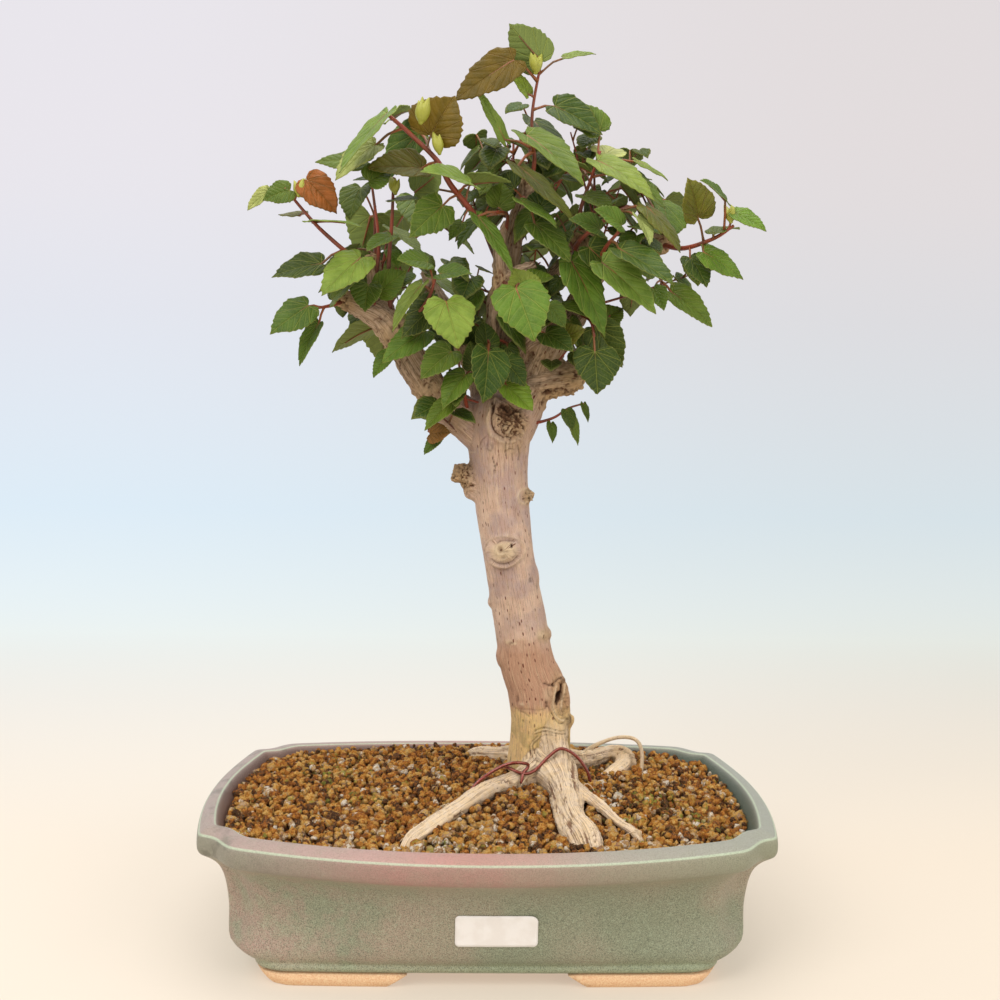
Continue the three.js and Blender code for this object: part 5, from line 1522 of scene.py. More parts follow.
@dataclass
class Pot:
    """The oblong pot: bowed rim with stepped corners, thick lip, tucked-in wall, plinth and four feet."""

    length: float = 320.0
    depth: float = 240.0
    rim_sag: float = 3.0
    sag_between: Plan = (50.0, 66.0)
    back_drop: float = 0.37
    back_drop_above: float = 70.0
    back_drop_from_y: float = -60.0
    back_drop_reach: float = 110.0
    side_bow: float = 9.0
    side_arc_end: float = 83.0
    side_middle: float = 42.0
    long_arc_end: float = 129.0
    long_middle: float = 90.0
    long_bow: float = 17.5
    long_bow_power: float = 2.2
    base_underside: float = 6.0
    plinth_top: float = 11.0
    stepped_above: float = 30.0
    foot_inner_x: float = 52.0
    foot_ramp: float = 9.0
    foot_back_y: float = 46.0
    foot_rows: tuple[Point, ...] = (
        (0.0, 42.4, 28.6), (0.9, 41.2, 27.7), (3.2, 39.4, 27.0), (7.0, 37.2, 26.6),
    )
    drain_x: float = 60.0
    drain_radius: float = 10.0
    plinth: tuple[Plan, ...] = (
        (1.0, 0.0), (0.995, 0.42), (0.985, 0.8), (0.972, 0.88), (0.935, 0.95), (0.87, 0.985), (0.6, 0.995),
        (0.3, 1.0), (0.0, 1.0),
    )
    corner: tuple[Point, ...] = (
        (2.10, 150.6, 84.3), (2.45, 147.6, 85.7), (2.90, 143.8, 86.9), (3.30, 141.0, 89.2),
        (3.70, 138.4, 92.4), (4.10, 136.0, 96.0), (4.50, 133.2, 99.6), (4.85, 130.2, 101.9),
    )
    outer: tuple[Point, ...] = (
        (6.0, 36.5, 26.5), (9.5, 35.9, 25.9), (11.0, 35.6, 25.7), (11.7, 34.2, 26.4), (12.7, 30.6, 26.4),
        (14.8, 25.2, 24.1), (18.0, 19.8, 21.6), (24.0, 17.2, 20.0), (34.0, 15.6, 18.6), (46.0, 14.0, 17.0),
        (52.5, 12.6, 15.3), (58.2, 10.4, 12.3), (62.5, 6.6, 8.0), (65.2, 2.9, 3.5), (66.6, 1.1, 1.3),
        (68.8, 0.2, 0.2), (71.6, 0.0, 0.0), (75.4, 0.2, 0.2), (77.0, 0.9, 0.9),
    )
    lip_top: tuple[Point, ...] = ((77.8, 2.1, 2.2), (79.1, 4.5, 5.5), (79.9, 7.3, 10.6))
    inner: tuple[Point, ...] = (
        (79.6, 8.6, 12.4), (78.0, 9.5, 13.5), (72.0, 12.2, 15.8), (60.0, 17.6, 20.2), (44.0, 21.0, 23.4),
        (28.0, 24.0, 26.0), (18.0, 32.0, 30.0), (14.0, 42.0, 38.0),
    )
    # Where the lip's face starts, where its top starts and where that ends, on the attribute profile
    FACE_STARTS = 0.47
    LIP_STARTS = 0.625
    LIP_ENDS = 0.755

    def quarter(self) -> list[Point]:
        """Returns the rim's plan in one quarter.

        Returns:
            Rows of place along the nine plinth points, half-length share and half-depth share.
        """
        rows = []
        for y in (0.0, 14.0, 28.0, 42.0, 56.0, 68.0, 76.0, 81.0):
            along = y / self.side_middle
            if y > self.side_middle:
                along = 1 + (y - self.side_middle) / (self.side_arc_end - self.side_middle)
            rows.append((along, self.length / 2 - self.side_bow * (y / self.side_arc_end) ** 2, y))
        rows += self.corner
        for x in (126.0, 118.0, 104.0, 90.0, 75.0, 60.0, 45.0, 30.0, 15.0, 0.0):
            along = 5 + (self.long_arc_end - x) / (self.long_arc_end - self.long_middle)
            if x < self.long_middle:
                along = 6 + (self.long_middle - x) / (self.long_middle / 2)
            y = self.depth / 2 - self.long_bow * (x / self.long_arc_end) ** self.long_bow_power
            rows.append((along, x, y))
        return [(t, x * 2 / self.length, y * 2 / self.depth) for t, x, y in rows]

    def outline(self) -> Rows:
        """Returns the rim's and the plinth's shares side by side, counterclockwise from the right."""
        quarter = []
        for along, x, y in self.quarter():
            number = min(int(along), 7)
            (ax, ay), (bx, by) = self.plinth[number], self.plinth[number + 1]
            quarter.append((x, y, lerp(ax, bx, along - number), lerp(ay, by, along - number)))
        back = quarter[-2::-1]
        whole = quarter + [(-x, y, -px, py) for x, y, px, py in back]
        whole += [(-x, -y, -px, -py) for x, y, px, py in quarter[1:]]
        return whole + [(x, -y, px, -py) for x, y, px, py in back[:-1]]

    def ring(self, height: float, inset_x: float, inset_y: float) -> list[Vector]:
        """Returns the pot's outline at a height, in metres.

        Args:
            height: The height where the rim doesn't sag.
            inset_x: How far the ring stands in from the pot's ends.
            inset_y: How far it stands in from the long faces.

        Returns:
            The ring's points, counterclockwise.
        """
        stepped = clamp((height - self.plinth_top) / (self.stepped_above - self.plinth_top))
        sag = self.rim_sag * smoothstep(height, *self.sag_between)
        over = max(0.0, height - self.back_drop_above)
        points = []
        for rim_x, rim_y, base_x, base_y in self.outline():
            wide = lerp(base_x, rim_x, stepped)
            x = wide * (self.length / 2 - inset_x)
            y = lerp(base_y, rim_y, stepped) * (self.depth / 2 - inset_y)
            back = clamp((y - self.back_drop_from_y) / self.back_drop_reach) * over * self.back_drop
            points.append(Vector((x, y, height - back - sag * (1 - wide**2))) * MM)
        return points

    def shell(self) -> Mesh:
        """Extrudes the wall from the base over the lip to the floor, and closes both ends.

        Returns:
            The closed shell with its attribute profile, from 0 at the base to 1 on the floor.
        """
        rows = (*self.outer, *self.lip_top, *self.inner)
        work = bmesh.new()
        profile = work.verts.layers.float.new("profile")
        made = stack_rings(work, [self.ring(*row) for row in rows])
        for number, ring in enumerate(made):
            for vert in ring:
                vert[profile] = number / (len(rows) - 1)
        close_ring(work, made[0], Vector())
        close_ring(work, made[-1], Vector())[profile] = 1.0
        bmesh.ops.recalc_face_normals(work, faces=work.faces)
        return own_mesh("shell", work)

    def drained(self, shell: Mesh) -> Mesh:
        """Smooths the shell and drills its two drain holes.

        Args:
            shell: The shell.

        Returns:
            The drilled mesh.
        """
        smooth = baked(shell, {"type": "SUBSURF", "levels": 1, "render_levels": 1})
        work = bmesh.new()
        for sign in (-1, 1):
            bore = bmesh.ops.create_cone(
                work,
                cap_ends=True,
                segments=40,
                radius1=self.drain_radius * MM,
                radius2=self.drain_radius * MM,
                depth=0.04,
            )
            bmesh.ops.translate(work, verts=bore["verts"], vec=(sign * self.drain_x * MM, 0, 0.01))
        bores = add_to_scene(bpy.data.objects.new("bores", own_mesh("bores", work)))
        cut = {"type": "BOOLEAN", "operation": "DIFFERENCE", "object": bores, "solver": "EXACT"}
        drilled = baked(smooth, cut)
        bpy.data.objects.remove(bores)
        return drilled

    def feet(self) -> Mesh:
        """Cuts the four feet out of a band under the plinth.

        Returns:
            The feet as closed shells.
        """
        rise = Vector((2 * self.base_underside, 0, self.foot_ramp * 2)).normalized()
        feet = []
        for sign_x in (-1, 1):
            for sign_y in (-1, 1):
                work = bmesh.new()
                work.verts.layers.float.new("profile")
                made = stack_rings(work, [self.ring(*row) for row in self.foot_rows])
                close_ring(work, made[0], Vector())
                close_ring(work, made[-1], Vector())
                ramp = Vector((-sign_x * rise.x, 0, -rise.z))
                cuts = [
                    (Vector((sign_x * self.foot_inner_x * MM, 0, 0)), ramp),
                    (Vector((0, sign_y * self.foot_back_y * MM, 0)), Vector((0, -sign_y, 0))),
                ]
                for spot, away in cuts:
                    whole = work.verts[:] + work.edges[:] + work.faces[:]
                    cut = bmesh.ops.bisect_plane(
                        work, geom=whole, dist=1e-6, plane_co=spot, plane_no=away, clear_outer=True
                    )
                    rim = [e for e in cut["geom_cut"] if isinstance(e, BMEdge)]
                    bmesh.ops.holes_fill(work, edges=rim, sides=0)
                bmesh.ops.recalc_face_normals(work, faces=work.faces)
                feet.append(own_mesh("foot", work))
        return joined_mesh("feet", feet)

    def build(self, material: Material) -> Object:
        """Builds the whole pot.

        Args:
            material: The glaze.

        Returns:
            The piece, which stands for the CAD pot.
        """
        mesh = joined_mesh("pot", [self.drained(self.shell()), self.feet()])
        return finished("glazed_pot", mesh, material, ["pot"])

    def wall_at(self, x: float, z: float) -> float:
        """Finds how far back the front wall's face stands.

        Args:
            x: The place along the pot's length in millimetres.
            z: The height in millimetres.

        Returns:
            The wall's y in millimetres.
        """
        upper = next(i for i, row in enumerate(self.outer) if row[0] > z)
        below, above = self.outer[upper - 1], self.outer[upper]
        share = (z - below[0]) / (above[0] - below[0])
        front = [a.lerp(b, share) / MM for a, b in zip(self.ring(*below), self.ring(*above)) if a.y < 0]
        right = next(i for i, point in enumerate(front) if point.x > x)
        near, far = front[right - 1], front[right]
        return lerp(near.y, far.y, (x - near.x) / (far.x - near.x))


@dataclass
class Label:
    """The blank paper sticker on the front wall, with round corners and one corner worn away."""

    pot: Pot
    left: float = -17.0
    right: float = 25.0
    bottom: float = 25.5
    top: float = 42.5
    corner: float = 2.2
    worn: float = 3.4
    curl: float = 0.9
    thickness: float = 0.3
    gap: float = 0.25

    def build(self, material: Material) -> Object:
        """Builds the sticker along the wall.

        Args:
            material: The paper.

        Returns:
            The piece.
        """
        work = bmesh.new()
        bmesh.ops.create_grid(work, x_segments=30, y_segments=12, size=0.5)
        wide, tall = self.right - self.left, self.top - self.bottom
        middle = Vector(((self.left + self.right) / 2, 0, (self.top + self.bottom) / 2))
        cuts = [(1, 1, self.worn), (1, -1, self.corner), (-1, 1, self.corner), (-1, -1, self.corner)]
        for vert in work.verts:
            vert.co = Vector((vert.co.x * wide, vert.co.y * tall, 0))
        for sign_x, sign_y, cut in cuts:
            for degrees, reach in ((22.0, 0.42), (45.0, 0.56), (68.0, 0.42)):
                turn = math.radians(degrees)
                away = Vector((sign_x * math.cos(turn), sign_y * math.sin(turn), 0))
                corner = Vector((sign_x * wide / 2, sign_y * tall / 2, 0))
                spot = corner - away * cut * reach * 0.75
                whole = work.verts[:] + work.edges[:] + work.faces[:]
                bmesh.ops.bisect_plane(work, geom=whole, plane_co=spot, plane_no=away, clear_outer=True)
        bmesh.ops.solidify(work, geom=work.faces[:], thickness=self.thickness)
        depth = min(v.co.z for v in work.verts)
        for vert in work.verts:
            x, z = vert.co.x + middle.x, vert.co.y + middle.z
            lift = self.thickness if vert.co.z > depth + 0.01 else 0.0
            aside = smoothstep(x, self.right - 7, self.right)
            curl = self.curl * aside * smoothstep(z, self.top - 6, self.top)
            y = self.pot.wall_at(x, z) - self.gap - lift - curl
            vert.co = Vector((x, y, z)) * MM
        bmesh.ops.recalc_face_normals(work, faces=work.faces)
        return finished("paper_label", own_mesh("label", work), material, ["label"])


@dataclass
class Nets:
    """The two drain nets, which keep their CAD shape."""

    names: tuple[str, str] = ("drain_net_left", "drain_net_right")

    def dress(self, material: Material) -> None:
        """Gives both nets their plastic.

        Args:
            material: The plastic.
        """
        for name in self.names:
            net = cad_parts[name]
            net.data.materials.clear()
            net.data.materials.append(material)
            LOG.info("%s: material %s", name, material.name)


@dataclass
class Wire:
    """The tie-down wire: its run under the pot, its two ends hooked together over the left root."""

    radius: float = 1.0
    sides: int = 12
    first_hook: tuple[Point, ...] = (
        (20.2, 0.6, 78.6), (20.6, 1.6, 81.5), (21.4, 3.2, 84.6), (23.6, 5.0, 86.4), (24.2, 5.4, 88.6),
        (21.0, 3.6, 90.0), (15.5, 2.4, 90.4), (9.0, 2.6, 88.4),
    )
    last_hook: tuple[Point, ...] = (
        (36.2, 8.4, 92.4), (30.6, 7.2, 86.8), (26.6, 5.4, 84.2), (22.6, 3.4, 83.8), (18.4, 2.4, 84.8),
        (13.8, 4.4, 86.4), (9.4, 6.2, 87.8),
    )

    def build(self, material: Material) -> Object:
        """Builds the wire as one tube.

        Args:
            material: The anodised finish.

        Returns:
            The piece, which stands for the CAD wire.
        """
        rows = [(*spot, self.radius) for spot in (*self.first_hook, *WIRE_ROUTE, *self.last_hook)]
        mesh = tubes_mesh("wire", [Tube(rows, self.sides, step=1.2)])
        return finished("tie_wire", mesh, material, ["wire"])


# Tree


@dataclass(frozen=True)
class Mark:
    """A dent, bump or ring on the wood: its middle, half sizes and height, and how it is coloured."""

    middle: Point
    half: Point
    height: float
    ring: float = 0.0
    # How dark the mark is: a real stain, and in dents and holes painted shade as well
    stain: float = 0.0
    pale: float = 0.0

    def strength(self, points: np.ndarray) -> np.ndarray:
        """Returns how strongly each point is in the mark, from 0 to 1.

        Args:
            points: The places in millimetres.

        Returns:
            A number for each point.
        """
        away = np.linalg.norm((points - np.array(self.middle)) / np.array(self.half), axis=1)
        if self.ring > 0:
            return np.exp(-(((away - 1) / self.ring) ** 2))
        return np.exp(-((away * 1.2) ** 4))


@dataclass(frozen=True)
class Fold:
    """A fold, groove or crack on the wood's front: its line as x and z, half width, height and colour."""

    line: tuple[Plan, ...]
    width: float
    height: float
    # How dark the line is: a real stain, and in grooves painted shade as well
    stain: float = 0.0
    pale: float = 0.0

    def strength(self, points: np.ndarray, front: np.ndarray) -> np.ndarray:
        """Returns how strongly each point is on the line, from 0 to 1.

        Args:
            points: The places in millimetres.
            front: How much each place looks to the front, from 0 to 1.

        Returns:
            A number for each point.
        """
        spots = np.array(through([(x, z, 0.0) for x, z in self.line], 0.4))[:, :2]
        low, high = spots.min(axis=0) - 3 * self.width, spots.max(axis=0) + 3 * self.width
        flat = points[:, [0, 2]]
        near = np.nonzero(((flat > low) & (flat < high)).all(axis=1) & (front > 0))[0]
        result = np.zeros(len(points))
        if len(near):
            gaps = np.linalg.norm(flat[near][:, None] - spots[None], axis=2).min(axis=1)
            result[near] = np.exp(-((gaps / self.width) ** 2)) * front[near]
        return result


MARKS: list[Mark] = [
    # The ringed knot on the front: dish, hole with its rim, notch and stained spots
    Mark((8.5, 15.0, 214.0), (9.6, 9.0, 7.4), 0.7, pale=0.75),
    Mark((6.3, 13.0, 215.0), (2.4, 8.0, 2.9), 0.7, ring=0.28, pale=0.9),
    Mark((6.3, 13.0, 215.0), (1.4, 6.0, 2.0), -2.2, stain=0.32),
    Mark((12.6, 15.0, 217.6), (0.9, 6.0, 1.8), -1.9, stain=0.95),
    Mark((8.8, 14.0, 210.6), (2.6, 6.0, 1.1), -0.4, stain=0.35),
    Mark((9.6, 14.0, 214.2), (2.2, 6.0, 0.8), -0.5, stain=0.2),
    # The oval scar under the fork, the sunken burl in it and the burl's ringed knots
    # The burl's whole dip is darkened a little: painted shade in the hollow
    Mark((9.5, 14.0, 291.0), (10.5, 9.0, 10.5), -1.2, stain=0.25),
    Mark((-0.4, 14.5, 276.5), (2.6, 5.0, 3.4), 0.8, ring=0.22, stain=0.4),
    Mark((-0.4, 14.5, 276.5), (1.5, 5.0, 2.2), -0.9, stain=0.5),
    Mark((0.2, 13.0, 299.5), (1.5, 7.0, 5.5), -2.4, stain=1.0),
    Mark((8.6, 12.0, 286.3), (2.3, 5.0, 2.1), 1.0, ring=0.30, pale=0.55),
    Mark((8.6, 12.0, 286.3), (1.0, 5.0, 0.9), 0.5, pale=0.8),
    Mark((8.6, 12.0, 286.3), (3.4, 5.0, 3.2), -0.6, ring=0.16, stain=0.45),
    Mark((3.4, 12.5, 292.0), (1.7, 5.0, 2.0), 0.8, ring=0.35, stain=0.2),
    Mark((3.4, 12.5, 292.0), (0.8, 5.0, 1.0), -0.9, stain=0.8),
    Mark((14.5, 12.0, 294.0), (1.1, 5.0, 1.6), -1.2, stain=0.85),
    Mark((19.0, 14.0, 287.0), (0.9, 6.0, 1.8), -1.0, stain=0.7),
    Mark((21.5, 15.0, 293.5), (0.9, 6.0, 1.0), -0.9, stain=0.8),
    # Old cuts and bulges down the trunk
    Mark((13.5, 20.0, 158.0), (2.4, 6.0, 1.0), 0.7, ring=0.35, pale=0.9),
    Mark((13.5, 20.0, 158.0), (1.4, 6.0, 0.4), -0.5, stain=0.55),
    Mark((7.6, 32.0, 147.0), (4.0, 9.0, 7.0), 1.7),
    Mark((32.0, 22.0, 163.0), (4.5, 7.0, 3.6), 0.5, pale=0.55),
    Mark((31.0, 30.0, 201.0), (4.0, 9.0, 9.0), 1.7),
    Mark((29.5, 24.0, 193.0), (1.4, 6.0, 6.0), -0.8, stain=0.55),
    Mark((24.6, 20.0, 196.5), (1.9, 6.0, 1.9), -0.4, stain=0.7),
    Mark((17.8, 21.0, 123.0), (1.3, 5.0, 4.5), -0.9, stain=0.8),
    Mark((20.5, 20.0, 120.5), (2.0, 5.0, 1.4), 0.7, pale=0.7),
    Mark((21.5, 20.0, 110.5), (1.1, 5.0, 1.2), -0.5, stain=0.75),
    # The wound low on the right: hollow, dark top, pale cheek and dark knob below
    Mark((43.0, 25.0, 125.0), (1.8, 7.0, 3.2), -3.0, stain=1.0),
    Mark((46.0, 27.0, 134.5), (2.6, 7.0, 3.0), 1.2, stain=0.8),
    Mark((39.8, 24.0, 132.0), (1.2, 6.0, 1.8), -0.8, stain=0.85),
    Mark((36.0, 23.0, 126.5), (3.6, 7.0, 5.4), 0.6, pale=0.35),
    Mark((50.0, 28.0, 110.0), (3.6, 6.0, 4.6), 1.1, stain=0.75),
    Mark((51.0, 26.0, 111.0), (1.4, 5.0, 1.6), -1.3, stain=0.9),
    # Hollow spots and ringed ends on the limbs
    Mark((32.8, 23.0, 308.0), (2.6, 7.0, 2.0), -2.6, stain=1.0),
    Mark((30.5, 22.0, 302.0), (1.0, 7.0, 2.6), -1.6, stain=0.8),
    Mark((36.0, 22.0, 302.5), (1.6, 7.0, 1.2), -1.2, stain=0.8),
    Mark((40.0, 21.5, 320.0), (3.0, 6.0, 1.6), -1.2, stain=0.7),
    Mark((-19.5, 19.0, 262.0), (2.0, 6.0, 2.2), 0.9, ring=0.30, stain=0.3),
    Mark((-19.5, 19.0, 262.0), (0.8, 6.0, 1.0), -1.2, stain=0.9),
    Mark((-15.6, 18.0, 261.5), (0.9, 6.0, 1.6), -1.2, stain=0.85),
    Mark((-11.5, 19.0, 252.0), (2.6, 6.0, 1.0), -0.9, stain=0.6),
    Mark((-19.5, 26.0, 250.0), (7.0, 18.0, 6.0), -4.2),
    Mark((-22.5, 27.0, 265.5), (5.0, 12.0, 5.0), 3.0),
    Mark((20.0, 20.0, 246.5), (4.4, 10.0, 4.4), 0.9, ring=0.22, pale=0.5),
    Mark((21.0, 20.0, 248.4), (0.8, 7.0, 1.3), -1.1, stain=0.9),
    Mark((23.6, 22.0, 245.0), (0.8, 7.0, 1.0), -1.0, stain=0.9),
    Mark((19.6, 20.0, 245.0), (0.7, 7.0, 0.8), -0.8, stain=0.8),
    Mark((22.0, 21.0, 242.0), (1.2, 7.0, 0.7), -0.7, stain=0.7),
]

FOLDS: list[Fold] = [
    # The burl in the fork
    Fold(
        ((2, 303.5), (-2, 295.5), (-2.5, 288.5), (0, 282.5), (5.5, 279.5), (8.5, 275.5)),
        1.28, 1.6, pale=0.3,
    ),
    Fold(((2.5, 303), (0, 298), (-0.6, 292.5), (0, 287.5), (2.6, 284), (7, 281.6)), 0.5, -1.4, stain=0.6),
    # A dark dip at the burl's top: carved, and darkened as the painted shadow of the leaf above it
    Fold(((6.5, 300.5), (9, 299)), 1.84, -2.4, stain=0.95),
    Fold(((2, 295.5), (8, 293), (11.5, 291), (15, 291.5), (18.5, 288)), 0.46, -1.3, stain=0.6),
    Fold(((9, 292.5), (12, 296.5), (16, 297), (17.5, 294.5)), 0.46, -1.2, stain=0.55),
    Fold(((8, 282), (11.5, 281.5), (13.5, 282.5)), 0.37, -0.9, stain=0.8),
    Fold(((12, 286), (14.5, 289), (16.5, 286)), 0.37, -0.8, stain=0.6),
    Fold(((3, 279.5), (9, 278.5), (15, 280.5), (18.5, 284.5)), 0.56, 0.8, pale=0.35),
    # Cracks and seams under the fork
    Fold(((7.5, 279), (8, 273.5), (8.5, 271)), 0.37, -1.0, stain=0.95),
    Fold(((10, 275), (13.5, 274.5)), 0.34, -0.7, stain=0.7),
    Fold(((12, 272.5), (12.5, 268)), 0.31, -0.5, stain=0.6),
    Fold(((15.5, 277), (16.5, 272), (16, 268.5)), 0.37, -0.7, stain=0.75),
    Fold(((0.5, 270), (2, 263.5), (1.5, 260)), 0.31, -0.8, stain=0.95),
    Fold(((-4, 281.5), (-6, 279.5), (-7, 276)), 0.34, -0.6, stain=0.45),
    Fold(((-14.5, 272), (-9.5, 272.5)), 0.5, 0.6, pale=0.4),
    # The ringed knot: its collar, the grooves in it and its folds
    Fold(
        (
            (-2, 214), (-1, 218), (3, 221.5), (9, 223), (15.5, 221.5), (19, 218), (20.5, 214.5),
            (18.5, 210.5), (13.5, 206.5), (8, 205), (1.5, 206.5), (-1.5, 210.5), (-2, 214),
        ), 1.2, 1.3, pale=0.25,
    ),
    Fold(((4.5, 219.4), (7.5, 220.5), (11, 220.5), (14, 220)), 0.43, -1.0, stain=0.55),
    Fold(((1.5, 209), (4, 207.2), (8, 206.6), (13, 208), (16, 211)), 0.5, -1.1, stain=0.45),
    Fold(((5, 217.8), (8, 217.6), (11, 218.8), (12, 216.8)), 0.37, 0.7, pale=0.9),
    Fold(((3.5, 209.8), (7, 209.2), (11, 210.8)), 0.37, 0.6, pale=0.8),
    Fold(((13.5, 215), (15, 212.5), (13, 210.5)), 0.37, -0.5, stain=0.25),
    # Ledges where older bark ends
    Fold(((7, 158.5), (13.5, 159.4), (20, 160.5), (25.5, 159)), 0.5, 0.45, pale=0.3),
    Fold(((28, 159), (33, 158.5), (37.5, 159)), 0.34, -0.5, stain=0.3),
    Fold(((17, 117), (24.5, 117.5), (32.5, 117.5), (36.5, 119.5)), 0.5, -0.5, stain=0.25),
    Fold(((18.5, 116.2), (22, 115.4), (25, 113.6)), 0.43, -0.5, stain=0.5),
    # The wound: ragged dark top, slit, and ridges that run down and end at the low knob
    Fold(((34.1, 133.4), (37.7, 132.1), (40.8, 133.4), (43.2, 135.2), (46.2, 135.8)), 0.6, -0.9, stain=0.8),
    Fold(((37.1, 132.6), (35.9, 130.3), (36.5, 126.6), (38.3, 124.1)), 0.4, -0.5, stain=0.35),
    Fold(((45, 132.1), (44.4, 127.8), (43.2, 123.5), (42, 121.6)), 0.85, -2.2, stain=1.0),
    Fold(((46.8, 131.5), (46.2, 126.6), (45, 121.6), (44.4, 117.9)), 0.6, 0.9, pale=0.7),
    Fold(
        ((41.4, 130.9), (40.5, 126.6), (39.3, 121.6), (39.8, 117.3), (42.6, 112.9), (46.2, 110.7)),
        0.7, 0.9, pale=0.7,
    ),
    Fold(((37.1, 119.1), (38.3, 116), (40.8, 112.3), (44.4, 109.9), (48.1, 110.5)), 0.4, -0.9, stain=0.65),
    Fold(((38.9, 122.8), (39.1, 118.9), (41.4, 114.9), (44.6, 112.3), (47.5, 112)), 0.35, -0.8, stain=0.6),
    Fold(((42, 121), (42.4, 117.3), (44.2, 114.5), (46.8, 113.6)), 0.35, -0.8, stain=0.6),
    Fold(((43.9, 120.4), (44.6, 117.3), (46.2, 115)), 0.3, -0.6, stain=0.5),
    Fold(((35.4, 122), (35.9, 119.6)), 0.9, -0.8, stain=0.75),
    # Fine folds where the front root leaves the trunk
    Fold(((28.6, 104.9), (32.3, 106.5), (38.3, 106.8), (44.4, 105.9), (48.1, 105.5)), 0.35, -0.7, stain=0.55),
    Fold(((29.2, 103), (33.5, 104.5), (38.9, 104.9), (45.6, 104), (47.8, 103.7)), 0.32, -0.7, stain=0.5),
    Fold(((31.7, 100.8), (35.9, 102.8), (40.8, 103.3)), 0.3, -0.5, stain=0.4),
    Fold(((30.4, 101.8), (26.2, 96.9), (25.6, 93.1), (27.4, 90), (30.4, 88.8)), 0.35, -0.7, stain=0.55),
    Fold(((31.7, 100.6), (28, 96.9), (27.6, 93.8), (29.2, 91.3), (32.3, 89.2)), 0.32, -0.7, stain=0.5),
    Fold(((33.5, 98.1), (30.4, 95.6), (30.4, 92.5), (32.3, 90.7)), 0.3, -0.5, stain=0.4),
    Fold(((28.9, 104), (33, 105.5), (38.6, 105.9), (45, 105)), 0.4, 0.5, pale=0.5),
    Fold(((31, 101), (27.2, 96.9), (26.6, 93.4), (28.4, 90.6)), 0.4, 0.5, pale=0.5),
]

# Rough spots: their middle, half sizes and how rough they are
RUGGED: list[tuple[Point, Point, float]] = [
    ((10.0, 14.0, 290.0), (11.0, 9.0, 12.0), 2.2), ((13.0, 14.0, 277.0), (11.0, 8.0, 6.0), 0.5),
    ((-36.0, 25.0, 307.0), (12.0, 14.0, 11.0), 1.2), ((-57.0, 21.0, 340.0), (10.0, 12.0, 12.0), 1.2),
    ((30.0, 33.0, 326.0), (10.0, 12.0, 12.0), 1.1), ((-18.0, 27.0, 257.0), (8.5, 13.0, 12.0), 2.2),
    ((-20.0, 27.0, 290.0), (9.0, 12.0, 9.0), 1.3), ((23.5, 25.0, 246.0), (5.0, 9.0, 5.5), 2.2),
    ((8.0, 11.0, 214.0), (8.0, 7.0, 6.0), 0.35), ((33.5, 30.0, 162.0), (5.5, 9.0, 4.5), 0.8),
    ((38.0, 29.0, 306.0), (14.0, 14.0, 10.0), 1.4), ((50.0, 28.0, 316.0), (11.0, 14.0, 10.0), 2.0),
    ((44.0, 27.0, 122.0), (7.0, 10.0, 18.0), 0.6), ((-88.0, 17.0, 361.0), (10.0, 10.0, 9.0), 1.5),
    ((-71.0, 22.0, 383.0), (8.0, 8.0, 9.0), 1.5), ((53.0, 44.0, 400.0), (12.0, 12.0, 12.0), 1.6),
    ((107.0, 51.0, 402.0), (8.0, 10.0, 9.0), 1.6), ((21.0, 32.0, 436.0), (8.0, 9.0, 7.0), 1.4),
    ((0.0, 22.0, 372.0), (8.0, 8.0, 8.0), 1.4), ((88.0, 62.0, 76.0), (12.0, 12.0, 10.0), 0.8),
]


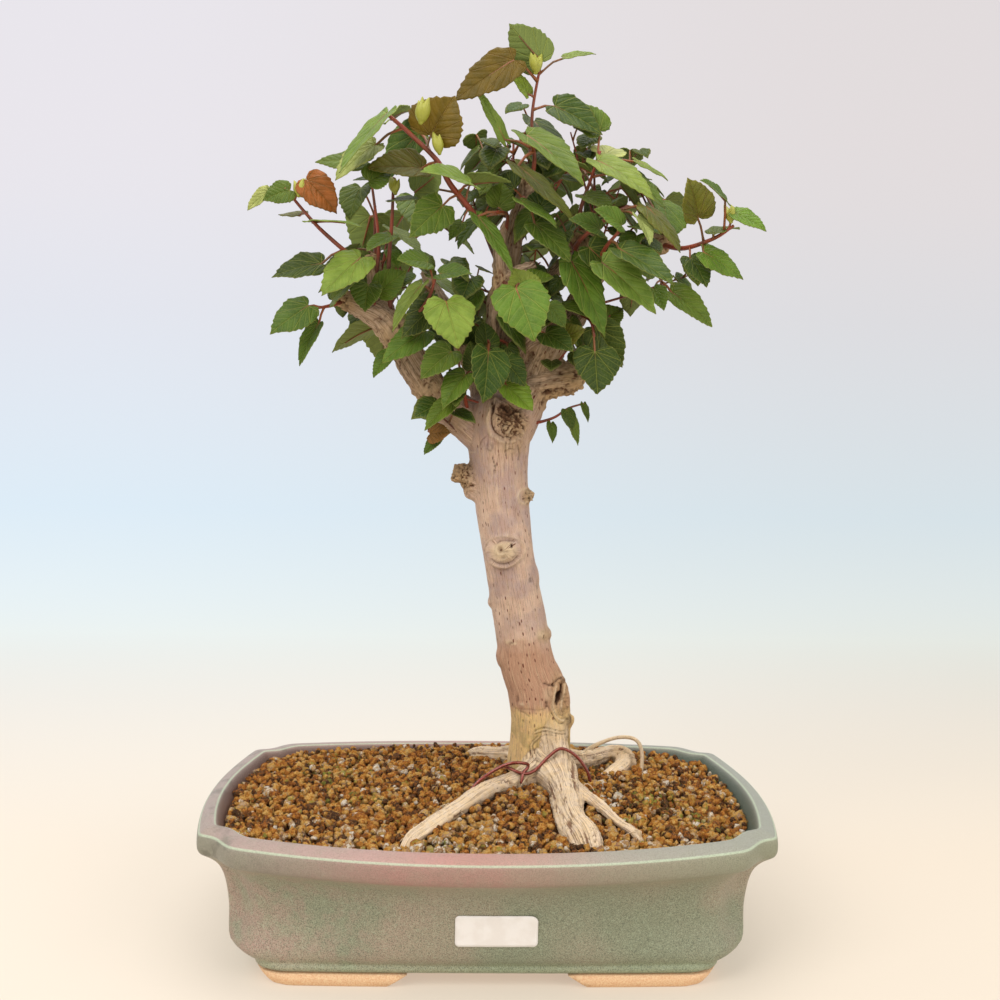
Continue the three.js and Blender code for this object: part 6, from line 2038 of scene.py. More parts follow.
@dataclass
class Wood:
    """The one grown piece of wood: trunk, limbs, knots and roots joined by a voxel skin, then carved."""

    voxel: float = 1.3
    sides: int = 26
    trunk_grain: float = 17.0
    cream_below: float = 108.0
    roots_below: float = 113.0
    limbs_above: float = 292.0
    deep_cut: float = -4.0
    root_shoulder: tuple[Row, ...] = (
        (40, 31, 118, 7.5), (40.5, 27, 105, 9.0), (41.5, 22.5, 94, 9.0), (43, 13, 84, 8.2),
    )
    fine_patches: tuple[tuple[Point, Point], ...] = (
        ((12.0, -2.0, 82.0), (58.0, 40.0, 142.0)), ((-8.0, 0.0, 266.0), (27.0, 30.0, 308.0)),
        ((-6.0, 0.0, 202.0), (24.0, 26.0, 226.0)), ((-32.0, 0.0, 242.0), (-6.0, 50.0, 274.0)),
        ((14.0, 0.0, 236.0), (32.0, 40.0, 258.0)), ((30.0, -96.0, 66.0), (66.0, -2.0, 94.0)),
    )

    def tubes(self) -> list[tuple[Kind, Tube]]:
        """Returns every stretch of wood with its kind."""
        found = [(Kind.TRUNK, Tube(TRUNK, 36, 0.035, 2))]
        found += [(Kind.LIMB, Tube(r, self.sides, 0.06, i + 3)) for i, r in enumerate(LIMBS.values())]
        found += [(Kind.KNOT, Tube(r, self.sides, 0.06, i + 5)) for i, r in enumerate(KNOTS.values())]
        for i, (name, rows) in enumerate(ROOTS.items()):
            if name != "looped":
                found.append((Kind.ROOT, Tube(rows, self.sides, 0.1, i + 7)))
        found.append((Kind.ROOT, Tube(self.root_shoulder, self.sides, 0.1, 21)))
        return found

    def skin(self, tubes: list[tuple[Kind, Tube]]) -> Mesh:
        """Joins the tubes into one even skin.

        Args:
            tubes: The stretches of wood.

        Returns:
            The skin, in metres.
        """
        whole = tubes_mesh("tubes", [tube for _, tube in tubes])
        return baked(
            whole,
            {"type": "REMESH", "mode": "VOXEL", "voxel_size": self.voxel * MM, "use_smooth_shade": True},
            {"type": "SMOOTH", "factor": 0.5, "iterations": 3},
        )

    def refine(self, mesh: Mesh) -> None:
        """Halves the skin's faces on the front where fine folds, knots and cracks lie.

        Args:
            mesh: The skin, which is changed.
        """
        points = places_of(mesh) / MM
        facing = directions_of(mesh)[:, 1] < 0.25
        inside = np.zeros(len(points), dtype=bool)
        for low, high in self.fine_patches:
            inside |= ((points > np.array(low)) & (points < np.array(high))).all(axis=1) & facing
        work = bmesh.new()
        work.from_mesh(mesh)
        work.verts.ensure_lookup_table()
        edges = [edge for edge in work.edges if inside[edge.verts[0].index] and inside[edge.verts[1].index]]
        bmesh.ops.subdivide_edges(work, edges=edges, cuts=1, use_grid_fill=True)
        work.to_mesh(mesh)
        work.free()

    def nearest(self, points: np.ndarray, tubes: list[tuple[Kind, Tube]]) -> dict[str, np.ndarray]:
        """Finds which stretch each point belongs to, and its place along and round it.

        Args:
            points: The places in millimetres.
            tubes: The stretches of wood.

        Returns:
            Arrays named kind, grain and radius, a row to a point.
        """
        best = np.full(len(points), 1e9)
        kind = np.zeros(len(points))
        grain = np.zeros((len(points), 3))
        radius = np.zeros(len(points))
        for number, (what, tube) in enumerate(tubes):
            steps = np.linalg.norm(np.diff(tube.centres, axis=0), axis=1)
            along = np.concatenate([[0], np.cumsum(steps)])
            reach = tube.radii.max() * 1.5 + 4
            low, high = tube.centres.min(axis=0) - reach, tube.centres.max(axis=0) + reach
            near = np.nonzero(((points > low) & (points < high)).all(axis=1))[0]
            if not len(near):
                continue
            gaps = np.linalg.norm(points[near][:, None, :] - tube.centres[None], axis=2) - tube.radii[None]
            row = gaps.argmin(axis=1)
            gap = gaps[np.arange(len(near)), row]
            if what is Kind.KNOT:
                gap = gap + 0.8
            better = gap < best[near]
            chosen, row, gap = near[better], row[better], gap[better]
            best[chosen] = gap
            away = points[chosen] - tube.centres[row]
            ways = tube.ways[row]
            lengthwise = (away * ways).sum(axis=1)
            turn = np.arctan2(
                (away * tube.other_ways[row]).sum(axis=1), (away * tube.side_ways[row]).sum(axis=1)
            )
            wide = min(self.trunk_grain, float(tube.radii.mean()))
            grain[chosen, 0] = wide * np.cos(turn)
            grain[chosen, 1] = wide * np.sin(turn)
            grain[chosen, 2] = along[row] + lengthwise + 97.0 * number
            kind[chosen] = what.value
            radius[chosen] = tube.radii[row]
        return {"kind": kind, "grain": grain, "radius": radius}

    def carve(self, mesh: Mesh, tubes: list[tuple[Kind, Tube]]) -> None:
        """Gives the skin its undulations, fissures, knots and scars, and marks them for the bark.

        Args:
            mesh: The skin, which is changed.
            tubes: The stretches of wood.
        """
        points = places_of(mesh) / MM
        normals = directions_of(mesh)
        found = self.nearest(points, tubes)
        grain, kind = found["grain"], found["kind"]
        is_root = (kind == Kind.ROOT.value).astype(float)
        is_limb = (kind == Kind.LIMB.value).astype(float)
        height = points[:, 2]
        cream = is_root * np.clip((self.cream_below - height) / 16, 0, 1)
        is_root = is_root * np.clip((self.roots_below - height) / 12, 0, 1)
        is_limb = is_limb * np.clip((height - self.limbs_above) / 22, 0, 1)
        front = np.clip((-0.1 - normals[:, 1]) / 0.3, 0, 1) * (points[:, 1] < 34)
        relief = 0.45 * wave(points, 20.0, 1) + 0.40 * wave(points, 6.0, 2, 2) * (0.35 + 1.9 * is_limb)
        relief += 0.20 * wave(grain * [1, 1, 0.10], 1.9, 3) + 0.16 * wave(grain * [1, 1, 0.2], 4.5, 11)
        fissure = crease(wave(grain * [1, 1, 0.045], 3.3, 4, 2), 0.13) * is_root
        fissure = np.maximum(fissure, crease(wave(grain * [1, 1, 0.07], 2.0, 5, 2), 0.10) * is_root * 0.7)
        patchy = np.clip(0.55 + 0.6 * wave(points, 16.0, 8), 0.1, 1)
        fissure *= np.clip(found["radius"] / 7.0, 0.25, 1) * patchy
        relief -= 2.1 * fissure
        relief += is_root * 0.6 * wave(grain * [1, 1, 0.3], 4.2, 6)
        relief += is_root * 0.35 * wave(points, 2.2, 12, 2)
        streaks = crease(wave(grain * [1, 1, 0.14], 2.6, 7, 2), 0.1) * is_limb
        relief -= 0.6 * streaks
        pale, rugged, cut = np.zeros((3, len(points)))
        crumple = wave(points, 2.6, 9, 3)
        folds = crease(wave(points, 3.4, 10, 2), 0.14)
        coarse = is_limb * np.clip(0.6 + 0.8 * wave(points, 14.0, 13), 0, 1)
        relief += coarse * (0.55 * crumple - 0.7 * folds)
        # Creases of the crumpled bark are darkened: painted shade in them
        stain = coarse * folds * 0.5
        for middle, half, strength in RUGGED:
            away = np.linalg.norm((points - np.array(middle)) / np.array(half), axis=1)
            inside = np.exp(-((away * 0.95) ** 4))
            relief += inside * strength * (0.8 * crumple - 0.95 * folds)
            stain = np.maximum(stain, inside * folds * 0.75 * min(1.0, strength))
            rugged = np.maximum(rugged, inside * min(1.0, 0.35 + 0.5 * strength))
        for item in [*MARKS, *FOLDS]:
            inside = item.strength(points) if isinstance(item, Mark) else item.strength(points, front)
            if item.height < self.deep_cut:
                cut += item.height * inside
            else:
                relief += item.height * inside
            pale = np.maximum(pale * (1 - item.stain * inside), item.pale * inside)
            stain = np.maximum(stain * (1 - item.pale * inside), item.stain * inside)
        # How far the skin is carved in, which the bark darkens: painted shade in fissures and hollows
        cavity = np.clip(fissure + 0.5 * streaks + np.clip(-relief - 0.5, 0, 1.2), 0, 1)
        place(mesh, (points + normals * (relief + cut)[:, None]) * MM)
        mark(mesh, "grain", grain)
        mark(mesh, "is_root", np.maximum(is_root, cream))
        mark(mesh, "is_limb", is_limb)
        mark(mesh, "cavity", cavity)
        mark(mesh, "stain", np.clip(stain, 0, 1))
        mark(mesh, "pale", np.clip(pale, 0, 1))
        mark(mesh, "rugged", np.clip(rugged, 0, 1) * 0.8)

    def build(self, material: Material) -> Object:
        """Builds the carved wood.

        Args:
            material: The bark.

        Returns:
            The piece, which stands for the CAD trunk.
        """
        tubes = self.tubes()
        skin = self.skin(tubes)
        self.refine(skin)
        self.carve(skin, tubes)
        return finished("tree_wood", skin, material, ["trunk"])


@dataclass
class HairRoots:
    """The thin root that loops through the air, and the hair roots that hang from the thick ones."""

    sides: int = 7
    tufts: tuple[tuple[Point, int, float], ...] = (
        ((60.0, 40.0, 85.0), 8, 14.0), ((24.0, 6.0, 80.0), 5, 12.0), ((72.0, 55.0, 83.0), 4, 10.0),
        ((-20.0, -38.0, 76.0), 4, 10.0), ((80.0, -72.0, 75.0), 5, 10.0), ((55.0, -6.0, 79.0), 6, 13.0),
        ((90.0, 63.0, 79.0), 3, 9.0), ((50.0, -60.0, 76.0), 3, 9.0), ((-40.0, -78.0, 74.0), 3, 8.0),
    )

    def build(self, material: Material) -> Object:
        """Builds the thin roots as tubes.

        Args:
            material: The bark.

        Returns:
            The piece.
        """
        tubes = [Tube(ROOTS["looped"], self.sides, 0.08, 3, step=2.0)]
        draws = Draws(71)
        for middle, count, length in self.tufts:
            for _ in range(count):
                turn = 2 * math.pi * draws.next()
                rise = draws.over(0.1, 0.5)
                bend = draws.aside(2.4)
                reach = length * draws.over(0.5, 0.5)
                x, y, z = middle
                rows = [(x, y, z - 4.0, 0.42)]
                for step in range(1, 5):
                    share = step / 4
                    angle = turn + bend * share
                    x += math.cos(angle) * reach / 4
                    y += math.sin(angle) * reach / 4
                    z = middle[2] + reach * rise * math.sin(math.pi * share * 0.85) - 4.0 * share
                    rows.append((x, y, z, 0.42 * (1 - 0.6 * share)))
                tubes.append(Tube(rows, 4, step=2.5))
        mesh = tubes_mesh("hair_roots", tubes)
        points = places_of(mesh) / MM
        mark(mesh, "grain", points)
        mark(mesh, "is_root", np.ones(len(points)))
        for name in ("is_limb", "cavity", "stain", "rugged"):
            mark(mesh, name, np.zeros(len(points)))
        mark(mesh, "pale", np.full(len(points), 0.55))
        return finished("hair_roots", mesh, material)


# Soil


@dataclass
class Soil:
    """The bed of loose granules: a bumpy base bed, then seeded grains on it in three sizes."""

    pot: Pot
    level: float = 71.5
    mound: float = 5.0
    mound_spread: float = 45.0
    trunk_foot: Plan = (36.0, 26.0)
    dip: float = 1.5
    dip_from_x: float = 90.0
    dip_reach: float = 60.0
    bed_rows: tuple[Point, ...] = (
        (15.0, 43.5, 39.5), (19.0, 33.0, 31.0), (28.5, 25.0, 27.0), (58.0, 19.0, 21.5), (68.0, 14.6, 18.0),
    )
    bed_shares: tuple[float, ...] = (0.94, 0.86, 0.77, 0.67, 0.56, 0.44, 0.31, 0.17)
    bed_top_above: float = 62.0
    bed_below: float = 3.2
    scatter_reach: Plan = (150.0, 108.0)
    pale_share: float = 0.022
    dark_share: float = 0.09
    sizes: tuple[tuple[str, int, float, int, int], ...] = (
        ("grains_coarse", 300, 8.0, 2, 33),
        ("grains_large", 1500, 5.2, 2, 31),
        ("grains_small", 2600, 3.4, 1, 32),
    )
    moss_patches: tuple[Point, ...] = (
        (96.0, -10.0, 16.0), (112.0, -40.0, 14.0), (76.0, -44.0, 10.0), (-96.0, 40.0, 14.0),
        (-20.0, -84.0, 9.0), (-70.0, -10.0, 10.0),
    )

    def height_at(self, x: np.ndarray, y: np.ndarray) -> np.ndarray:
        """Returns the soil's level at places on the pot's plan, in millimetres."""
        from_trunk = (x - self.trunk_foot[0]) ** 2 + (y - self.trunk_foot[1]) ** 2
        mound = self.mound * np.exp(-from_trunk / (2 * self.mound_spread**2))
        share = np.clip((x - self.dip_from_x) / self.dip_reach, 0, 1)
        return self.level + mound - self.dip * share * share * (3 - 2 * share)

    def inside(self, x: np.ndarray, y: np.ndarray, gap: float) -> np.ndarray:
        """Tells which places are inside the pot's wall.

        Args:
            x: Places along the pot in millimetres.
            y: Places across it.
            gap: How far they must stay from the wall.

        Returns:
            True or false for each place.
        """
        wall = np.array([[p.x, p.y] for p in self.pot.ring(70.0, 13.0 + gap, 16.4 + gap)]) / MM
        turns = np.arctan2(wall[:, 1], wall[:, 0])
        order = turns.argsort()
        reach = np.linalg.norm(wall, axis=1)
        limit = np.interp(np.arctan2(y, x), turns[order], reach[order], period=2 * math.pi)
        return np.hypot(x, y) < limit

    def bed(self) -> Mesh:
        """Builds the bed under the grains as a closed, bumpy block.

        Returns:
            The mesh, in metres.
        """
        rings = [self.pot.ring(*row) for row in self.bed_rows]
        brim = rings[-1]
        for share in self.bed_shares:
            rings.append([Vector((p.x * share, p.y * share, p.z)) for p in brim])
        work = bmesh.new()
        made = stack_rings(work, rings)
        close_ring(work, made[0], Vector())
        close_ring(work, made[-1], Vector())
        bmesh.ops.recalc_face_normals(work, faces=work.faces)
        mesh = own_mesh("bed", work)
        points = places_of(mesh) / MM
        top = points[:, 2] > self.bed_top_above
        wanted = self.height_at(points[:, 0], points[:, 1]) - self.bed_below + 0.8 * wave(points, 5.0, 21)
        points[top, 2] = wanted[top]
        place(mesh, points * MM)
        # The bed takes the darkest tones: dark soil in the gaps between the grains, and painted shade there
        mark(mesh, "tone", np.clip(0.10 + 0.1 * wave(points, 3.0, 22), 0, 1))
        mark(mesh, "moss", np.zeros(len(points)))
        return mesh

    def spots(self, count: int, spacing: float, seed: int, keep_off: np.ndarray) -> np.ndarray:
        """Scatters places over the bed that keep apart and off the wood.

        Args:
            count: The most places.
            spacing: The least gap between two places in millimetres.
            seed: The scatter's seed.
            keep_off: Rows of x, y and radius of what stands in the soil.

        Returns:
            The places, one to a row.
        """
        random = np.random.default_rng(seed)
        x, y = self.scatter_reach
        pool = random.uniform((-x, -y), (x, y), (count * 14, 2))
        pool = pool[self.inside(pool[:, 0], pool[:, 1], spacing * 0.42)]
        away = np.linalg.norm(pool[:, None, :] - keep_off[None, :, :2], axis=2) - keep_off[None, :, 2]
        pool = pool[away.min(axis=1) > spacing * 0.15]
        cell = spacing / math.sqrt(2)
        taken: dict[tuple[int, int], list[np.ndarray]] = {}
        kept = []
        for spot in pool:
            column, row = int(spot[0] // cell), int(spot[1] // cell)
            near = [
                other
                for i in range(column - 2, column + 3)
                for j in range(row - 2, row + 3)
                for other in taken.get((i, j), ())
            ]
            if all(np.hypot(*(spot - other)) >= spacing for other in near):
                taken.setdefault((column, row), []).append(spot)
                kept.append(spot)
            if len(kept) == count:
                break
        return np.array(kept)

    def grain_blank(self, cuts: int) -> Mesh:
        """Makes one round grain of a few dozen faces.

        Args:
            cuts: How often each edge of a cube is cut.

        Returns:
            The mesh, of radius 1.
        """
        work = bmesh.new()
        bmesh.ops.create_cube(work, size=1.0)
        bmesh.ops.subdivide_edges(work, edges=work.edges, cuts=cuts, use_grid_fill=True)
        for vert in work.verts:
            vert.co = vert.co.normalized()
        return own_mesh("grain", work)

    def grains(
        self, name: str, places: np.ndarray, sizes: np.ndarray, lift: np.ndarray, cuts: int, seed: int
    ) -> Mesh:
        """Lays lumpy grains at given places.

        Args:
            name: Not used.
            places: The places on the plan.
            sizes: Each grain's radius in millimetres.
            lift: How high each grain's middle lies over the soil's level.
            cuts: How finely a grain is cut.
            seed: The seed of their shapes and tones.

        Returns:
            The mesh, in metres, with its attributes tone and moss.
        """
        blank = self.grain_blank(cuts)
        count, size = len(places), len(blank.vertices)
        mesh = copies_of(blank, count)
        random = np.random.default_rng(seed)
        base = places_of(blank)
        dents = 1 + random.normal(0, 0.17 if cuts < 2 else 0.15, (count, size))
        squash = random.uniform(0.70, 1.15, (count, 3))
        shapes = base[None] * dents[:, :, None] * squash[:, None, :]
        turns = random.normal(0, 1, (count, 4))
        turns /= np.linalg.norm(turns, axis=1)[:, None]
        spins = np.array([np.array(Quaternion(t).to_matrix()) for t in turns])
        shapes = np.einsum("nij,nvj->nvi", spins, shapes) * sizes[:, None, None]
        shapes[:, :, :2] += places[:, None]
        level = self.height_at(places[:, 0], places[:, 1])
        shapes[:, :, 2] += (level + lift)[:, None]
        place(mesh, shapes.reshape(-1, 3) * MM)
        rare = random.uniform(0, 1, count)
        tone = np.clip(random.normal(0.43, 0.22, count), 0.06, 0.84)
        # Grains towards the front are made lighter: painted light on the front of the soil
        tone = np.clip(tone + 0.20 * np.clip((-places[:, 1] - 30) / 70, 0, 1), 0, 0.9)
        tone = np.where(rare > 1 - self.pale_share, random.uniform(0.88, 1.0, count), tone)
        tone = np.where(rare < self.dark_share, random.uniform(0.0, 0.14, count), tone)
        moss = np.zeros(count)
        for x, y, reach in self.moss_patches:
            away = np.hypot(places[:, 0] - x, places[:, 1] - y) / reach
            moss = np.maximum(moss, np.exp(-(away**2)) * (random.uniform(0, 1, count) > 0.5))
        moss = np.maximum(moss, 0.6 * (random.uniform(0, 1, count) > 0.96))
        mark(mesh, "tone", np.repeat(tone, size))
        mark(mesh, "moss", np.repeat(moss, size))
        return mesh

    def build(self, material: Material, wood: Object) -> list[Object]:
        """Builds the bed and its grains.

        Args:
            material: The grains' finish.
            wood: The tree, which the grains keep off.

        Returns:
            The pieces.
        """
        points = places_of(wood.data) / MM
        level = self.height_at(points[:, 0], points[:, 1])
        low = points[np.abs(points[:, 2] - level) < 2.5]
        low = low[:: max(1, len(low) // 1500)]
        keep_off = np.column_stack([low[:, :2], np.full(len(low), 1.4)])
        random = np.random.default_rng(5)
        pieces = [finished("soil_bed", self.bed(), material, ["soil"])]
        for name, count, gap, cuts, seed in self.sizes:
            where = self.spots(count, gap, seed, keep_off)
            wide = min(gap, 6.4)
            sizes = random.uniform(0.42, 0.60, len(where)) * wide * random.uniform(0.8, 1.2, len(where))
            lift = random.uniform(-2.0, 0.4, len(where)) - 0.1 * (wide - 5.2)
            if gap < 4:
                lift = random.uniform(-0.6, 1.6, len(where))
            mesh = self.grains(name, where, sizes, lift, cuts, seed + 10)
            pieces.append(finished(name, mesh, material))
        return pieces


# Leafy shoots


@dataclass
class Leaf:
    """A leaf before it is placed: its base, tip, width, the way its upper face looks and its tone."""

    base: Vector
    tip: Vector
    width: float
    face: Vector
    tone: Tone

    @classmethod
    def from_row(cls, row: LeafRow) -> "Leaf":
        """Turns a row of the shoot tables into a leaf.

        Args:
            row: The leaf read from the front.

        Returns:
            The leaf.
        """
        base = Vector((row.base_x, row.base_y, row.base_z))
        tip = Vector((row.tip_x, row.tip_y, row.tip_z))
        along = (tip - base).normalized()
        front = (Vector((0, -1, 0)) + along * along.y).normalized()
        up = along.cross(front)
        flips = up.z < 0 if abs(up.z) > 0.2 else up.x < 0
        if flips:
            up.negate()
        angle = math.radians(row.turn)
        return cls(base, tip, row.width, front * math.cos(angle) + up * math.sin(angle), row.tone)

    def bent(self, depth: float, lift: float, turn: float) -> "Leaf":
        """Bends the leaf aside.

        Args:
            depth: How far its tip moves to the back.
            lift: How far its tip moves up.
            turn: How far its face turns about the midrib, in degrees.

        Returns:
            The bent leaf.
        """
        base = self.base + Vector((0, depth / 2, lift / 2))
        tip = self.tip + Vector((0, depth, lift))
        turned = Quaternion((tip - base).normalized(), math.radians(turn)) @ self.face
        return Leaf(base, tip, self.width, turned, self.tone)


@dataclass
class LeafPlace:
    """Where a leaf sits: its base, its long way, the way its face looks, across, its length and width."""

    leaf: Leaf
    fold: float = 0.26
    arch: float = 0.16
    thickness: float = 0.7
    base: np.ndarray = field(init=False)
    along: np.ndarray = field(init=False)
    face: np.ndarray = field(init=False)
    across: np.ndarray = field(init=False)
    length: float = field(init=False)
    width: float = field(init=False)

    def __post_init__(self) -> None:
        """Works out the axes."""
        along = self.leaf.tip - self.leaf.base
        self.length = along.length
        along.normalize()
        face = (self.leaf.face - along * self.leaf.face.dot(along)).normalized()
        self.base, self.along, self.face = np.array(self.leaf.base), np.array(along), np.array(face)
        self.across = np.array(along.cross(face))
        self.width = self.leaf.width

    def points(self, u: np.ndarray, v: np.ndarray) -> np.ndarray:
        """Returns points of the blade's upper face.

        Args:
            u: Places across, from -0.5 to 0.5.
            v: Places along, from 0 at the stalk to 1 at the tip.

        Returns:
            The points in millimetres, one to a row.
        """
        height = self.fold * np.abs(u) * self.width - self.arch * v * v * self.length
        return (
            self.base
            + np.outer(v * self.length, self.along)
            + np.outer(u * self.width, self.across)
            + np.outer(height, self.face)
        )


def half_width(share: float) -> float:
    """Returns half the blade's width at a share of its length, for a blade of width 1."""
    s = clamp((share + 0.12) / 1.12)
    return 0.5 * s**0.45 * (1 - s) ** 0.9 / 0.423


def along_stem(points: list[Vector], share: float) -> Vector:
    """Returns the point at a share of a stem's length."""
    lengths = [(b - a).length for a, b in zip(points, points[1:])]
    left = share * sum(lengths)
    for i, length in enumerate(lengths):
        if left <= length or i == len(lengths) - 1:
            return points[i].lerp(points[i + 1], min(left / length, 1))
        left -= length
    return points[-1].copy()


def stalk_line(stem: list[Vector], spot: LeafPlace) -> list[Vector]:
    """Returns the stalk's middle line, from inside the stem to inside the blade.

    Args:
        stem: The stem's points.
        spot: The leaf's place.

    Returns:
        Three points.
    """
    base = Vector(spot.base)
    best, gap = 0.0, math.inf
    for i in range(25):
        reach = (along_stem(stem, i / 24) - base).length
        if reach < gap:
            best, gap = i / 24, reach
    whole = sum((b - a).length for a, b in zip(stem, stem[1:]))
    root = along_stem(stem, clamp(best - 0.4 * gap / whole, 0.3, 0.94))
    inside = spot.points(np.array([0.0]), np.array([0.1]))[0] - spot.face * spot.thickness / 2
    middle = root.lerp(base, 0.55)
    middle.z += 0.08 * (base - root).length
    return [root, middle, Vector(inside)]


def whorl(
    stem: list[Vector], heading: float, count: int, seed: int, draws: Draws, scale: float
) -> list[Leaf]:
    """Sets leaves round a stem by the golden angle.

    Args:
        stem: The stem's points.
        heading: The way the stem leans, in radians.
        count: The number of leaves.
        seed: Shifts the order of their tones.
        draws: The stream of numbers for their small differences.
        scale: Their size, 1 for leaves of 23 to 37 mm.

    Returns:
        The leaves, not yet bent clear of each other.
    """
    tones = (Tone.DARK, Tone.MID, Tone.DARK)
    if scale == 1.0:
        tones = (Tone.MID, Tone.DARK, Tone.LIGHT, Tone.MID)
    leaves = []
    for i in range(count):
        root = along_stem(stem, 0.4 + 0.6 * i / (count - 1))
        turn = heading + (i - count / 2) * GOLDEN_ANGLE + draws.aside(0.5)
        stalk = scale * draws.over(12, 9)
        size = scale * draws.over(23, 14)
        droop = draws.over(0.35, 0.5)
        out = Vector((math.cos(turn), math.sin(turn), 0))
        base = root + out * stalk * 0.85
        base.z += stalk * 0.45
        tip = base + out * size * math.cos(droop)
        tip.z -= size * math.sin(droop)
        face = Vector((0, 0, 1)) + out * 0.3 + Vector((0, -0.5, 0)) * (scale < 1)
        width = size * draws.over(0.8, 0.15)
        leaves.append(Leaf(base, tip, width, face, tones[(i + seed) % len(tones)]))
    return leaves


@dataclass
class Shoot:
    """A leafy shoot: its stem's radius and points, its leaves and buds, and where the leaves end up."""

    name: str
    radius: float
    stem: list[Vector]
    leaves: list[Leaf]
    buds: list[Vector]
    placed: list[LeafPlace] = field(default_factory=list)

    @classmethod
    def from_row(cls, row: ShootRow) -> "Shoot":
        """Makes a shoot of a row of the tables."""
        leaves = [Leaf.from_row(leaf) for leaf in row.leaves]
        return cls(row.name, row.radius, [Vector(p) for p in row.stem], leaves, [Vector(b) for b in row.buds])

    @classmethod
    def grown(cls, rule: GrowthRule) -> "Shoot":
        """Grows a shoot by rule: a stem that bends up, with leaves set round it by the golden angle.

        Args:
            rule: The rule.

        Returns:
            The shoot.
        """
        draws = Draws(rule.seed)
        heading = math.radians(rule.heading)
        stem = []
        for i in range(3):
            share = i / 2
            lift = math.radians(rule.rise + 22 * share)
            reach = rule.length * share
            flat = Vector((math.cos(heading), math.sin(heading), 0)) * math.cos(lift)
            stem.append(Vector(rule.start) + (flat + Vector((0, 0, math.sin(lift)))) * reach)
        leaves = whorl(stem, heading, rule.leaves, rule.seed, draws, 1.0)
        return cls(rule.name, 1.5, stem, leaves, [])

    @classmethod
    def spray(cls, tip: Point, seed: int, taken: np.ndarray) -> "Shoot":
        """Grows a short twig inside the crown, from the near wood that leaves its stem the most room.

        Args:
            tip: The twig's end.
            seed: The seed of its small differences.
            taken: What is there already, as place_leaves keeps it.

        Returns:
            The twig.
        """
        draws = Draws(900 + seed)
        end = np.array(tip, dtype=float)
        wood = taken[(taken[:, 4] < 0) & (taken[:, 2] < end[2] - 8)]
        near = wood[np.argsort(np.linalg.norm(wood[:, :3] - end, axis=1))[:48:6], :3]
        blades = taken[taken[:, 5] == 0][:, :3]
        lines = near[:, None] + (end - near)[:, None] * np.linspace(0.25, 1, 10)[None, :, None]
        rooms = np.linalg.norm(lines[:, :, None] - blades[None, None], axis=3).min(axis=(1, 2))
        start = Vector(near[rooms.argmax()])
        heading = math.atan2(end[1] - start.y, end[0] - start.x)
        middle = start.lerp(Vector(end), 0.5) + Vector((0, 0, -2.5 + 3 * draws.next()))
        stem = [start, middle, Vector(end)]
        return cls(f"inner_{seed}", 0.95, stem, whorl(stem, heading, 4 + seed % 3, seed, draws, 0.56), [])

    def samples(self, spot: LeafPlace) -> np.ndarray:
        """Spreads points over a leaf and its stalk, for keeping leaves of different stems apart."""
        us, vs = [], []
        for i in range(6):
            for j in range(-2, 3):
                us.append(half_width(i / 5) * 0.45 * j)
                vs.append(i / 5)
        root, middle, inside = stalk_line(self.stem, spot)
        line = [root.lerp(middle, 0.6), middle, middle.lerp(inside, 0.5)]
        return np.vstack([spot.points(np.array(us), np.array(vs)), np.array([tuple(p) for p in line])])


def wood_points() -> np.ndarray:
    """Spreads points over trunk, limbs and knots: place, room to keep, -1 for wood, 1 for no leaf."""
    points = []
    for rows in [TRUNK, *LIMBS.values(), *KNOTS.values()]:
        for first, last in zip(rows, rows[1:]):
            a, b = np.array(first), np.array(last)
            steps = math.ceil(np.linalg.norm(a[:3] - b[:3]) / 4)
            for k in range(steps + 1):
                here = a + (b - a) * k / steps
                points.append((*here[:3], here[3] * 1.06 + 0.6, -1, 1))
    return np.array(points)


def place_leaves(shoots: list[Shoot], taken: np.ndarray, first: int, most: int, least: float) -> np.ndarray:
    """Places every leaf in turn, bent clear of wood, other stems and the leaves before it.

    Args:
        shoots: The shoots, which take their leaves' places.
        taken: What is there already: place, room to keep, number of its shoot, and 0 for a leaf.
        first: The first shoot's number.
        most: How many steps a leaf may be bent aside.
        least: A leaf that still has less room than this, in millimetres, is left out.

    Returns:
        What is there now.
    """
    points = []
    for number, shoot in enumerate(shoots, first):
        for i in range(4, 17):
            points.append((*along_stem(shoot.stem, i / 16), shoot.radius + 0.4, number, 1))
    taken = np.vstack([taken, points])
    bends = [(0, 0, 0)]
    for lift in LEAF_LIFTS:
        for step in range(1, most):
            for depth in (-LEAF_STEP * step, LEAF_STEP * step):
                bends += [(depth, lift, turn) for turn in LEAF_TURNS]
    for number, shoot in enumerate(shoots, first):
        for leaf in shoot.leaves:
            others = taken[(taken[:, 4] != number) | (taken[:, 5] == 0)]
            middle = np.array((leaf.base + leaf.tip) / 2)
            reach = (leaf.tip - leaf.base).length / 2 + 21 + 8 * most
            others = others[np.linalg.norm(others[:, :3] - middle, axis=1) - others[:, 3] < reach]
            best: tuple[float, Optional[LeafPlace], np.ndarray, float] = (-math.inf, None, middle, 0.0)
            for bend in bends:
                spot = LeafPlace(leaf.bent(*bend))
                room = LEAF_ROOM + LEAF_ROOM_GROWTH * spot.length
                samples = shoot.samples(spot)
                gaps = np.linalg.norm(samples[:, None] - others[None, :, :3], axis=2)
                clearance = float((gaps - others[None, :, 3] - room).min())
                if clearance > best[0]:
                    best = (clearance, spot, samples, room)
                if clearance >= 0:
                    break
            clearance, spot, samples, room = best
            if clearance < least:
                continue
            shoot.placed.append(spot)
            extra = np.column_stack([samples, np.tile([room, number, 0], (len(samples), 1))])
            taken = np.vstack([taken, extra])
    return taken


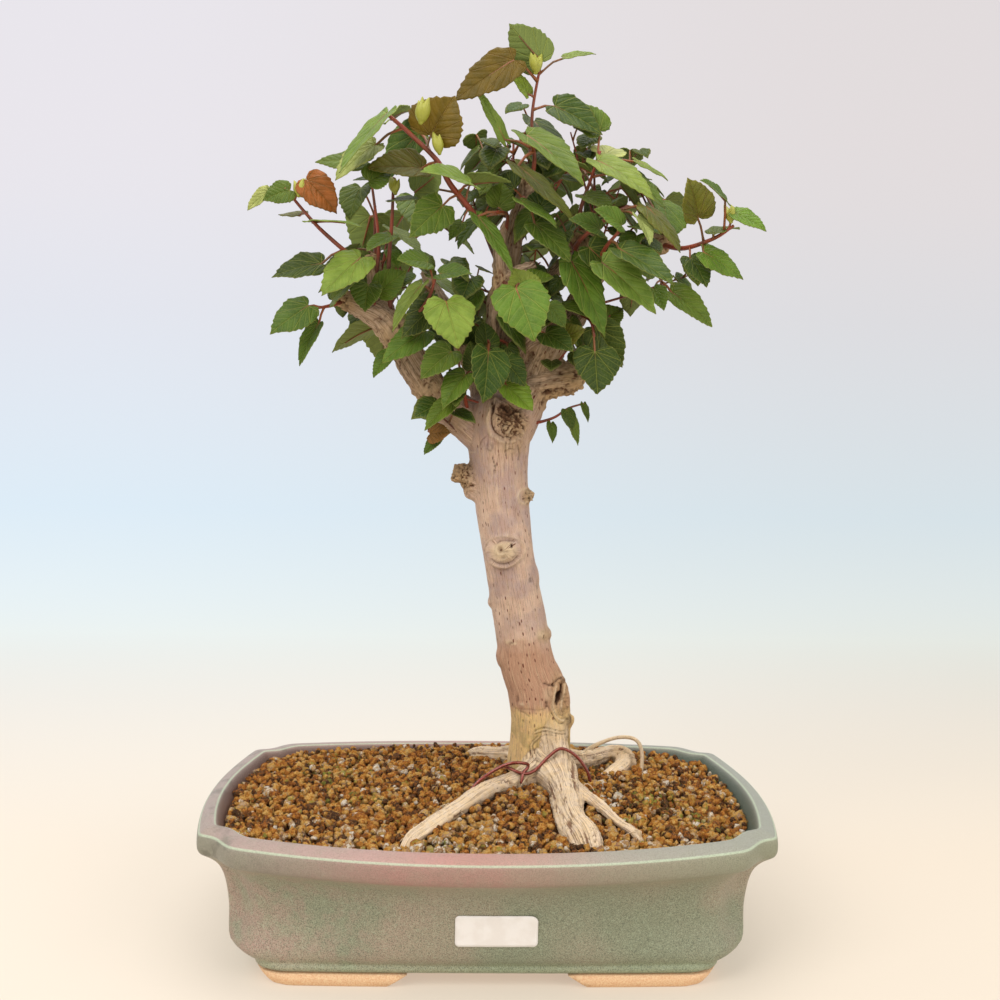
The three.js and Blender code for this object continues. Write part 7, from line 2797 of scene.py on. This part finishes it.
@dataclass
class Blade:
    """The leaf blade's blank: a toothed heart in the leaf's own plane, closed, with its UV map."""

    margin: int = 52
    rings: tuple[float, ...] = (0.94, 0.76, 0.50, 0.24)
    heart: tuple[Plan, ...] = (
        (0.0, 0.0), (0.09, -0.075), (0.215, -0.115), (0.36, -0.065), (0.462, 0.07), (0.498, 0.22),
        (0.472, 0.40), (0.385, 0.585), (0.255, 0.755), (0.125, 0.885), (0.045, 0.955), (0.0, 1.0),
    )
    hub: Plan = (0.0, 0.06)

    def outline(self) -> list[Plan]:
        """Returns the toothed margin, from the notch round the right side to the tip and back."""
        fine = np.array(through([(x, y, 0.0) for x, y in self.heart], 0.004))
        steps = np.concatenate([[0], np.cumsum(np.linalg.norm(np.diff(fine[:, :2], axis=0), axis=1))])
        half = self.margin // 2
        side = []
        for k in range(half + 1):
            share = k / half
            x = float(np.interp(share * steps[-1], steps, fine[:, 0]))
            y = float(np.interp(share * steps[-1], steps, fine[:, 1]))
            if 2 < k < half - 1:
                out = 0.032 if k % 2 else -0.016
                fade = min(1.0, (k - 2) / 4)
                side.append((x * (1 + out * fade), y + (0.016 if k % 2 else -0.004) * fade))
            else:
                side.append((max(x, 0.0), y))
        return side + [(-x, y) for x, y in side[-2:0:-1]]

    def blank(self) -> Mesh:
        """Builds the blank: its z is 0 on the upper face and -1 on the lower.

        Returns:
            The mesh.
        """
        work = bmesh.new()
        outline = self.outline()
        hub = Vector((*self.hub, 0))
        rings = [[Vector((x, y, 0)) for x, y in outline]]
        for share in self.rings:
            rings.append([hub + (p - hub) * share for p in rings[0]])
        made = stack_rings(work, rings)
        close_ring(work, made[-1], Vector())
        bmesh.ops.recalc_face_normals(work, faces=work.faces)
        if sum(face.normal.z for face in work.faces) > 0:
            bmesh.ops.reverse_faces(work, faces=work.faces)
        lower = bmesh.ops.extrude_face_region(work, geom=work.faces[:])["geom"]
        for vert in lower:
            if isinstance(vert, BMVert):
                vert.co.z = -1.0
        bmesh.ops.recalc_face_normals(work, faces=work.faces)
        layer = work.loops.layers.uv.new("leaf")
        for face in work.faces:
            for loop in face.loops:
                loop[layer].uv = (loop.vert.co.x + 0.5, (loop.vert.co.y + 0.15) / 1.3)
        LOG.info("blade blank: %d faces", len(work.faces))
        mesh = own_mesh("blade", work)
        flat = places_of(mesh)[:, :2]
        gaps = np.linalg.norm(flat[:, None] - np.array(outline)[None], axis=2).min(axis=1)
        mark(mesh, "edge", (gaps < 1e-5).astype(float))
        return mesh


@dataclass
class Foliage:
    """All the leafy shoots, each a piece of blades and a piece of stems, stalks and buds."""

    blade: Blade
    small_blade: Blade
    thickness: float = 0.42
    tone_spread: float = 0.12
    midrib: tuple[Plan, ...] = ((0.18, 0.85), (0.42, 0.6), (0.68, 0.38))
    bud: tuple[Plan, ...] = ((0.0, 0.25), (0.25, 1.0), (0.55, 1.15), (0.82, 0.6), (1.0, 0.12))
    shoots: list[Shoot] = field(default_factory=list)
    sprays: list[Shoot] = field(default_factory=list)

    def grow(self) -> None:
        """Reads the shoots from their tables and places every leaf."""
        self.shoots = [Shoot.from_row(row) for row in SHOOTS]
        self.shoots += [Shoot.grown(rule) for rule in BACK_SHOOTS]
        taken = place_leaves(self.shoots, wood_points(), first=0, most=8, least=-math.inf)
        for number, tip in enumerate(SPRAYS):
            spray = Shoot.spray(tip, number, taken)
            taken = place_leaves([spray], taken, first=len(self.shoots) + number, most=3, least=-1.2)
            self.sprays.append(spray)

    def blades(self, shoot: Shoot, blank: Mesh, draws: Draws) -> Mesh:
        """Bends copies of the blank into a shoot's leaves.

        Args:
            shoot: The shoot.
            blank: The blade's blank.
            draws: The stream of numbers for the leaves' small differences.

        Returns:
            The mesh, in metres, with its attributes leaf_tone, redness and underside.
        """
        mesh = copies_of(blank, len(shoot.placed))
        flat = places_of(blank)
        u, v, lower = flat[:, 0], flat[:, 1], flat[:, 2] < -0.5
        rim = np.empty(len(flat))
        blank.attributes["edge"].data.foreach_get("value", rim)
        round_it = np.arctan2(u, v - 0.38)
        rows, tones, reds = [], [], []
        for spot in shoot.placed:
            skew = draws.aside(0.10)
            phase = FULL_TURN * draws.next()
            curl = draws.over(0.05, 0.09)
            cup = draws.over(0.7, 0.5)
            spot.fold = draws.over(0.18, 0.26)
            spot.arch = draws.over(0.10, 0.14)
            first, second = FULL_TURN * draws.next(), FULL_TURN * draws.next()
            ragged = 0.022 * np.sin(7 * round_it + first) + 0.016 * np.sin(19 * round_it + second)
            wider = 1 + rim * (ragged + 0.012 * np.sin(33 * round_it + first + second))
            bent_u = u * wider + skew * v * v
            bent_v = 0.38 + (v - 0.38) * wider
            points = spot.points(bent_u, bent_v)
            away = np.abs(u) * 2
            ray = np.arctan2(np.abs(u), v + 0.02)
            edge = np.clip(np.hypot(u * 2, (v - 0.35) * 1.5) - 0.55, 0, 1)
            ripple = 0.030 * edge * np.sin(9 * ray + phase) * spot.length
            quilt = 0.009 * spot.width * np.cos(ray * 6.0) * np.clip(away * 2, 0, 1)
            bow = -curl * away**2 * spot.width * cup
            tip = -0.10 * np.clip(v - 0.6, 0, 1) ** 2 * spot.length * 4 * curl
            relief = ripple + quilt + bow + tip
            rows.append(points + np.outer(relief - lower * self.thickness, spot.face))
            shade = 1 + draws.aside(self.tone_spread * 2)
            hue = draws.aside(0.04)
            red, green, blue = spot.leaf.tone.value
            colour = linear((clamp(red * shade + hue), clamp(green * shade), clamp(blue * shade)))
            tones.append(np.tile(colour[:3], (len(u), 1)))
            warm = spot.leaf.tone in WARM_TONES
            reds.append(np.full(len(u), 0.75 if warm else 0.12))
        place(mesh, np.vstack(rows) * MM)
        mark(mesh, "leaf_tone", np.vstack(tones))
        mark(mesh, "redness", np.concatenate(reds))
        mark(mesh, "underside", np.tile(lower.astype(float), len(shoot.placed)))
        return mesh

    def twigs(self, shoot: Shoot, draws: Draws) -> Mesh:
        """Builds a shoot's stem, its stalks with their midribs, and its buds.

        Args:
            shoot: The shoot.
            draws: The stream of numbers for small differences.

        Returns:
            The mesh, in metres, with its attribute youth.
        """
        last = len(shoot.stem) - 1
        stem_rows = [(*p, shoot.radius * 0.92 * (1 - 0.5 * i / last)) for i, p in enumerate(shoot.stem)]
        stem = Tube(stem_rows, 8, 0.03, draws.next() * 6, step=3.0)
        stalks = []
        for spot in shoot.placed:
            root, middle, inside = stalk_line(shoot.stem, spot)
            slim = 0.46 + 0.010 * spot.length
            notch = spot.points(np.array([0.0]), np.array([0.0]))[0] - spot.face * (self.thickness + 0.1)
            rows = [
                (*root, slim * 1.5), (*root.lerp(middle, 0.35), slim * 1.05), (*middle, slim),
                (*middle.lerp(Vector(notch), 0.6), slim * 0.95), (*notch, slim),
            ]
            for share, thin in self.midrib:
                under = spot.points(np.array([0.0]), np.array([share]))[0]
                rows.append((*(under - spot.face * (self.thickness + 0.12)), slim * thin))
            stalks.append(Tube(rows, 6, step=3.5))
        buds = []
        for bud in shoot.buds:
            for _ in range(4):
                lean = Vector((draws.next() - 0.5, draws.next() - 0.5, 1.1)).normalized()
                size = (2.2 + 1.6 * shoot.radius) * draws.over(0.8, 0.4)
                start = bud - lean * 2.0
                rows = []
                for share, wide in self.bud:
                    rows.append((*(start + lean * size * 2.2 * share), 0.38 * size * wide))
                buds.append(Tube(rows, 8, 0.08, draws.next() * 6, step=1.2))
        meshes = []
        for youth, tubes in ((0.0, [stem]), (0.10, stalks), (0.92, buds)):
            if tubes:
                meshes.append(tubes_mesh("twigs", tubes))
                mark(meshes[-1], "youth", np.full(len(meshes[-1].vertices), youth))
        return joined_mesh("twigs", meshes)

    def build(self, leaf: Material, stalk: Material) -> list[Object]:
        """Builds every shoot.

        Args:
            leaf: The blades' finish.
            stalk: The finish of stems, stalks and buds.

        Returns:
            The pieces.
        """
        blank = self.blade.blank()
        draws = Draws(404)
        pieces = []
        for shoot in self.shoots:
            node = "shoot_" + shoot.name
            blades = self.blades(shoot, blank, draws)
            pieces.append(finished("leaves_" + shoot.name, blades, leaf, [node]))
            pieces.append(finished("twigs_" + shoot.name, self.twigs(shoot, draws), stalk))
        small = self.small_blade.blank()
        leafy = [spray for spray in self.sprays if len(spray.placed) > 1]
        blades = joined_mesh("blades", [self.blades(spray, small, draws) for spray in leafy])
        pieces.append(finished("leaves_inner", blades, leaf))
        twigs = joined_mesh("twigs", [self.twigs(spray, draws) for spray in leafy])
        pieces.append(finished("twigs_inner", twigs, stalk))
        return pieces


# Studio


@dataclass
class Studio:
    """A plain pale floor that curves up into a backdrop, soft light from both sides, and the camera."""

    camera_at: Point = (-12.9, -694.8, 293.9)
    lens: float = 43.45
    down: float = 3.98
    yaw: float = -1.48
    roll: float = 0.87
    stops: Stops = (
        (0.37, (0.990, 0.950, 0.890)), (0.44, (0.975, 0.970, 0.945)), (0.50, (0.965, 0.995, 0.990)),
        (0.60, (0.895, 0.955, 1.000)), (0.70, (0.920, 0.930, 0.965)), (0.76, (0.942, 0.930, 0.955)),
    )
    floor_base: float = 0.45
    wall_base: float = 0.04
    floor_glow: float = 0.42
    wall_glow: float = 0.90
    room: Colour = (1.0, 0.965, 0.94)
    room_light: float = 0.50
    lamps: tuple[tuple[str, Point, Point, float, float, Colour], ...] = (
        ("key", (-750, -900, 1150), (0, 0, 200), 0.9, 13.0, (1.0, 0.95, 0.905)),
        ("fill", (950, -850, 800), (0, 0, 150), 1.1, 8.2, (1.0, 0.945, 0.905)),
        ("top", (0, 100, 1500), (0, 0, 0), 1.2, 12.5, (1.0, 0.97, 0.95)),
    )
    sheet_reach: float = 4000.0
    floor_front: float = -2200.0
    curve_starts: float = 900.0
    curve_radius: float = 700.0
    wall_top: float = 3200.0

    def backdrop_material(self) -> Material:
        """Builds the backdrop's finish: its colour changes along the sheet, and it glows as painted light,
        the floor in part and the wall almost wholly.

        Returns:
            The material.
        """
        material, wiring, shader = new_material("backdrop_paper")
        along = wiring.attribute("along")
        x = wiring.parts(wiring.millimetres())[0]
        colour = wiring.ramp(along, self.stops)
        colour = wiring.mix(wiring.rise(x, -800.0, 800.0), colour, (0.935, 0.908, 0.865, 1.0), "MULTIPLY")
        wall = wiring.rise(along, 0.42, 0.56)
        black = (0.0, 0.0, 0.0, 1.0)
        base = wiring.line(wall, self.wall_base - self.floor_base, self.floor_base)
        glow = wiring.line(wall, self.wall_glow - self.floor_glow, self.floor_glow)
        wiring.dress(shader, {
            "Base Color": wiring.mix(base, black, colour),
            "Roughness": 0.95,
            "Specular IOR Level": 0.0,
            "Emission Color": wiring.mix(glow, black, colour),
            "Emission Strength": 1.0,
        })
        return material

    def backdrop(self) -> Object:
        """Builds floor and wall as one curved sheet.

        Returns:
            The sheet.
        """
        work = bmesh.new()
        layer = work.verts.layers.float.new("along")
        bmesh.ops.create_grid(work, x_segments=2, y_segments=80, size=1.0)
        for vert in work.verts:
            along = (vert.co.y + 1) / 2
            vert[layer] = along
            turn = clamp((along - 0.5) / 0.25) * math.pi / 2
            y = self.curve_starts + self.curve_radius * math.sin(turn)
            z = self.curve_radius * (1 - math.cos(turn))
            if along < 0.5:
                y = lerp(self.floor_front, self.curve_starts, along / 0.5)
            elif along >= 0.75:
                z = lerp(self.curve_radius, self.wall_top, (along - 0.75) / 0.25)
            vert.co = Vector((vert.co.x * self.sheet_reach, y, z)) * MM
        bmesh.ops.recalc_face_normals(work, faces=work.faces)
        mesh = own_mesh("backdrop", work)
        if mesh.polygons[0].normal.z < 0:
            mesh.flip_normals()
        mesh.materials.append(self.backdrop_material())
        sheet = add_to_scene(bpy.data.objects.new("backdrop", mesh))
        return sheet

    def lamp(self, name: str, at: Point, target: Point, size: float, power: float, colour: Colour) -> None:
        """Adds a soft square lamp.

        Args:
            name: The lamp's name.
            at: Its place in millimetres.
            target: What it looks at.
            size: Its side in metres.
            power: Its power in watts.
            colour: Its colour.
        """
        data = bpy.data.lights.new(name, "AREA")
        data.shape = "SQUARE"
        data.size = size
        data.energy = power
        data.color = colour
        lamp = add_to_scene(bpy.data.objects.new(name, data))
        lamp.location = Vector(at) * MM
        lamp.rotation_euler = (Vector(target) - Vector(at)).to_track_quat("-Z", "Y").to_euler()

    def build(self) -> None:
        """Builds the backdrop, the lights and the camera."""
        scene = bpy.context.scene
        self.backdrop()
        world = bpy.data.worlds.new("soft_room")
        world.use_nodes = True
        background = world.node_tree.nodes["Background"]
        background.inputs["Color"].default_value = (*self.room, 1)
        background.inputs["Strength"].default_value = self.room_light
        scene.world = world
        for row in self.lamps:
            self.lamp(*row)
        data = bpy.data.cameras.new("camera")
        data.lens = self.lens
        data.sensor_width = 36.0
        data.clip_end = 20
        camera = add_to_scene(bpy.data.objects.new("camera", data))
        turned = (
            Matrix.Rotation(math.radians(self.yaw), 4, "Z")
            @ Matrix.Rotation(math.radians(90 - self.down), 4, "X")
            @ Matrix.Rotation(math.radians(self.roll), 4, "Z")
        )
        camera.matrix_world = Matrix.Translation(Vector(self.camera_at) * MM) @ turned
        scene.camera = camera
        scene.view_settings.view_transform = "Standard"
        scene.view_settings.look = "None"
        LOG.info("studio: backdrop, three lamps, camera")


def main() -> None:
    """Builds every part of the bonsai in order, then the studio."""
    logging.basicConfig(level=logging.INFO, format="%(message)s")
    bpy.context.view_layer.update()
    mottle = mottle_group()
    streaks = streak_group()
    bark = BarkFinish().material(mottle, streaks)
    grains = SoilFinish().material(mottle)
    pot = Pot()
    pot.build(GlazeFinish().material(mottle))
    paper = PlainFinish("label_paper", (0.94, 0.93, 0.92), (0.90, 0.88, 0.86), 0.55, 0.00004)
    plastic = PlainFinish("net_plastic", (0.16, 0.17, 0.18), (0.22, 0.22, 0.23), 0.5, 0.0001)
    Label(pot).build(paper.material(mottle))
    Nets().dress(plastic.material(mottle))
    wood = Wood().build(bark)
    HairRoots().build(bark)
    Soil(pot).build(grains, wood)
    Wire().build(WireFinish().material(mottle))
    foliage = Foliage(Blade(), Blade(margin=24, rings=(0.66, 0.3)))
    foliage.grow()
    foliage.build(LeafFinish().material(mottle), StalkFinish().material(streaks))
    Studio().build()
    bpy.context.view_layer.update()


if __name__ == "__main__":
    main()
